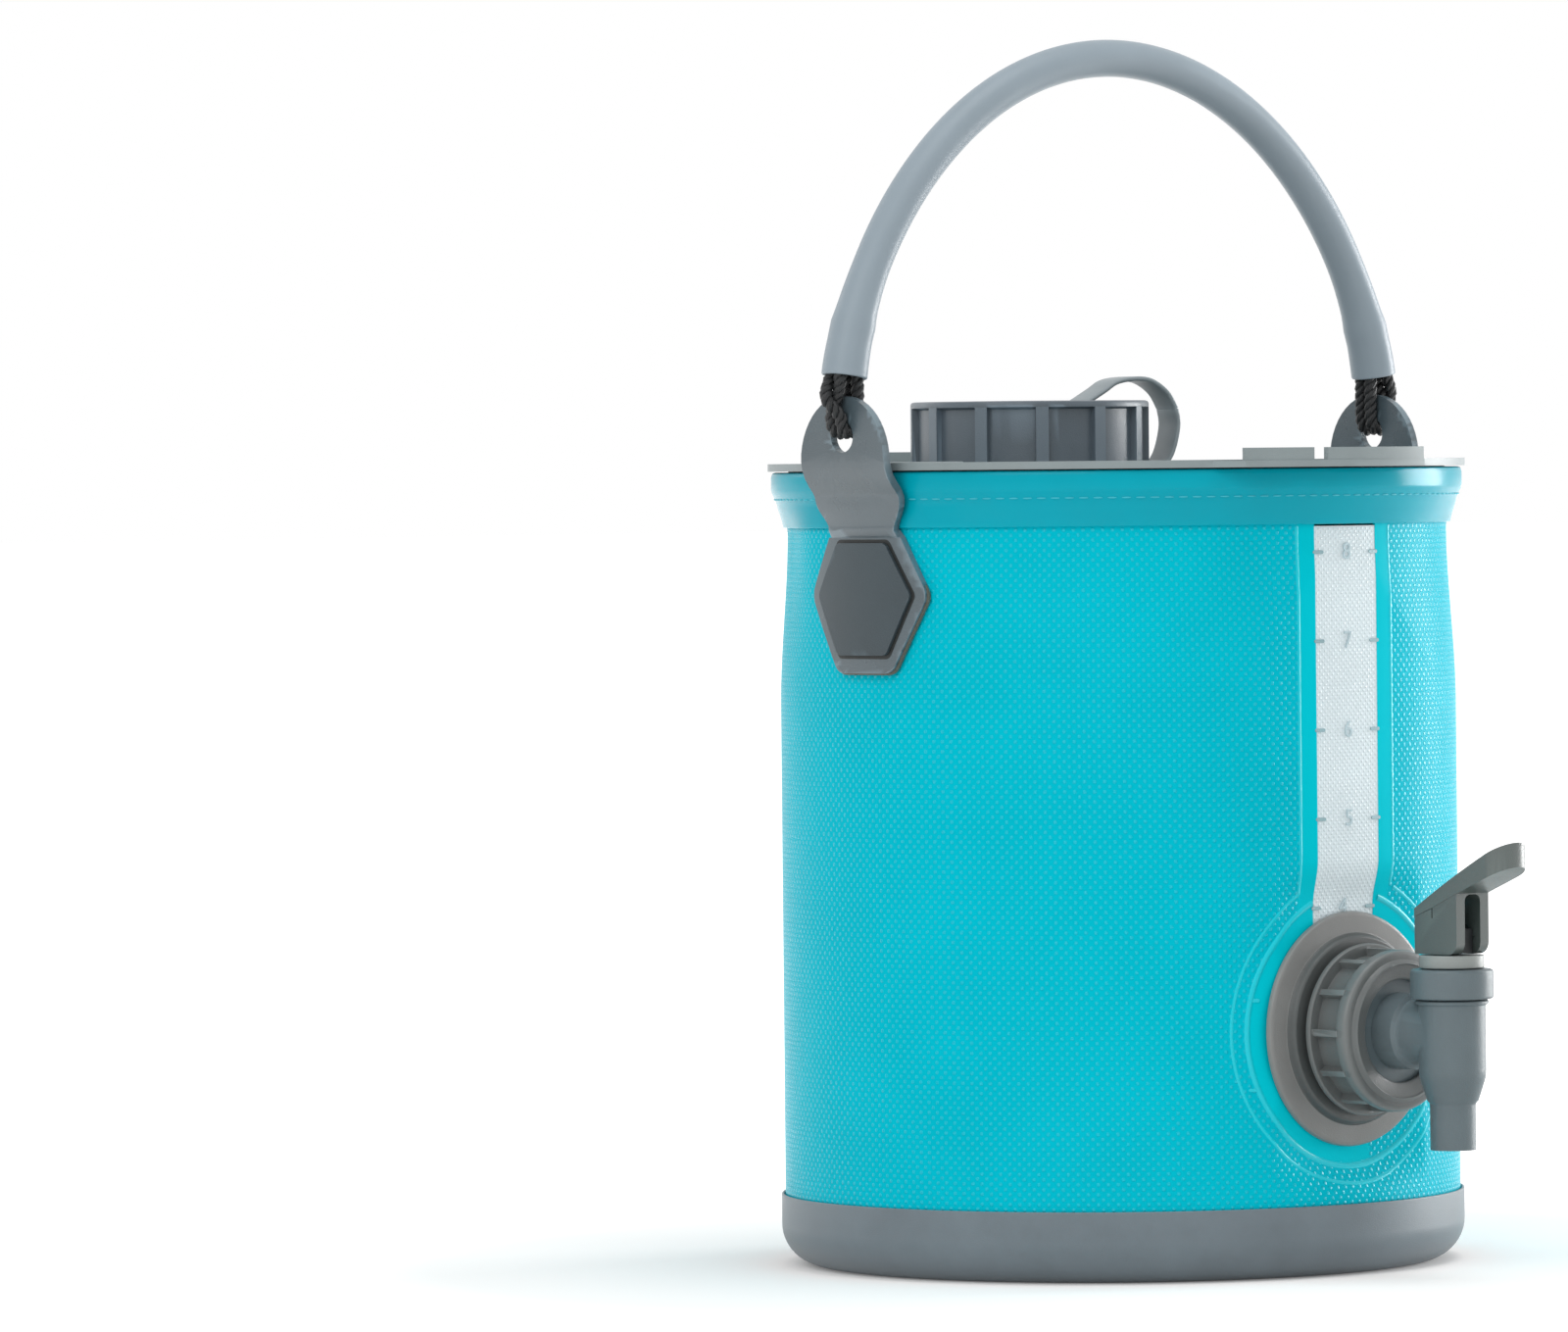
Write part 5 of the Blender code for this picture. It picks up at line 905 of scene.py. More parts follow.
def sheeted(outline, hole):
    """A flat outline, with a round hole at a height where it has one, cut into small faces for bending."""
    shape = bmesh.new()
    if hole:
        height, radius = hole
        upright = Matrix.Translation((0, 0, height)) @ Matrix.Rotation(math.radians(90), 4, "X")
        bmesh.ops.create_circle(shape, segments=40, radius=radius, matrix=upright)
    border = [shape.verts.new((x, 0, z)) for x, z in outline]
    if hole:
        for first, second in zip(border, border[1:] + border[:1]):
            shape.edges.new((first, second))
        bmesh.ops.triangle_fill(shape, use_beauty=True, edges=shape.edges[:])
    else:
        shape.faces.new(border)
    for axis, normal in ((0, (1, 0, 0)), (2, (0, 0, 1))):
        values = [v.co[axis] for v in shape.verts]
        low, high = min(values), max(values)
        steps = int((high - low) / LUG_GRID)
        for i in range(1, steps):
            point = Vector((0, 0, 0))
            point[axis] = low + (high - low) * i / steps
            whole = shape.verts[:] + shape.edges[:] + shape.faces[:]
            bmesh.ops.bisect_plane(shape, geom=whole, plane_co=point, plane_no=normal)
    return shape


def lug_solid(outline, side, base_depth, thickness, hole=None):
    shape = sheeted(outline, hole)
    bmesh.ops.remove_doubles(shape, verts=shape.verts, dist=1e-6)
    raised = bmesh.ops.extrude_face_region(shape, geom=shape.faces[:])
    lifted = {v for v in raised["geom"] if isinstance(v, bmesh.types.BMVert)}
    for vert in shape.verts:
        depth = base_depth + (thickness if vert in lifted else 0.0)
        vert.co = bent_to_lug(vert.co.x, vert.co.z, depth, side)
    bmesh.ops.recalc_face_normals(shape, faces=shape.faces)
    return shape


lug_plastic = moulded("lug plastic", linear(76, 90, 97), 0.28, mottle=0.10, edge_wear_and_highlight=0.9, gloss=0.7)
pad_plastic = moulded("pad plastic", linear(56, 68, 74), 0.42, mottle=0.10, edge_wear_and_highlight=0.5)
lug_edge = moulded("lug edge", linear(104, 100, 88), 0.5, mottle=0.08, edge_wear_and_highlight=0.1)
# A near-black layer in the groove round each pad is painted shade.
groove_painted_shade = moulded("groove painted shade", linear(34, 38, 38), 0.55, mottle=0.08, edge_wear_and_highlight=0.0)
soft_edge = {"angle": 40, "segments": 3}

for side, name in ((math.pi, "left"), (0.0, "right")):
    lug_plate = lug_solid(lug_outline(), side, 0.0, LUG_THICKNESS, hole=(LUG_HOLE_HEIGHT, LUG_HOLE_RADIUS))
    backing = lug_solid(hexagon(FOOT_GROWTH, *LUG_FOOT), side, EDGE, FOOT_BACKING)
    groove = lug_solid(hexagon(PAD_GROOVE, *PAD_FOOT), side, LUG_THICKNESS - EDGE / 2, EDGE * 2 / 3)
    pad = lug_solid(hexagon(0.0, *PAD_FOOT), side, LUG_THICKNESS + EDGE / 3, PAD_RISE)
    fitted(
        f"lug_plate_{name}", lug_plate, "rim", lug_plastic, "dark_plastic", [f"lug_{name}"], edge=0.0005,
        **soft_edge,
    )
    fitted(f"lug_edge_{name}", backing, "rim", lug_edge, "dark_plastic", edge=0.0002)
    fitted(f"lug_groove_shade_{name}", groove, "rim", groove_painted_shade, "dark_plastic", edge=0)
    fitted(
        f"lug_pad_face_{name}", pad, "rim", pad_plastic, "pad_rubber", [f"lug_pad_{name}"], edge=0.0004,
        **soft_edge,
    )


# Rope and grip of the handle

# One black twisted rope runs through a tube of soft grey plastic, down both sides of each lug's tab and
# through its hole. Its two ends are tucked back into the tube, which flares there.

ROPE_RADIUS = 0.0020
ROPE_PAIR_GAP = 0.0006
ROPE_MOUTH_SPREAD = 0.0013
ROPE_ASIDE = 0.0021
ROPE_HOLE_RISE = 0.0011
ROPE_CROSSING = 0.0036
ROPE_DESCENT = ((1, -0.8, 0.5), (0.72, -0.3, 1), (0.5, 0.3, 1), (0.28, 0.8, 0.4), (0.1, 1, 0))
ROPE_MOUTH_LENGTH = 0.0120
ROPE_TUCK = 0.0240
ROPE_ARCH_POINTS = 48
EVEN_SPACING = 0.0009
CURVE_STEPS = 12
GRIP_RADIUS = 0.0059
GRIP_WALL = 0.0016
GRIP_END_RADIUS = 0.0072
GRIP_END_LENGTH = 0.0400
GRIP_END_HEIGHT = LUG_HOLE_HEIGHT + 0.0185
GRIP_SHOULDER_PLACE = 0.0165
GRIP_SHOULDER_REACH = 0.0030
GRIP_SHOULDER_RISE = 0.00035
GRIP_STEPS = 120
GRIP_SIDES = 40
ARCH_SPAN = 0.2352
ARCH_SPRING_HEIGHT = LUG_HOLE_HEIGHT + 0.0100
ARCH_HEIGHT = 0.1096
ARCH_SHOULDER = 1.7
ARCH_SAMPLES = 324
STRANDS = 3
STRAND_RADIUS = 0.00108
STRAND_OFFSET = 0.00112
STRAND_SIDES = 8
LAY_LENGTH = 0.0078
ACROSS = Vector((0, 1, 0))


def arch_point(share, offset=0.0):
    """A point on the grip's centre line, its left end at 0 and its right end at 1, moved out by offset."""
    low = math.asin((GRIP_END_HEIGHT - ARCH_SPRING_HEIGHT) / ARCH_HEIGHT)
    angle = low + (math.pi - 2 * low) * share

    def place(turn):
        x = -ARCH_SPAN / 2 * math.cos(turn)
        z = ARCH_HEIGHT * math.sin(turn)
        width = ARCH_SPAN / 2 * math.sqrt(max(1 - (z / ARCH_HEIGHT) ** ARCH_SHOULDER, 0))
        return Vector((math.copysign(width, x), 0, ARCH_SPRING_HEIGHT + z))

    small = (math.pi - 2 * low) / 400
    along = place(min(angle + small, math.pi - low)) - place(max(angle - small, low))
    return place(angle) + Vector((-along.z, 0, along.x)).normalized() * offset


def arch_length(share):
    """The length of the arch between a share of it and the nearer end."""
    share = min(share, 1 - share)
    points = [arch_point(share * i / 30) for i in range(31)]
    return sum((b - a).length for a, b in zip(points, points[1:]))


def grip_radius(share):
    """The tube's radius: plain along the arch, swelling to its end, with a low shoulder before the mouth."""
    length = arch_length(share)
    swell = 1 - smoothstep(length / GRIP_END_LENGTH)
    shoulder = GRIP_SHOULDER_RISE * math.exp(-(((length - GRIP_SHOULDER_PLACE) / GRIP_SHOULDER_REACH) ** 2))
    return GRIP_RADIUS + (GRIP_END_RADIUS - GRIP_RADIUS) * swell + shoulder


def heading(path, i):
    return (path[min(i + 1, len(path) - 1)] - path[max(i - 1, 0)]).normalized()


def swept(path, radii, sides, closed_ends=True):
    """A round tube along points that all lie near one upright plane."""
    shape = bmesh.new()
    rings = []
    for i, (point, radius) in enumerate(zip(path, radii)):
        along = heading(path, i)
        up = along.cross(ACROSS).normalized()
        basis = Matrix((up.cross(along).normalized(), up, along)).transposed()
        made = bmesh.ops.create_circle(shape, segments=sides, radius=radius)["verts"]
        for vert in made:
            vert.co = point + basis @ vert.co
        rings.append(made)
    for first, second in zip(rings, rings[1:]):
        for j in range(sides):
            shape.faces.new((first[j], first[(j + 1) % sides], second[(j + 1) % sides], second[j]))
    if closed_ends:
        shape.faces.new(rings[0])
        shape.faces.new(rings[-1])
    bmesh.ops.recalc_face_normals(shape, faces=shape.faces)
    return shape


def take_in(whole, shape):
    """Adds one shape's faces to another. The first is used up."""
    mesh = mesh_from("share", shape)
    whole.from_mesh(mesh)
    bpy.data.meshes.remove(mesh)


def grip_tube():
    shares = [i / GRIP_STEPS for i in range(GRIP_STEPS + 1)]
    path = [arch_point(share) for share in shares]
    radii = [grip_radius(share) for share in shares]
    shape = swept(path, radii, GRIP_SIDES, closed_ends=False)
    bore = swept(path, [radius - GRIP_WALL for radius in radii], GRIP_SIDES, closed_ends=False)
    bmesh.ops.reverse_faces(bore, faces=bore.faces)
    take_in(shape, bore)
    mouths = [e for e in shape.edges if e.is_boundary]
    for right in (False, True):
        bmesh.ops.bridge_loops(shape, edges=[e for e in mouths if (e.verts[0].co.x > 0) == right])
    bmesh.ops.recalc_face_normals(shape, faces=shape.faces)
    return shape


grip_plastic = moulded(
    "grip tube", linear(146, 159, 168), 0.36, mottle=0.03, grain=0.00003, edge_wear_and_highlight=0.2, gloss=0.20
)
fitted(
    "grip", grip_tube(), "handle", grip_plastic, "grip_tube", ["handle_grip"],
    edge=0.0005, angle=50, segments=3,
)

tuck = next(i / ARCH_SAMPLES for i in range(ARCH_SAMPLES) if arch_length(i / ARCH_SAMPLES) >= ROPE_TUCK)


def pair_offset(share):
    """How far the rope lies from the grip's centre line: beside its tucked end, and spread at the mouth."""
    length = arch_length(share)
    fade = smoothstep((length - ROPE_TUCK) / (ROPE_TUCK / 2))
    spread = ROPE_MOUTH_SPREAD * (1 - smoothstep(length / ROPE_MOUTH_LENGTH))
    return (ROPE_RADIUS + ROPE_PAIR_GAP / 2) * (1 - fade) + spread


def rope_route():
    """The rope from its tucked end down outside the left lug, twice through its hole, and over the arch."""
    loop = LUG_THICKNESS / 2 + EDGE + ROPE_RADIUS
    low = LUG_HOLE_HEIGHT + ROPE_HOLE_RISE
    drop = GRIP_END_HEIGHT - low - loop
    left = []
    for turn in (-1, 1):
        side = turn * ROPE_ASIDE
        for quarter in (4, 3, 2, 1, 0) if turn < 0 else (1, 0):
            share = tuck * quarter / 4
            left.append(arch_point(share, pair_offset(share)) + Vector((0, -side, 0)))
        over = ROPE_CROSSING * (turn < 0)
        for share, across, lifted in ROPE_DESCENT:
            height = low + loop + drop * share * 0.8
            left.append(Vector((-LUG_TAB_RADIUS - loop - over * lifted, side * across, height)))
        for degrees in (30, 60, 90, 120, 150):
            angle = math.radians(degrees)
            spot = Vector((-loop * math.cos(angle), 0, loop * (1 - math.sin(angle))))
            left.append(spot + Vector((-LUG_TAB_RADIUS, side, low)))
        for share in (0.1, 0.4, 0.8):
            left.append(Vector((-LUG_TAB_RADIUS + loop, side, low + loop + drop * share)))
        if turn < 0:
            for share in (0, tuck / 4):
                left.append(arch_point(share, -pair_offset(share)) + Vector((0, side, 0)))
            left.append(arch_point(tuck * 0.5))
    for i in range(ROPE_ARCH_POINTS // 2 + 1):
        share = i / ROPE_ARCH_POINTS
        aside = ROPE_ASIDE * (1 - min(i / 6, 1))
        left.append(arch_point(share, -pair_offset(share)) + Vector((0, aside, 0)))
    return left + [Vector((-point.x, -point.y, point.z)) for point in reversed(left[:-1])]


def smoothed(points):
    """Even points on a curve through the given ones."""
    fine = []
    for i in range(len(points) - 1):
        a = points[max(i - 1, 0)]
        b, c = points[i], points[i + 1]
        d = points[min(i + 2, len(points) - 1)]
        for j in range(CURVE_STEPS):
            t = j / CURVE_STEPS
            start = 2 * b + (c - a) * t + (2 * a - 5 * b + 4 * c - d) * t * t
            fine.append(0.5 * (start + (3 * b - a - 3 * c + d) * t**3))
    fine.append(points[-1])
    even = [fine[0]]
    gone = 0.0
    for first, second in zip(fine, fine[1:]):
        gone += (second - first).length
        if gone >= EVEN_SPACING:
            even.append(second)
            gone = 0.0
    return even


def twisted_rope(path):
    """Three strands laid round the path, each a tube of its own."""
    whole = bmesh.new()
    for strand in range(STRANDS):
        line = []
        gone = 0.0
        for i, point in enumerate(path):
            if i:
                gone += (point - path[i - 1]).length
            up = heading(path, i).cross(ACROSS).normalized()
            turn = math.tau * (gone / LAY_LENGTH + strand / STRANDS)
            line.append(point + (ACROSS * math.cos(turn) + up * math.sin(turn)) * STRAND_OFFSET)
        take_in(whole, swept(line, [STRAND_RADIUS] * len(line), STRAND_SIDES))
    return whole


def rope_finish():
    """Matt black yarn whose fibres run slantwise along the strands."""
    finish, tree, shader = new_finish("black rope")
    place = add_node(tree, "TexCoord").outputs["Object"]
    turned = add_node(tree, "Mapping", {"Vector": place, "Rotation": (0.6, 0.5, 0.7), "Scale": (1, 1, 3.2)})
    fibre = noise(tree, turned.outputs["Vector"], 1700.0, 3.0)
    fill(tree, shader, {
        "Base Color": ramped(tree, fibre, (0.35, linear(3, 4, 5)), (0.72, linear(30, 34, 37))),
        "Normal": bumped(tree, fibre, 0.00022, 0.9),
        "Roughness": 0.55,
    })
    return finish


rope_shape = twisted_rope(smoothed(rope_route()))
fitted("rope", rope_shape, "handle", rope_finish(), "black_rope", ["handle_rope"], edge=0)


# Lid

# The lid is one grey moulding: a flange with an ear on each side, a step down to the panel, a raised shield
# with the pocket and well for the stowed tap, the filler neck, a plain disc, and a skirt with a groove.

LID_TURN = math.radians(-7.5)
LID_RADIUS = 0.1107
LID_BOTTOM = 0.2513
LID_TOP = 0.2537
LID_THICKNESS = 0.0024
PANEL_TOP = 0.2492
PANEL_BOTTOM = 0.2468
PANEL_RADIUS = 0.0950
PANEL_STEP_RADIUS = 0.0985
SKIRT_RADIUS = 0.1042
SKIRT_INNER_RADIUS = 0.1018
SKIRT_BOTTOM = 0.2430
GROOVE_RADIUS = 0.1030
GROOVE_TOP = 0.2492
GROOVE_BOTTOM = 0.2456
EAR_RADIUS = 0.1193
EAR_WIDTH = 0.0700
EAR_ROOT = LID_RADIUS - 0.0027
EAR_ROOT_WIDTH = 0.0820
EAR_LIP_THICKNESS = 0.0026
EAR_LIP_TOP = LID_TOP + 0.0036
EAR_NOTCH = 0.0091
EAR_NOTCH_WIDTH = 0.0050
EAR_SLOT_LENGTH = 0.0240
EAR_SLOT_WIDTH = 0.0042
EAR_SLOT_ASIDE = 0.0165
SHIELD_TOP = 0.2510
SHIELD_SIDE = (0.0750, 0.0460)
SHIELD_TOP_CORNER = (0.0380, 0.0020)
SHIELD_ARC_RADIUS = 0.0880
SHIELD_FOOT_INSET = 3
SHIELD_CORNER_RADIUS = 0.0110
SHIELD_CORNER_STEPS = 10
POCKET_OFFSET = 0.0430
POCKET_LENGTH = 0.1090
POCKET_WIDTH = 0.0300
POCKET_FLOOR = 0.2420
WELL_RADIUS = 0.0285
WELL_FLOOR = 0.2240
TUB_WALL = 0.0022
BOSS_TOP = 0.2340
BOSS_RADIUS = 0.0200
BOSS_BORE = 0.0165
NECK_OFFSET = 0.0465
NECK_RADIUS = 0.0335
NECK_BORE = 0.0310
NECK_TOP = 0.2645
DISC_PLACE = (0.0653, 0.0150)
DISC_RADIUS = 0.0152
DISC_RISE = 0.0012
VENT_HOLE_RADIUS = 0.0044
OVERRUN = 0.003

lid_turn = Matrix.Rotation(LID_TURN, 4, "Z")


def on_lid(x, y):
    """A turn and a move to a place given in the lid's own directions."""
    return lid_turn @ Matrix.Translation((x, y, 0))


pocket_place = on_lid(0, -POCKET_OFFSET)
neck_place = on_lid(0, NECK_OFFSET)
disc_place = on_lid(*DISC_PLACE)
vent_place = on_lid(-DISC_PLACE[0], DISC_PLACE[1])


def placed(shape, place):
    bmesh.ops.transform(shape, matrix=place, verts=shape.verts)
    return shape


def flat_part(outline, low, high, place):
    return placed(slab(outline, low, high), place)


def rod(radius, low, high, place, steps=96):
    return spun([(0, high), (radius, high), (radius, low), (0, low)], steps, place=place)


def combined(main, added=(), cut=()):
    """One solid: the added ones joined to the main one, then the cut ones taken away."""
    body = put_in("solid", mesh_from("solid", main))
    holders = [body]
    groups = []
    for shapes, operation in ((added, "UNION"), (cut, "DIFFERENCE")):
        if not shapes:
            continue
        group = bpy.data.collections.new(operation)
        bpy.context.scene.collection.children.link(group)
        groups.append(group)
        holders += [put_in("solid", mesh_from("solid", shape), group) for shape in shapes]
        step = body.modifiers.new(operation, "BOOLEAN")
        step.operation = operation
        step.solver = "EXACT"
        step.operand_type = "COLLECTION"
        step.collection = group
    made = shape_of(body)
    for holder in holders:
        discard(holder)
    for group in groups:
        bpy.data.collections.remove(group)
    bmesh.ops.remove_doubles(made, verts=made.verts, dist=2e-6)
    return made


def angle_at(across, radius):
    """The angle in degrees, from the top of a circle, at which it is so far across."""
    return math.degrees(math.asin(across / radius))


def ear_outline():
    half, root = angle_at(EAR_WIDTH / 2, EAR_RADIUS), angle_at(EAR_ROOT_WIDTH / 2, EAR_ROOT)
    outer = circle_points((0, 0), EAR_RADIUS, 90 + half, 90 - half, 24)
    return outer + circle_points((0, 0), EAR_ROOT, 90 - root, 90 + root, 12)


def lip_outline(start, end):
    low, high = 90 - angle_at(start, EAR_RADIUS), 90 - angle_at(end, EAR_RADIUS)
    outer = circle_points((0, 0), EAR_RADIUS - EDGE, low, high, 12)
    return outer + circle_points((0, 0), EAR_RADIUS - EAR_LIP_THICKNESS, high, low, 12)


def shield_outline():
    """Four rounded corners, closed by an arc in place of the point that the fifth would make."""
    (side, low), (top, high) = SHIELD_SIDE, SHIELD_TOP_CORNER
    corners = eased_polygon(
        [(-side, -low), (-top, -high), (top, -high), (side, -low), (0, -SHIELD_ARC_RADIUS)],
        [SHIELD_CORNER_RADIUS] * 5, SHIELD_CORNER_STEPS,
    )
    start = math.degrees(math.atan2(-low, side)) - SHIELD_FOOT_INSET
    arc = circle_points((0, 0), SHIELD_ARC_RADIUS, start, -180 - start, 40)
    return corners[:4 * (SHIELD_CORNER_STEPS + 1)] + arc


lid_profile = [
    (0, PANEL_TOP),
    (PANEL_RADIUS, PANEL_TOP),
    (PANEL_STEP_RADIUS, LID_TOP),
    (LID_RADIUS, LID_TOP),
    (LID_RADIUS, LID_BOTTOM),
    (SKIRT_RADIUS, LID_BOTTOM),
    (SKIRT_RADIUS, GROOVE_TOP),
    (GROOVE_RADIUS, GROOVE_TOP),
    (GROOVE_RADIUS, GROOVE_BOTTOM),
    (SKIRT_RADIUS, GROOVE_BOTTOM),
    (SKIRT_RADIUS, SKIRT_BOTTOM),
    (SKIRT_INNER_RADIUS, SKIRT_BOTTOM),
    (SKIRT_INNER_RADIUS, LID_BOTTOM),
    (PANEL_STEP_RADIUS + LID_THICKNESS, LID_BOTTOM),
    (PANEL_RADIUS + LID_THICKNESS, PANEL_BOTTOM),
    (0, PANEL_BOTTOM),
]
well_profile = [
    (0, SHIELD_TOP + OVERRUN),
    (WELL_RADIUS, SHIELD_TOP + OVERRUN),
    (WELL_RADIUS, WELL_FLOOR),
    (BOSS_RADIUS, WELL_FLOOR),
    (BOSS_RADIUS, BOSS_TOP),
    (BOSS_BORE, BOSS_TOP),
    (BOSS_BORE, WELL_FLOOR),
    (0, WELL_FLOOR),
]
inside_panel = PANEL_BOTTOM + LID_THICKNESS / 2
slot_middle = (LID_RADIUS + EAR_RADIUS - EAR_LIP_THICKNESS) / 2
notch = (EAR_NOTCH - EAR_NOTCH_WIDTH / 2, EAR_NOTCH + EAR_NOTCH_WIDTH / 2)
ear_slot = obround(EAR_SLOT_LENGTH, EAR_SLOT_WIDTH)
lid_added = []
lid_cut = []
for half_turn in (0, math.pi):
    ear_place = lid_turn @ Matrix.Rotation(half_turn, 4, "Z")
    lid_added.append(flat_part(ear_outline(), LID_BOTTOM, LID_TOP - EDGE, ear_place))
    for start, end in ((-EAR_WIDTH / 2, notch[0]), (notch[1], EAR_WIDTH / 2)):
        lid_added.append(flat_part(lip_outline(start, end), LID_BOTTOM + EDGE, EAR_LIP_TOP, ear_place))
    for across in (-EAR_SLOT_ASIDE, EAR_SLOT_ASIDE):
        slot_place = ear_place @ Matrix.Translation((across, slot_middle, 0))
        lid_cut.append(flat_part(ear_slot, LID_BOTTOM - OVERRUN, LID_TOP + OVERRUN, slot_place))

tub = obround(POCKET_LENGTH + 2 * TUB_WALL, POCKET_WIDTH + 2 * TUB_WALL, 24)
pocket = obround(POCKET_LENGTH, POCKET_WIDTH, 24)
lid_added += [
    flat_part(shield_outline(), inside_panel, SHIELD_TOP, lid_turn),
    flat_part(tub, POCKET_FLOOR - TUB_WALL, inside_panel + EDGE, pocket_place),
    rod(WELL_RADIUS + TUB_WALL, WELL_FLOOR - TUB_WALL, inside_panel - EDGE, pocket_place),
    rod(NECK_RADIUS, inside_panel, NECK_TOP, neck_place),
    rod(DISC_RADIUS, inside_panel, PANEL_TOP + DISC_RISE, disc_place, 72),
]
lid_cut += [
    flat_part(pocket, POCKET_FLOOR, SHIELD_TOP + OVERRUN, pocket_place),
    spun(well_profile, 96, place=pocket_place),
    rod(NECK_BORE, PANEL_BOTTOM - OVERRUN, NECK_TOP + OVERRUN, neck_place),
    rod(VENT_HOLE_RADIUS, PANEL_BOTTOM - OVERRUN, SHIELD_TOP + OVERRUN, vent_place, 48),
]
lid_plastic = moulded("lid plastic", linear(138, 149, 151), 0.40, mottle=0.06, grain=0.00010, edge_wear_and_highlight=0.1)
fitted(
    "lid_moulding", combined(spun(lid_profile, place=lid_turn), lid_added, lid_cut), "lid", lid_plastic,
    "grey_plastic", ["lid"], edge=0.0006, angle=32, segments=3,
)

silicone = moulded("pale silicone", linear(205, 209, 208), 0.45, mottle=0.04, edge_wear_and_highlight=0.0)
for node in ("lid_seal", "cap_seal", "port_gasket", "tap_washer", "seat_cup"):
    dress(node, silicone)


# Air valve

# A push-pull button of the same grey plastic sits in a hole of the panel. Its face is slightly dished, with
# a rounded rim, and a flange on its stem keeps it in the hole.

VENT_RADIUS = 0.0140
VENT_RIM = 0.2540
VENT_FACE = 0.2533
VENT_UNDERSIDE = 0.2495
VENT_STEM_RADIUS = 0.0041
VENT_FLANGE_RADIUS = 0.0060
VENT_FLANGE_TOP = 0.2425
VENT_BOTTOM = 0.2410

vent_profile = [
    (0, VENT_FACE),
    (VENT_RADIUS - 0.0035, VENT_FACE),
    (VENT_RADIUS - 0.0023, VENT_RIM),
    (VENT_RADIUS - 0.0010, VENT_RIM),
    (VENT_RADIUS, VENT_RIM - 0.0011),
    (VENT_RADIUS, VENT_UNDERSIDE),
    (VENT_STEM_RADIUS, VENT_UNDERSIDE),
    (VENT_STEM_RADIUS, VENT_FLANGE_TOP),
    (VENT_FLANGE_RADIUS, VENT_FLANGE_TOP),
    (VENT_FLANGE_RADIUS, VENT_BOTTOM),
    (0, VENT_BOTTOM),
]
vent_shape = spun(vent_profile, 96, place=vent_place)
fitted("air_valve", vent_shape, "vent", lid_plastic, "grey_plastic", ["vent_valve"])


# Screw cap, its pin and tether

# The cap is a dished moulding with twelve grip ribs, darker than the lid, its rib edges painted pale, partly
# as wear and partly as painted highlight. A rivet holds the tether's eye in the dish, and the strap loops out
# and back to a ring round the neck.

CAP_RADIUS = 0.0368
CAP_WALL = 0.0023
CAP_BOTTOM = 0.2515
CAP_TOP = 0.2731
CAP_RIM_WIDTH = 0.0054
CAP_CHAMFER = 0.0015
CAP_RIM_RADIUS = CAP_RADIUS - CAP_CHAMFER - CAP_RIM_WIDTH
CAP_DISH = 0.2676
CAP_DISH_UNDERSIDE = 0.2654
CAP_CEILING = 0.2673
CAP_DISH_RADIUS = 0.0287
CAP_RIBS = 12
CAP_RIB_WIDTH = 0.0041
CAP_RIB_RISE = 0.0015
CAP_RIB_TOP = CAP_TOP - 0.0020
CAP_BAND_RADIUS = CAP_RADIUS + CAP_RIB_RISE
CAP_RECESS_RADIUS = CAP_RADIUS - 0.0006
PIN_RADIUS = 0.0029
PIN_HOLE = PIN_RADIUS + EDGE
PIN_HEAD_RADIUS = 0.0059
PIN_HEAD_TOP = 0.27225
PIN_HEAD_BOTTOM = 0.26970
PIN_FOOT_RADIUS = 0.0043
PIN_FOOT_TOP = 0.26510
PIN_FOOT_BOTTOM = 0.26330
TETHER_HEADING = math.radians(-15)
TETHER_REACH = 0.0515
TETHER_RISE = 0.0297
TETHER_WIDTH = 0.0130
TETHER_THICKNESS = 0.0015
TETHER_EYE_RADIUS = 0.0103
TETHER_EYE_BOTTOM = 0.2680
TETHER_EYE_TOP = 0.2694
TETHER_RING_WIDTH = 0.0037
TETHER_RING_TOP = 0.2512
TETHER_RING_BOTTOM = 0.2495
TETHER_SHARES = (
    (0.73, 0.0), (0.82, 0.01), (0.91, 0.09), (0.965, 0.24), (1.0, 0.50), (0.985, 0.68), (0.93, 0.84),
    (0.85, 0.95), (0.77, 1.0), (0.66, 1.0), (0.56, 0.965), (0.48, 0.88), (0.37, 0.77),
)
EYE_SHARES = ((1.3, 0.9), (1.02, 0.05), (0.6, 0))
TETHER_FOOT = 2
TETHER_SPLIT = 6
TETHER_TOP = 9

cap_plastic = moulded("cap plastic", linear(90, 102, 111), 0.34, mottle=0.10, edge_wear_and_highlight=1.2, gloss=0.6)
cap_profile = [
    (PIN_HOLE, CAP_DISH),
    (CAP_DISH_RADIUS, CAP_DISH),
    (CAP_RIM_RADIUS, CAP_TOP - 0.0006),
    (CAP_RIM_RADIUS + 0.0006, CAP_TOP),
    (CAP_BAND_RADIUS - 0.0011, CAP_TOP),
    (CAP_BAND_RADIUS - 0.0003, CAP_TOP - 0.0003),
    (CAP_BAND_RADIUS, CAP_TOP - 0.0010),
    (CAP_BAND_RADIUS, CAP_RIB_TOP),
    (CAP_RECESS_RADIUS, CAP_TOP - 0.0027),
    (CAP_RECESS_RADIUS, CAP_BOTTOM + 0.0016),
    (CAP_RADIUS, CAP_BOTTOM + 0.0012),
    (CAP_RADIUS, CAP_BOTTOM),
    (CAP_RADIUS - CAP_WALL, CAP_BOTTOM),
    (CAP_RADIUS - CAP_WALL, CAP_CEILING),
    (CAP_RIM_RADIUS, CAP_CEILING),
    (CAP_RIM_RADIUS, CAP_DISH_UNDERSIDE),
    (PIN_HOLE, CAP_DISH_UNDERSIDE),
]
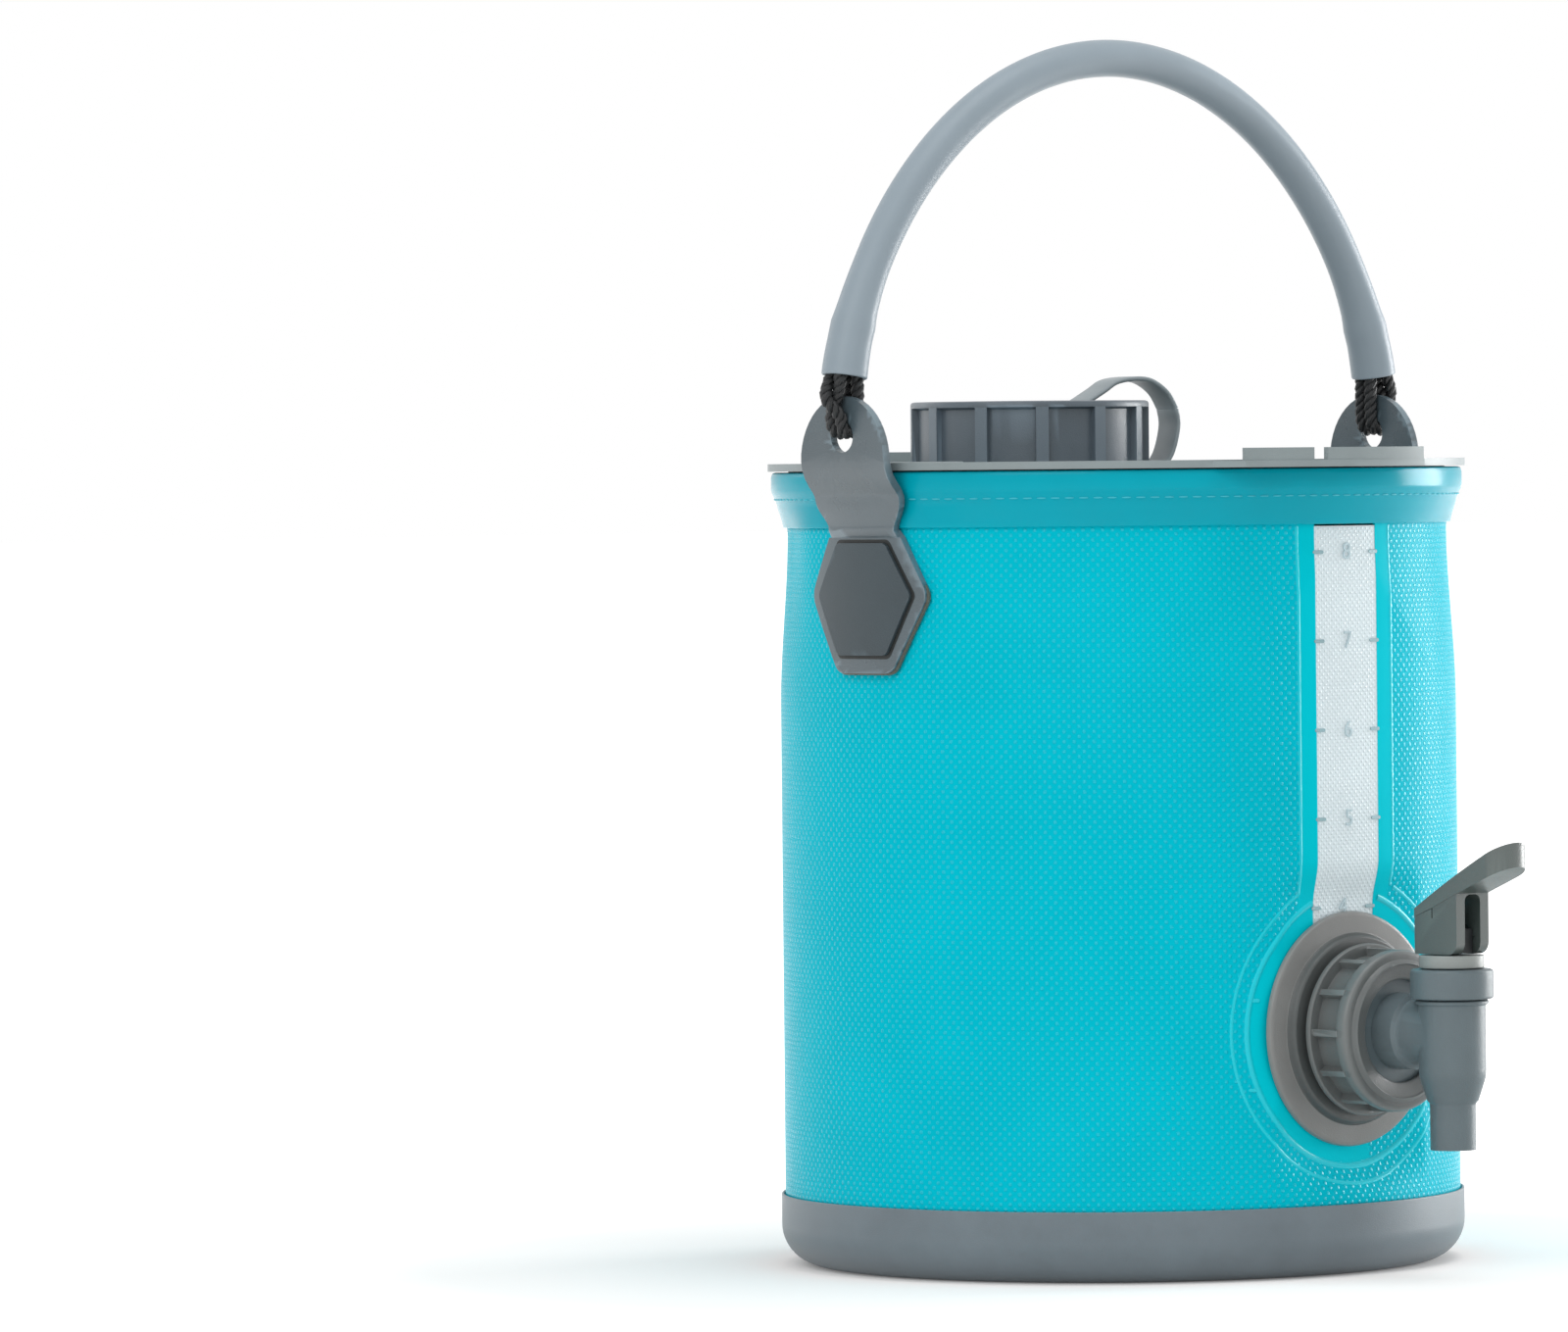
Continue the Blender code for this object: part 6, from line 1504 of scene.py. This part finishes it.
pin_profile = [
    (0, PIN_HEAD_TOP),
    (0.0030, PIN_HEAD_TOP - 0.00003),
    (0.0048, PIN_HEAD_TOP - 0.00075),
    (PIN_HEAD_RADIUS, PIN_HEAD_TOP - 0.00165),
    (PIN_HEAD_RADIUS, PIN_HEAD_BOTTOM),
    (PIN_RADIUS, PIN_HEAD_BOTTOM),
    (PIN_RADIUS, PIN_FOOT_TOP),
    (PIN_FOOT_RADIUS, PIN_FOOT_TOP),
    (PIN_RADIUS, PIN_FOOT_BOTTOM),
    (0, PIN_FOOT_BOTTOM),
]
ring_profile = [
    (NECK_RADIUS + EDGE + TETHER_RING_WIDTH, TETHER_RING_TOP),
    (NECK_RADIUS + EDGE + TETHER_RING_WIDTH, TETHER_RING_BOTTOM),
    (NECK_RADIUS + EDGE, TETHER_RING_BOTTOM),
    (NECK_RADIUS + EDGE, TETHER_RING_TOP),
]


def box(low, high):
    shape = bmesh.new()
    bmesh.ops.create_cube(shape, size=1)
    size = Vector(high) - Vector(low)
    bmesh.ops.scale(shape, vec=size, verts=shape.verts)
    bmesh.ops.translate(shape, vec=(Vector(high) + Vector(low)) / 2, verts=shape.verts)
    return shape


def ring_of_boxes(low, high, count, place):
    """Equal boxes spaced evenly round Z, then put in place."""
    turns = [Matrix.Rotation(math.tau * i / count, 4, "Z") for i in range(count)]
    return [placed(box(low, high), place @ turn) for turn in turns]


cap_ribs = ring_of_boxes(
    (CAP_RADIUS - CAP_WALL / 2, -CAP_RIB_WIDTH / 2, CAP_BOTTOM + EDGE),
    (CAP_BAND_RADIUS, CAP_RIB_WIDTH / 2, CAP_RIB_TOP), CAP_RIBS, neck_place,
)
cap_shape = combined(spun(cap_profile, 144, closed=True, place=neck_place), cap_ribs)
fitted(
    "ribbed_cap", cap_shape, "cap", cap_plastic, "grey_plastic", ["screw_cap"],
    edge=0.0005, angle=30, segments=3,
)
pin_shape = spun(pin_profile, 64, place=neck_place)
fitted("tether_rivet", pin_shape, "pin", cap_plastic, "grey_plastic", ["cap_pin"], edge=0.0002)

tether_rubber = moulded("tether rubber", linear(138, 148, 152), 0.42, mottle=0.06, edge_wear_and_highlight=0.5)
cap_centre = lid_turn @ Vector((0, NECK_OFFSET, 0))
tether_place = Matrix.Translation(cap_centre) @ Matrix.Rotation(TETHER_HEADING, 4, "Z")
ring_shape = spun(ring_profile, 96, closed=True, place=tether_place)
fitted("tether_ring", ring_shape, "lid", tether_rubber, "grey_rubber", ["cap_tether"])

eye_level = CAP_DISH + EDGE + TETHER_THICKNESS / 2
ring_level = (TETHER_RING_BOTTOM + TETHER_RING_TOP) / 2
tether_path = [Vector((NECK_RADIUS + EDGE + TETHER_RING_WIDTH / 2, 0, ring_level))]
tether_path += [Vector((a * TETHER_REACH, 0, ring_level + b * TETHER_RISE)) for a, b in TETHER_SHARES]
tether_path += [Vector((a * TETHER_EYE_RADIUS, 0, eye_level + b * TETHER_THICKNESS)) for a, b in EYE_SHARES]


def strap(points):
    """A flat strap with rounded edges along a line in X and Z."""
    shape = bmesh.new()
    line = smoothed(points)
    section = obround(TETHER_WIDTH, TETHER_THICKNESS, 5)
    rings = []
    for i, point in enumerate(line):
        up = heading(line, i).cross(ACROSS).normalized()
        rings.append([shape.verts.new(point + Vector((0, y, 0)) + up * z) for y, z in section])
    for first, second in zip(rings, rings[1:]):
        for j in range(len(section)):
            k = (j + 1) % len(section)
            shape.faces.new((first[j], first[k], second[k], second[j]))
    shape.faces.new(rings[0])
    shape.faces.new(rings[-1])
    bmesh.ops.recalc_face_normals(shape, faces=shape.faces)
    return placed(shape, tether_place)


outer_shape = strap(tether_path[:TETHER_SPLIT + 1])
inner_shape = strap(tether_path[TETHER_SPLIT:])
outer_strap = fitted("tether_loop", outer_shape, "lid", tether_rubber, "grey_rubber", edge=0)
inner_strap = fitted("tether_end", inner_shape, "pin", tether_rubber, "grey_rubber", edge=0)
for part, first, second, start, end in (
    (outer_strap, "lid", "seal", tether_path[TETHER_FOOT], tether_path[TETHER_SPLIT]),
    (inner_strap, "seal", "pin", tether_path[TETHER_SPLIT], tether_path[TETHER_TOP]),
):
    part.parent = None
    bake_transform(part, first, second, start=tether_place @ start, end=tether_place @ end)

eye = combined(
    rod(TETHER_EYE_RADIUS, TETHER_EYE_BOTTOM, TETHER_EYE_TOP, neck_place, 64),
    cut=[rod(PIN_HOLE, TETHER_EYE_BOTTOM - OVERRUN, TETHER_EYE_TOP + OVERRUN, neck_place, 48)],
)
fitted("tether_eye", eye, "pin", tether_rubber, "grey_rubber")


# Port on the wall

# A warm grey moulding: a broad flange on the fabric, a darker raised step, and a threaded neck. Inside the
# bucket a gasket and a hexagonal nut clamp it.

PORT_FLANGE_RADIUS = 0.0365
PORT_FLANGE_BACK = 0.1018
PORT_STEP_RADIUS = 0.0295
PORT_STEP_BACK = 0.1044
PORT_STEP_FRONT = 0.1070
PORT_NECK_RADIUS = 0.0200
PORT_NECK_FRONT = 0.1190
PORT_SLEEVE_RADIUS = 0.0207
PORT_SLEEVE_BACK = 0.0905
PORT_BORE = 0.0165

port_place = Matrix.Translation((0, 0, PORT_HEIGHT)) @ Matrix.Rotation(math.radians(90), 4, "X")
port_plastic = moulded("port plastic", linear(128, 129, 128), 0.32, mottle=0.08, edge_wear_and_highlight=0.8)
port_profile = [
    (PORT_NECK_RADIUS, PORT_NECK_FRONT),
    (PORT_NECK_RADIUS, PORT_STEP_FRONT + 0.0003),
    (0.0228, PORT_STEP_FRONT),
    (PORT_STEP_RADIUS - 0.0011, PORT_STEP_FRONT),
    (PORT_STEP_RADIUS - 0.0004, 0.1064),
    (PORT_STEP_RADIUS, 0.1052),
    (PORT_STEP_RADIUS + 0.0004, PORT_STEP_BACK),
    (PORT_FLANGE_RADIUS - 0.0015, 0.1040),
    (PORT_FLANGE_RADIUS - 0.0003, 0.1035),
    (PORT_FLANGE_RADIUS, 0.1026),
    (PORT_FLANGE_RADIUS, PORT_FLANGE_BACK),
    (PORT_SLEEVE_RADIUS, PORT_FLANGE_BACK),
    (PORT_SLEEVE_RADIUS, PORT_SLEEVE_BACK),
    (PORT_BORE, PORT_SLEEVE_BACK),
    (PORT_BORE, PORT_NECK_FRONT),
]
port_shape = spun(port_profile, 144, closed=True, place=port_place)
port = fitted("port", port_shape, "base", port_plastic, "warm_plastic", ["port_fitting"])
port.data.materials.append(moulded("port step", linear(80, 84, 84), 0.36, mottle=0.08, edge_wear_and_highlight=0.5))
for face in port.data.polygons:
    if -face.center.y > PORT_STEP_BACK:
        face.material_index = 1

dress("port_nut", moulded("dark plastic", linear(70, 78, 84), 0.45))


# Ribbed nut

# The nut that holds the tap has a back flange, twelve ribs with pockets between them, a heavy front rim and
# an inner ring round its mouth, in the same warm grey.

NUT_RADIUS = 0.0250
NUT_RIM_BACK = 0.1202
NUT_RIM_FRONT = 0.1248
NUT_BARREL_RADIUS = 0.0228
NUT_FLANGE_RADIUS = 0.0267
NUT_FLANGE_BACK = 0.1090
NUT_FLANGE_FRONT = 0.1110
NUT_BORE = 0.0203
NUT_INNER_FACE = 0.1233
NUT_MOUTH_RADIUS = 0.0160
NUT_FRONT = 0.1262
NUT_RIBS = 12
NUT_RIB_WIDTH = 0.0020
NUT_RIB_ROOT = 0.0215

nut_plastic = moulded("nut plastic", linear(102, 106, 106), 0.32, mottle=0.08, edge_wear_and_highlight=1.1)
nut_profile = [
    (0.0205, NUT_FRONT - 0.0005),
    (0.0208, NUT_FRONT),
    (0.0214, NUT_FRONT - 0.0003),
    (0.0222, NUT_RIM_FRONT + 0.0001),
    (NUT_RADIUS - 0.0014, NUT_RIM_FRONT),
    (NUT_RADIUS - 0.0005, NUT_RIM_FRONT - 0.0005),
    (NUT_RADIUS, NUT_RIM_FRONT - 0.0014),
    (NUT_RADIUS, NUT_RIM_BACK + 0.0010),
    (NUT_RADIUS - 0.0003, NUT_RIM_BACK + 0.0002),
    (NUT_BARREL_RADIUS, NUT_RIM_BACK),
    (NUT_BARREL_RADIUS, NUT_FLANGE_FRONT),
    (NUT_FLANGE_RADIUS - 0.0005, NUT_FLANGE_FRONT),
    (NUT_FLANGE_RADIUS, NUT_FLANGE_FRONT - 0.0005),
    (NUT_FLANGE_RADIUS, NUT_FLANGE_BACK + 0.0005),
    (NUT_FLANGE_RADIUS - 0.0005, NUT_FLANGE_BACK),
    (NUT_BORE, NUT_FLANGE_BACK),
    (NUT_BORE, NUT_INNER_FACE),
    (NUT_MOUTH_RADIUS, NUT_INNER_FACE),
    (NUT_MOUTH_RADIUS, NUT_FRONT - 0.0017),
    (NUT_MOUTH_RADIUS + 0.0008, NUT_FRONT - 0.0010),
]
nut_ribs = ring_of_boxes(
    (NUT_RIB_ROOT, -NUT_RIB_WIDTH / 2, NUT_FLANGE_FRONT - 0.0010),
    (NUT_RADIUS + 0.0002, NUT_RIB_WIDTH / 2, NUT_RIM_BACK + 0.0011), NUT_RIBS, port_place,
)
nut_shape = combined(spun(nut_profile, 144, closed=True, place=port_place), nut_ribs)
fitted("ribbed_nut", nut_shape, "nut", nut_plastic, "warm_plastic", ["tap_nut"], edge=0.00035, angle=35)


# Tap body, bonnet and collar

# The tap is moulded in cool grey plastic: a stem through the nut, a round body that narrows to a nozzle, and
# a snapped-on bonnet. A paler collar stands under the lever.

TAP_DISTANCE = 0.1465
TAP_RADIUS = 0.0104
TAP_TOP = 0.0869
TAP_CONE_TOP = 0.0634
TAP_NOZZLE_TOP = 0.0549
TAP_MOUTH = 0.0407
TAP_NOZZLE_RADIUS = 0.0071
TAP_BORE = 0.0084
TAP_NOZZLE_BORE = 0.0054
STEM_RADIUS = 0.0102
STEM_COLLAR_RADIUS = 0.0118
STEM_COLLAR_FRONT = 0.1312
STEM_FLANGE_RADIUS = 0.0195
STEM_FLANGE_FRONT = 0.1230
STEM_FLANGE_BACK = 0.1213
STEM_SPIGOT_RADIUS = 0.0127
STEM_SPIGOT_BACK = 0.1153
STEM_BORE = 0.0070
STEM_BORE_BACK = 0.1120
BONNET_RADIUS = 0.0129
BONNET_TOP = 0.0964
BONNET_BOTTOM = 0.0872
BONNET_BORE = 0.0021
BONNET_PLUG_RADIUS = 0.0081
BONNET_PLUG_BOTTOM = 0.0842
COLLAR_RADIUS = 0.0101
COLLAR_TOP = 0.1007
COLLAR_BOTTOM = 0.0967

tap_place = Matrix.Translation((0, -TAP_DISTANCE, 0))
tap_plastic = moulded("tap plastic", linear(98, 111, 116), 0.38, mottle=0.10, edge_wear_and_highlight=0.1)
pale_plastic = moulded("pale plastic", linear(146, 152, 150), 0.35, mottle=0.06, edge_wear_and_highlight=0.3)
body_profile = [
    (0, TAP_TOP),
    (TAP_RADIUS + 0.0004, TAP_TOP),
    (TAP_RADIUS + 0.0009, TAP_TOP - 0.0004),
    (TAP_RADIUS + 0.0009, TAP_TOP - 0.0011),
    (TAP_RADIUS, TAP_TOP - 0.0017),
    (TAP_RADIUS, TAP_CONE_TOP + 0.0018),
    (TAP_RADIUS - 0.0001, TAP_CONE_TOP),
    (TAP_RADIUS - 0.0006, TAP_CONE_TOP - 0.0018),
    (TAP_NOZZLE_RADIUS + 0.0009, TAP_NOZZLE_TOP + 0.0011),
    (TAP_NOZZLE_RADIUS + 0.0002, TAP_NOZZLE_TOP + 0.0003),
    (TAP_NOZZLE_RADIUS, TAP_NOZZLE_TOP - 0.0003),
    (TAP_NOZZLE_RADIUS, TAP_MOUTH + 0.0002),
    (TAP_NOZZLE_RADIUS - 0.0001, TAP_MOUTH),
    (0, TAP_MOUTH),
]
stem_profile = [
    (0, TAP_DISTANCE),
    (STEM_RADIUS, TAP_DISTANCE),
    (STEM_RADIUS, STEM_COLLAR_FRONT + 0.0023),
    (STEM_RADIUS + 0.0004, STEM_COLLAR_FRONT + 0.0010),
    (STEM_COLLAR_RADIUS, STEM_COLLAR_FRONT),
    (STEM_COLLAR_RADIUS, STEM_FLANGE_FRONT),
    (STEM_FLANGE_RADIUS, STEM_FLANGE_FRONT),
    (STEM_FLANGE_RADIUS, STEM_FLANGE_BACK),
    (STEM_SPIGOT_RADIUS, STEM_FLANGE_BACK),
    (STEM_SPIGOT_RADIUS, STEM_SPIGOT_BACK),
    (0, STEM_SPIGOT_BACK),
]
tap_hollow = [
    (0, TAP_TOP + OVERRUN),
    (TAP_BORE, TAP_TOP + OVERRUN),
    (TAP_BORE, TAP_CONE_TOP),
    (TAP_NOZZLE_BORE, TAP_NOZZLE_TOP),
    (TAP_NOZZLE_BORE, TAP_MOUTH - OVERRUN),
    (0, TAP_MOUTH - OVERRUN),
]
bonnet_profile = [
    (BONNET_BORE, BONNET_TOP),
    (BONNET_RADIUS - 0.0010, BONNET_TOP),
    (BONNET_RADIUS - 0.0003, BONNET_TOP - 0.0003),
    (BONNET_RADIUS, BONNET_TOP - 0.0010),
    (BONNET_RADIUS, BONNET_BOTTOM + 0.0008),
    (BONNET_RADIUS - 0.0002, BONNET_BOTTOM + 0.0002),
    (BONNET_RADIUS - 0.0008, BONNET_BOTTOM),
    (BONNET_PLUG_RADIUS, BONNET_BOTTOM),
    (BONNET_PLUG_RADIUS, BONNET_PLUG_BOTTOM),
    (BONNET_BORE, BONNET_PLUG_BOTTOM),
]
collar_profile = [
    (BONNET_BORE, COLLAR_TOP),
    (COLLAR_RADIUS, COLLAR_TOP),
    (COLLAR_RADIUS, COLLAR_BOTTOM),
    (BONNET_BORE, COLLAR_BOTTOM),
]

tap_shape = combined(
    spun(body_profile, 96, place=tap_place),
    [spun(stem_profile, 96, place=port_place)],
    [spun(tap_hollow, 96, place=tap_place), rod(STEM_BORE, STEM_BORE_BACK, TAP_DISTANCE, port_place)],
)
fitted(
    "tap_moulding", tap_shape, "tap", tap_plastic, "tap_plastic", ["tap_body"],
    edge=0.0004, angle=25, segments=3,
)
bonnet_shape = spun(bonnet_profile, 96, closed=True, place=tap_place)
fitted("bonnet", bonnet_shape, "tap", tap_plastic, "tap_plastic", ["tap_bonnet"], edge=0.0002)
collar_shape = spun(collar_profile, 96, closed=True, place=tap_place)
fitted("collar", collar_shape, "tap", pale_plastic, "pale_plastic", ["tap_collar"], edge=0.0004)


# Lever and valve stem

# The lever is a dark moulding: two cheeks round a slot, and a paddle that curves up and out. A steel pin goes
# through both cheeks and the head of the stem, which lifts a soft cup off the nozzle.

LEVER_BOTTOM = 0.1010
LEVER_HEEL = 0.1376
LEVER_TOE = 0.1556
LEVER_TIP = 0.1752
PADDLE_HALF_WIDTH = 0.00725
PADDLE_TIP_TOP = 0.1358
PADDLE_TIP_BOTTOM = 0.1282
TIP_ROUND = 0.0070
TIP_CUT_LOW = 0.1150
TIP_CUT_HIGH = 0.1400
CHEEK_HALF_WIDTH = 0.00710
CHEEK_TOE_ROUND = 0.0038
SLOT_HALF = 0.0034
SLOT_BACK = 0.1396
SLOT_FRONT = LEVER_TOE + 0.0044
SLOT_LOW = 0.0980
SLOT_TOP = 0.1195
SLOT_ROUND = 0.0022
NICK_PLACE = 0.1451
NICK_HALF_WIDTH = 0.0002
NICK_DEPTH = 0.0006
NICK_LOW = 0.1122
NICK_HIGH = 0.1152

lever_plastic = moulded("lever plastic", linear(72, 82, 80), 0.30, mottle=0.10, edge_wear_and_highlight=0.3, gloss=0.8)


def bezier_line(a, b, c, d, steps):
    points = []
    for i in range(steps + 1):
        t = i / steps
        shares = ((1 - t) ** 3, 3 * (1 - t) ** 2 * t, 3 * (1 - t) * t * t, t**3)
        points.append(tuple(sum(share * end[k] for share, end in zip(shares, (a, b, c, d))) for k in (0, 1)))
    return points


paddle_outline = [(LEVER_HEEL, LEVER_BOTTOM + 0.0115)]
paddle_outline += bezier_line(
    (LEVER_HEEL, LEVER_BOTTOM + 0.0140), (0.1480, 0.1216), (0.1620, 0.1296), (LEVER_TIP, PADDLE_TIP_TOP), 16
)
paddle_outline += bezier_line(
    (LEVER_TIP, PADDLE_TIP_BOTTOM), (0.1680, 0.1244), (0.1560, 0.1204), (0.1454, 0.1154), 12
)
cheek_outline = eased_polygon(
    [(LEVER_HEEL, LEVER_BOTTOM), (LEVER_TOE, LEVER_BOTTOM), (LEVER_TOE, 0.1212), (LEVER_HEEL, 0.1130)],
    [0.0006, CHEEK_TOE_ROUND, 0, 0],
)
slot_outline = eased_polygon(
    [(-SLOT_HALF, SLOT_LOW), (SLOT_HALF, SLOT_LOW), (SLOT_HALF, SLOT_TOP), (-SLOT_HALF, SLOT_TOP)],
    [0, 0, SLOT_ROUND, SLOT_ROUND],
)

side_on = Matrix(((0, 0, 1, 0), (-1, 0, 0, 0), (0, 1, 0, 0), (0, 0, 0, 1)))
head_on = Matrix(((1, 0, 0, 0), (0, 0, -1, 0), (0, 1, 0, 0), (0, 0, 0, 1)))
lever_cuts = [flat_part(slot_outline, SLOT_BACK, SLOT_FRONT, head_on)]
for side in (-1, 1):
    middle = (side * (PADDLE_HALF_WIDTH - TIP_ROUND), -LEVER_TIP + TIP_ROUND)
    outer = side * (PADDLE_HALF_WIDTH + 0.001)
    corner = circle_points(middle, TIP_ROUND, -90, -90 + side * 90, 12)
    corner += [(outer, corner[-1][1]), (outer, -LEVER_TIP - 0.001), (corner[0][0], -LEVER_TIP - 0.001)]
    face = side * CHEEK_HALF_WIDTH
    lever_cuts.append(slab(corner, TIP_CUT_LOW, TIP_CUT_HIGH))
    lever_cuts.append(box(
        (face - NICK_DEPTH, -NICK_PLACE - NICK_HALF_WIDTH, NICK_LOW),
        (face + NICK_DEPTH, -NICK_PLACE + NICK_HALF_WIDTH, NICK_HIGH),
    ))
lever_shape = combined(
    flat_part(cheek_outline, -CHEEK_HALF_WIDTH, CHEEK_HALF_WIDTH, side_on),
    [flat_part(paddle_outline, -PADDLE_HALF_WIDTH, PADDLE_HALF_WIDTH, side_on)], lever_cuts,
)
fitted(
    "lever", lever_shape, "lever", lever_plastic, "lever_plastic", ["tap_lever"],
    edge=0.0005, angle=35, segments=3,
)

steel = moulded("steel", linear(96, 102, 102), 0.42, mottle=0.03, edge_wear_and_highlight=0.0)
steel.node_tree.nodes["Principled BSDF"].inputs["Metallic"].default_value = 1.0
dress("lever_pin", steel)
# The pale valve stem is coloured near black, as painted shade inside the lever's slot.
dress("valve_stem", moulded("stem painted shade", linear(34, 38, 40), 0.5, edge_wear_and_highlight=0.0))
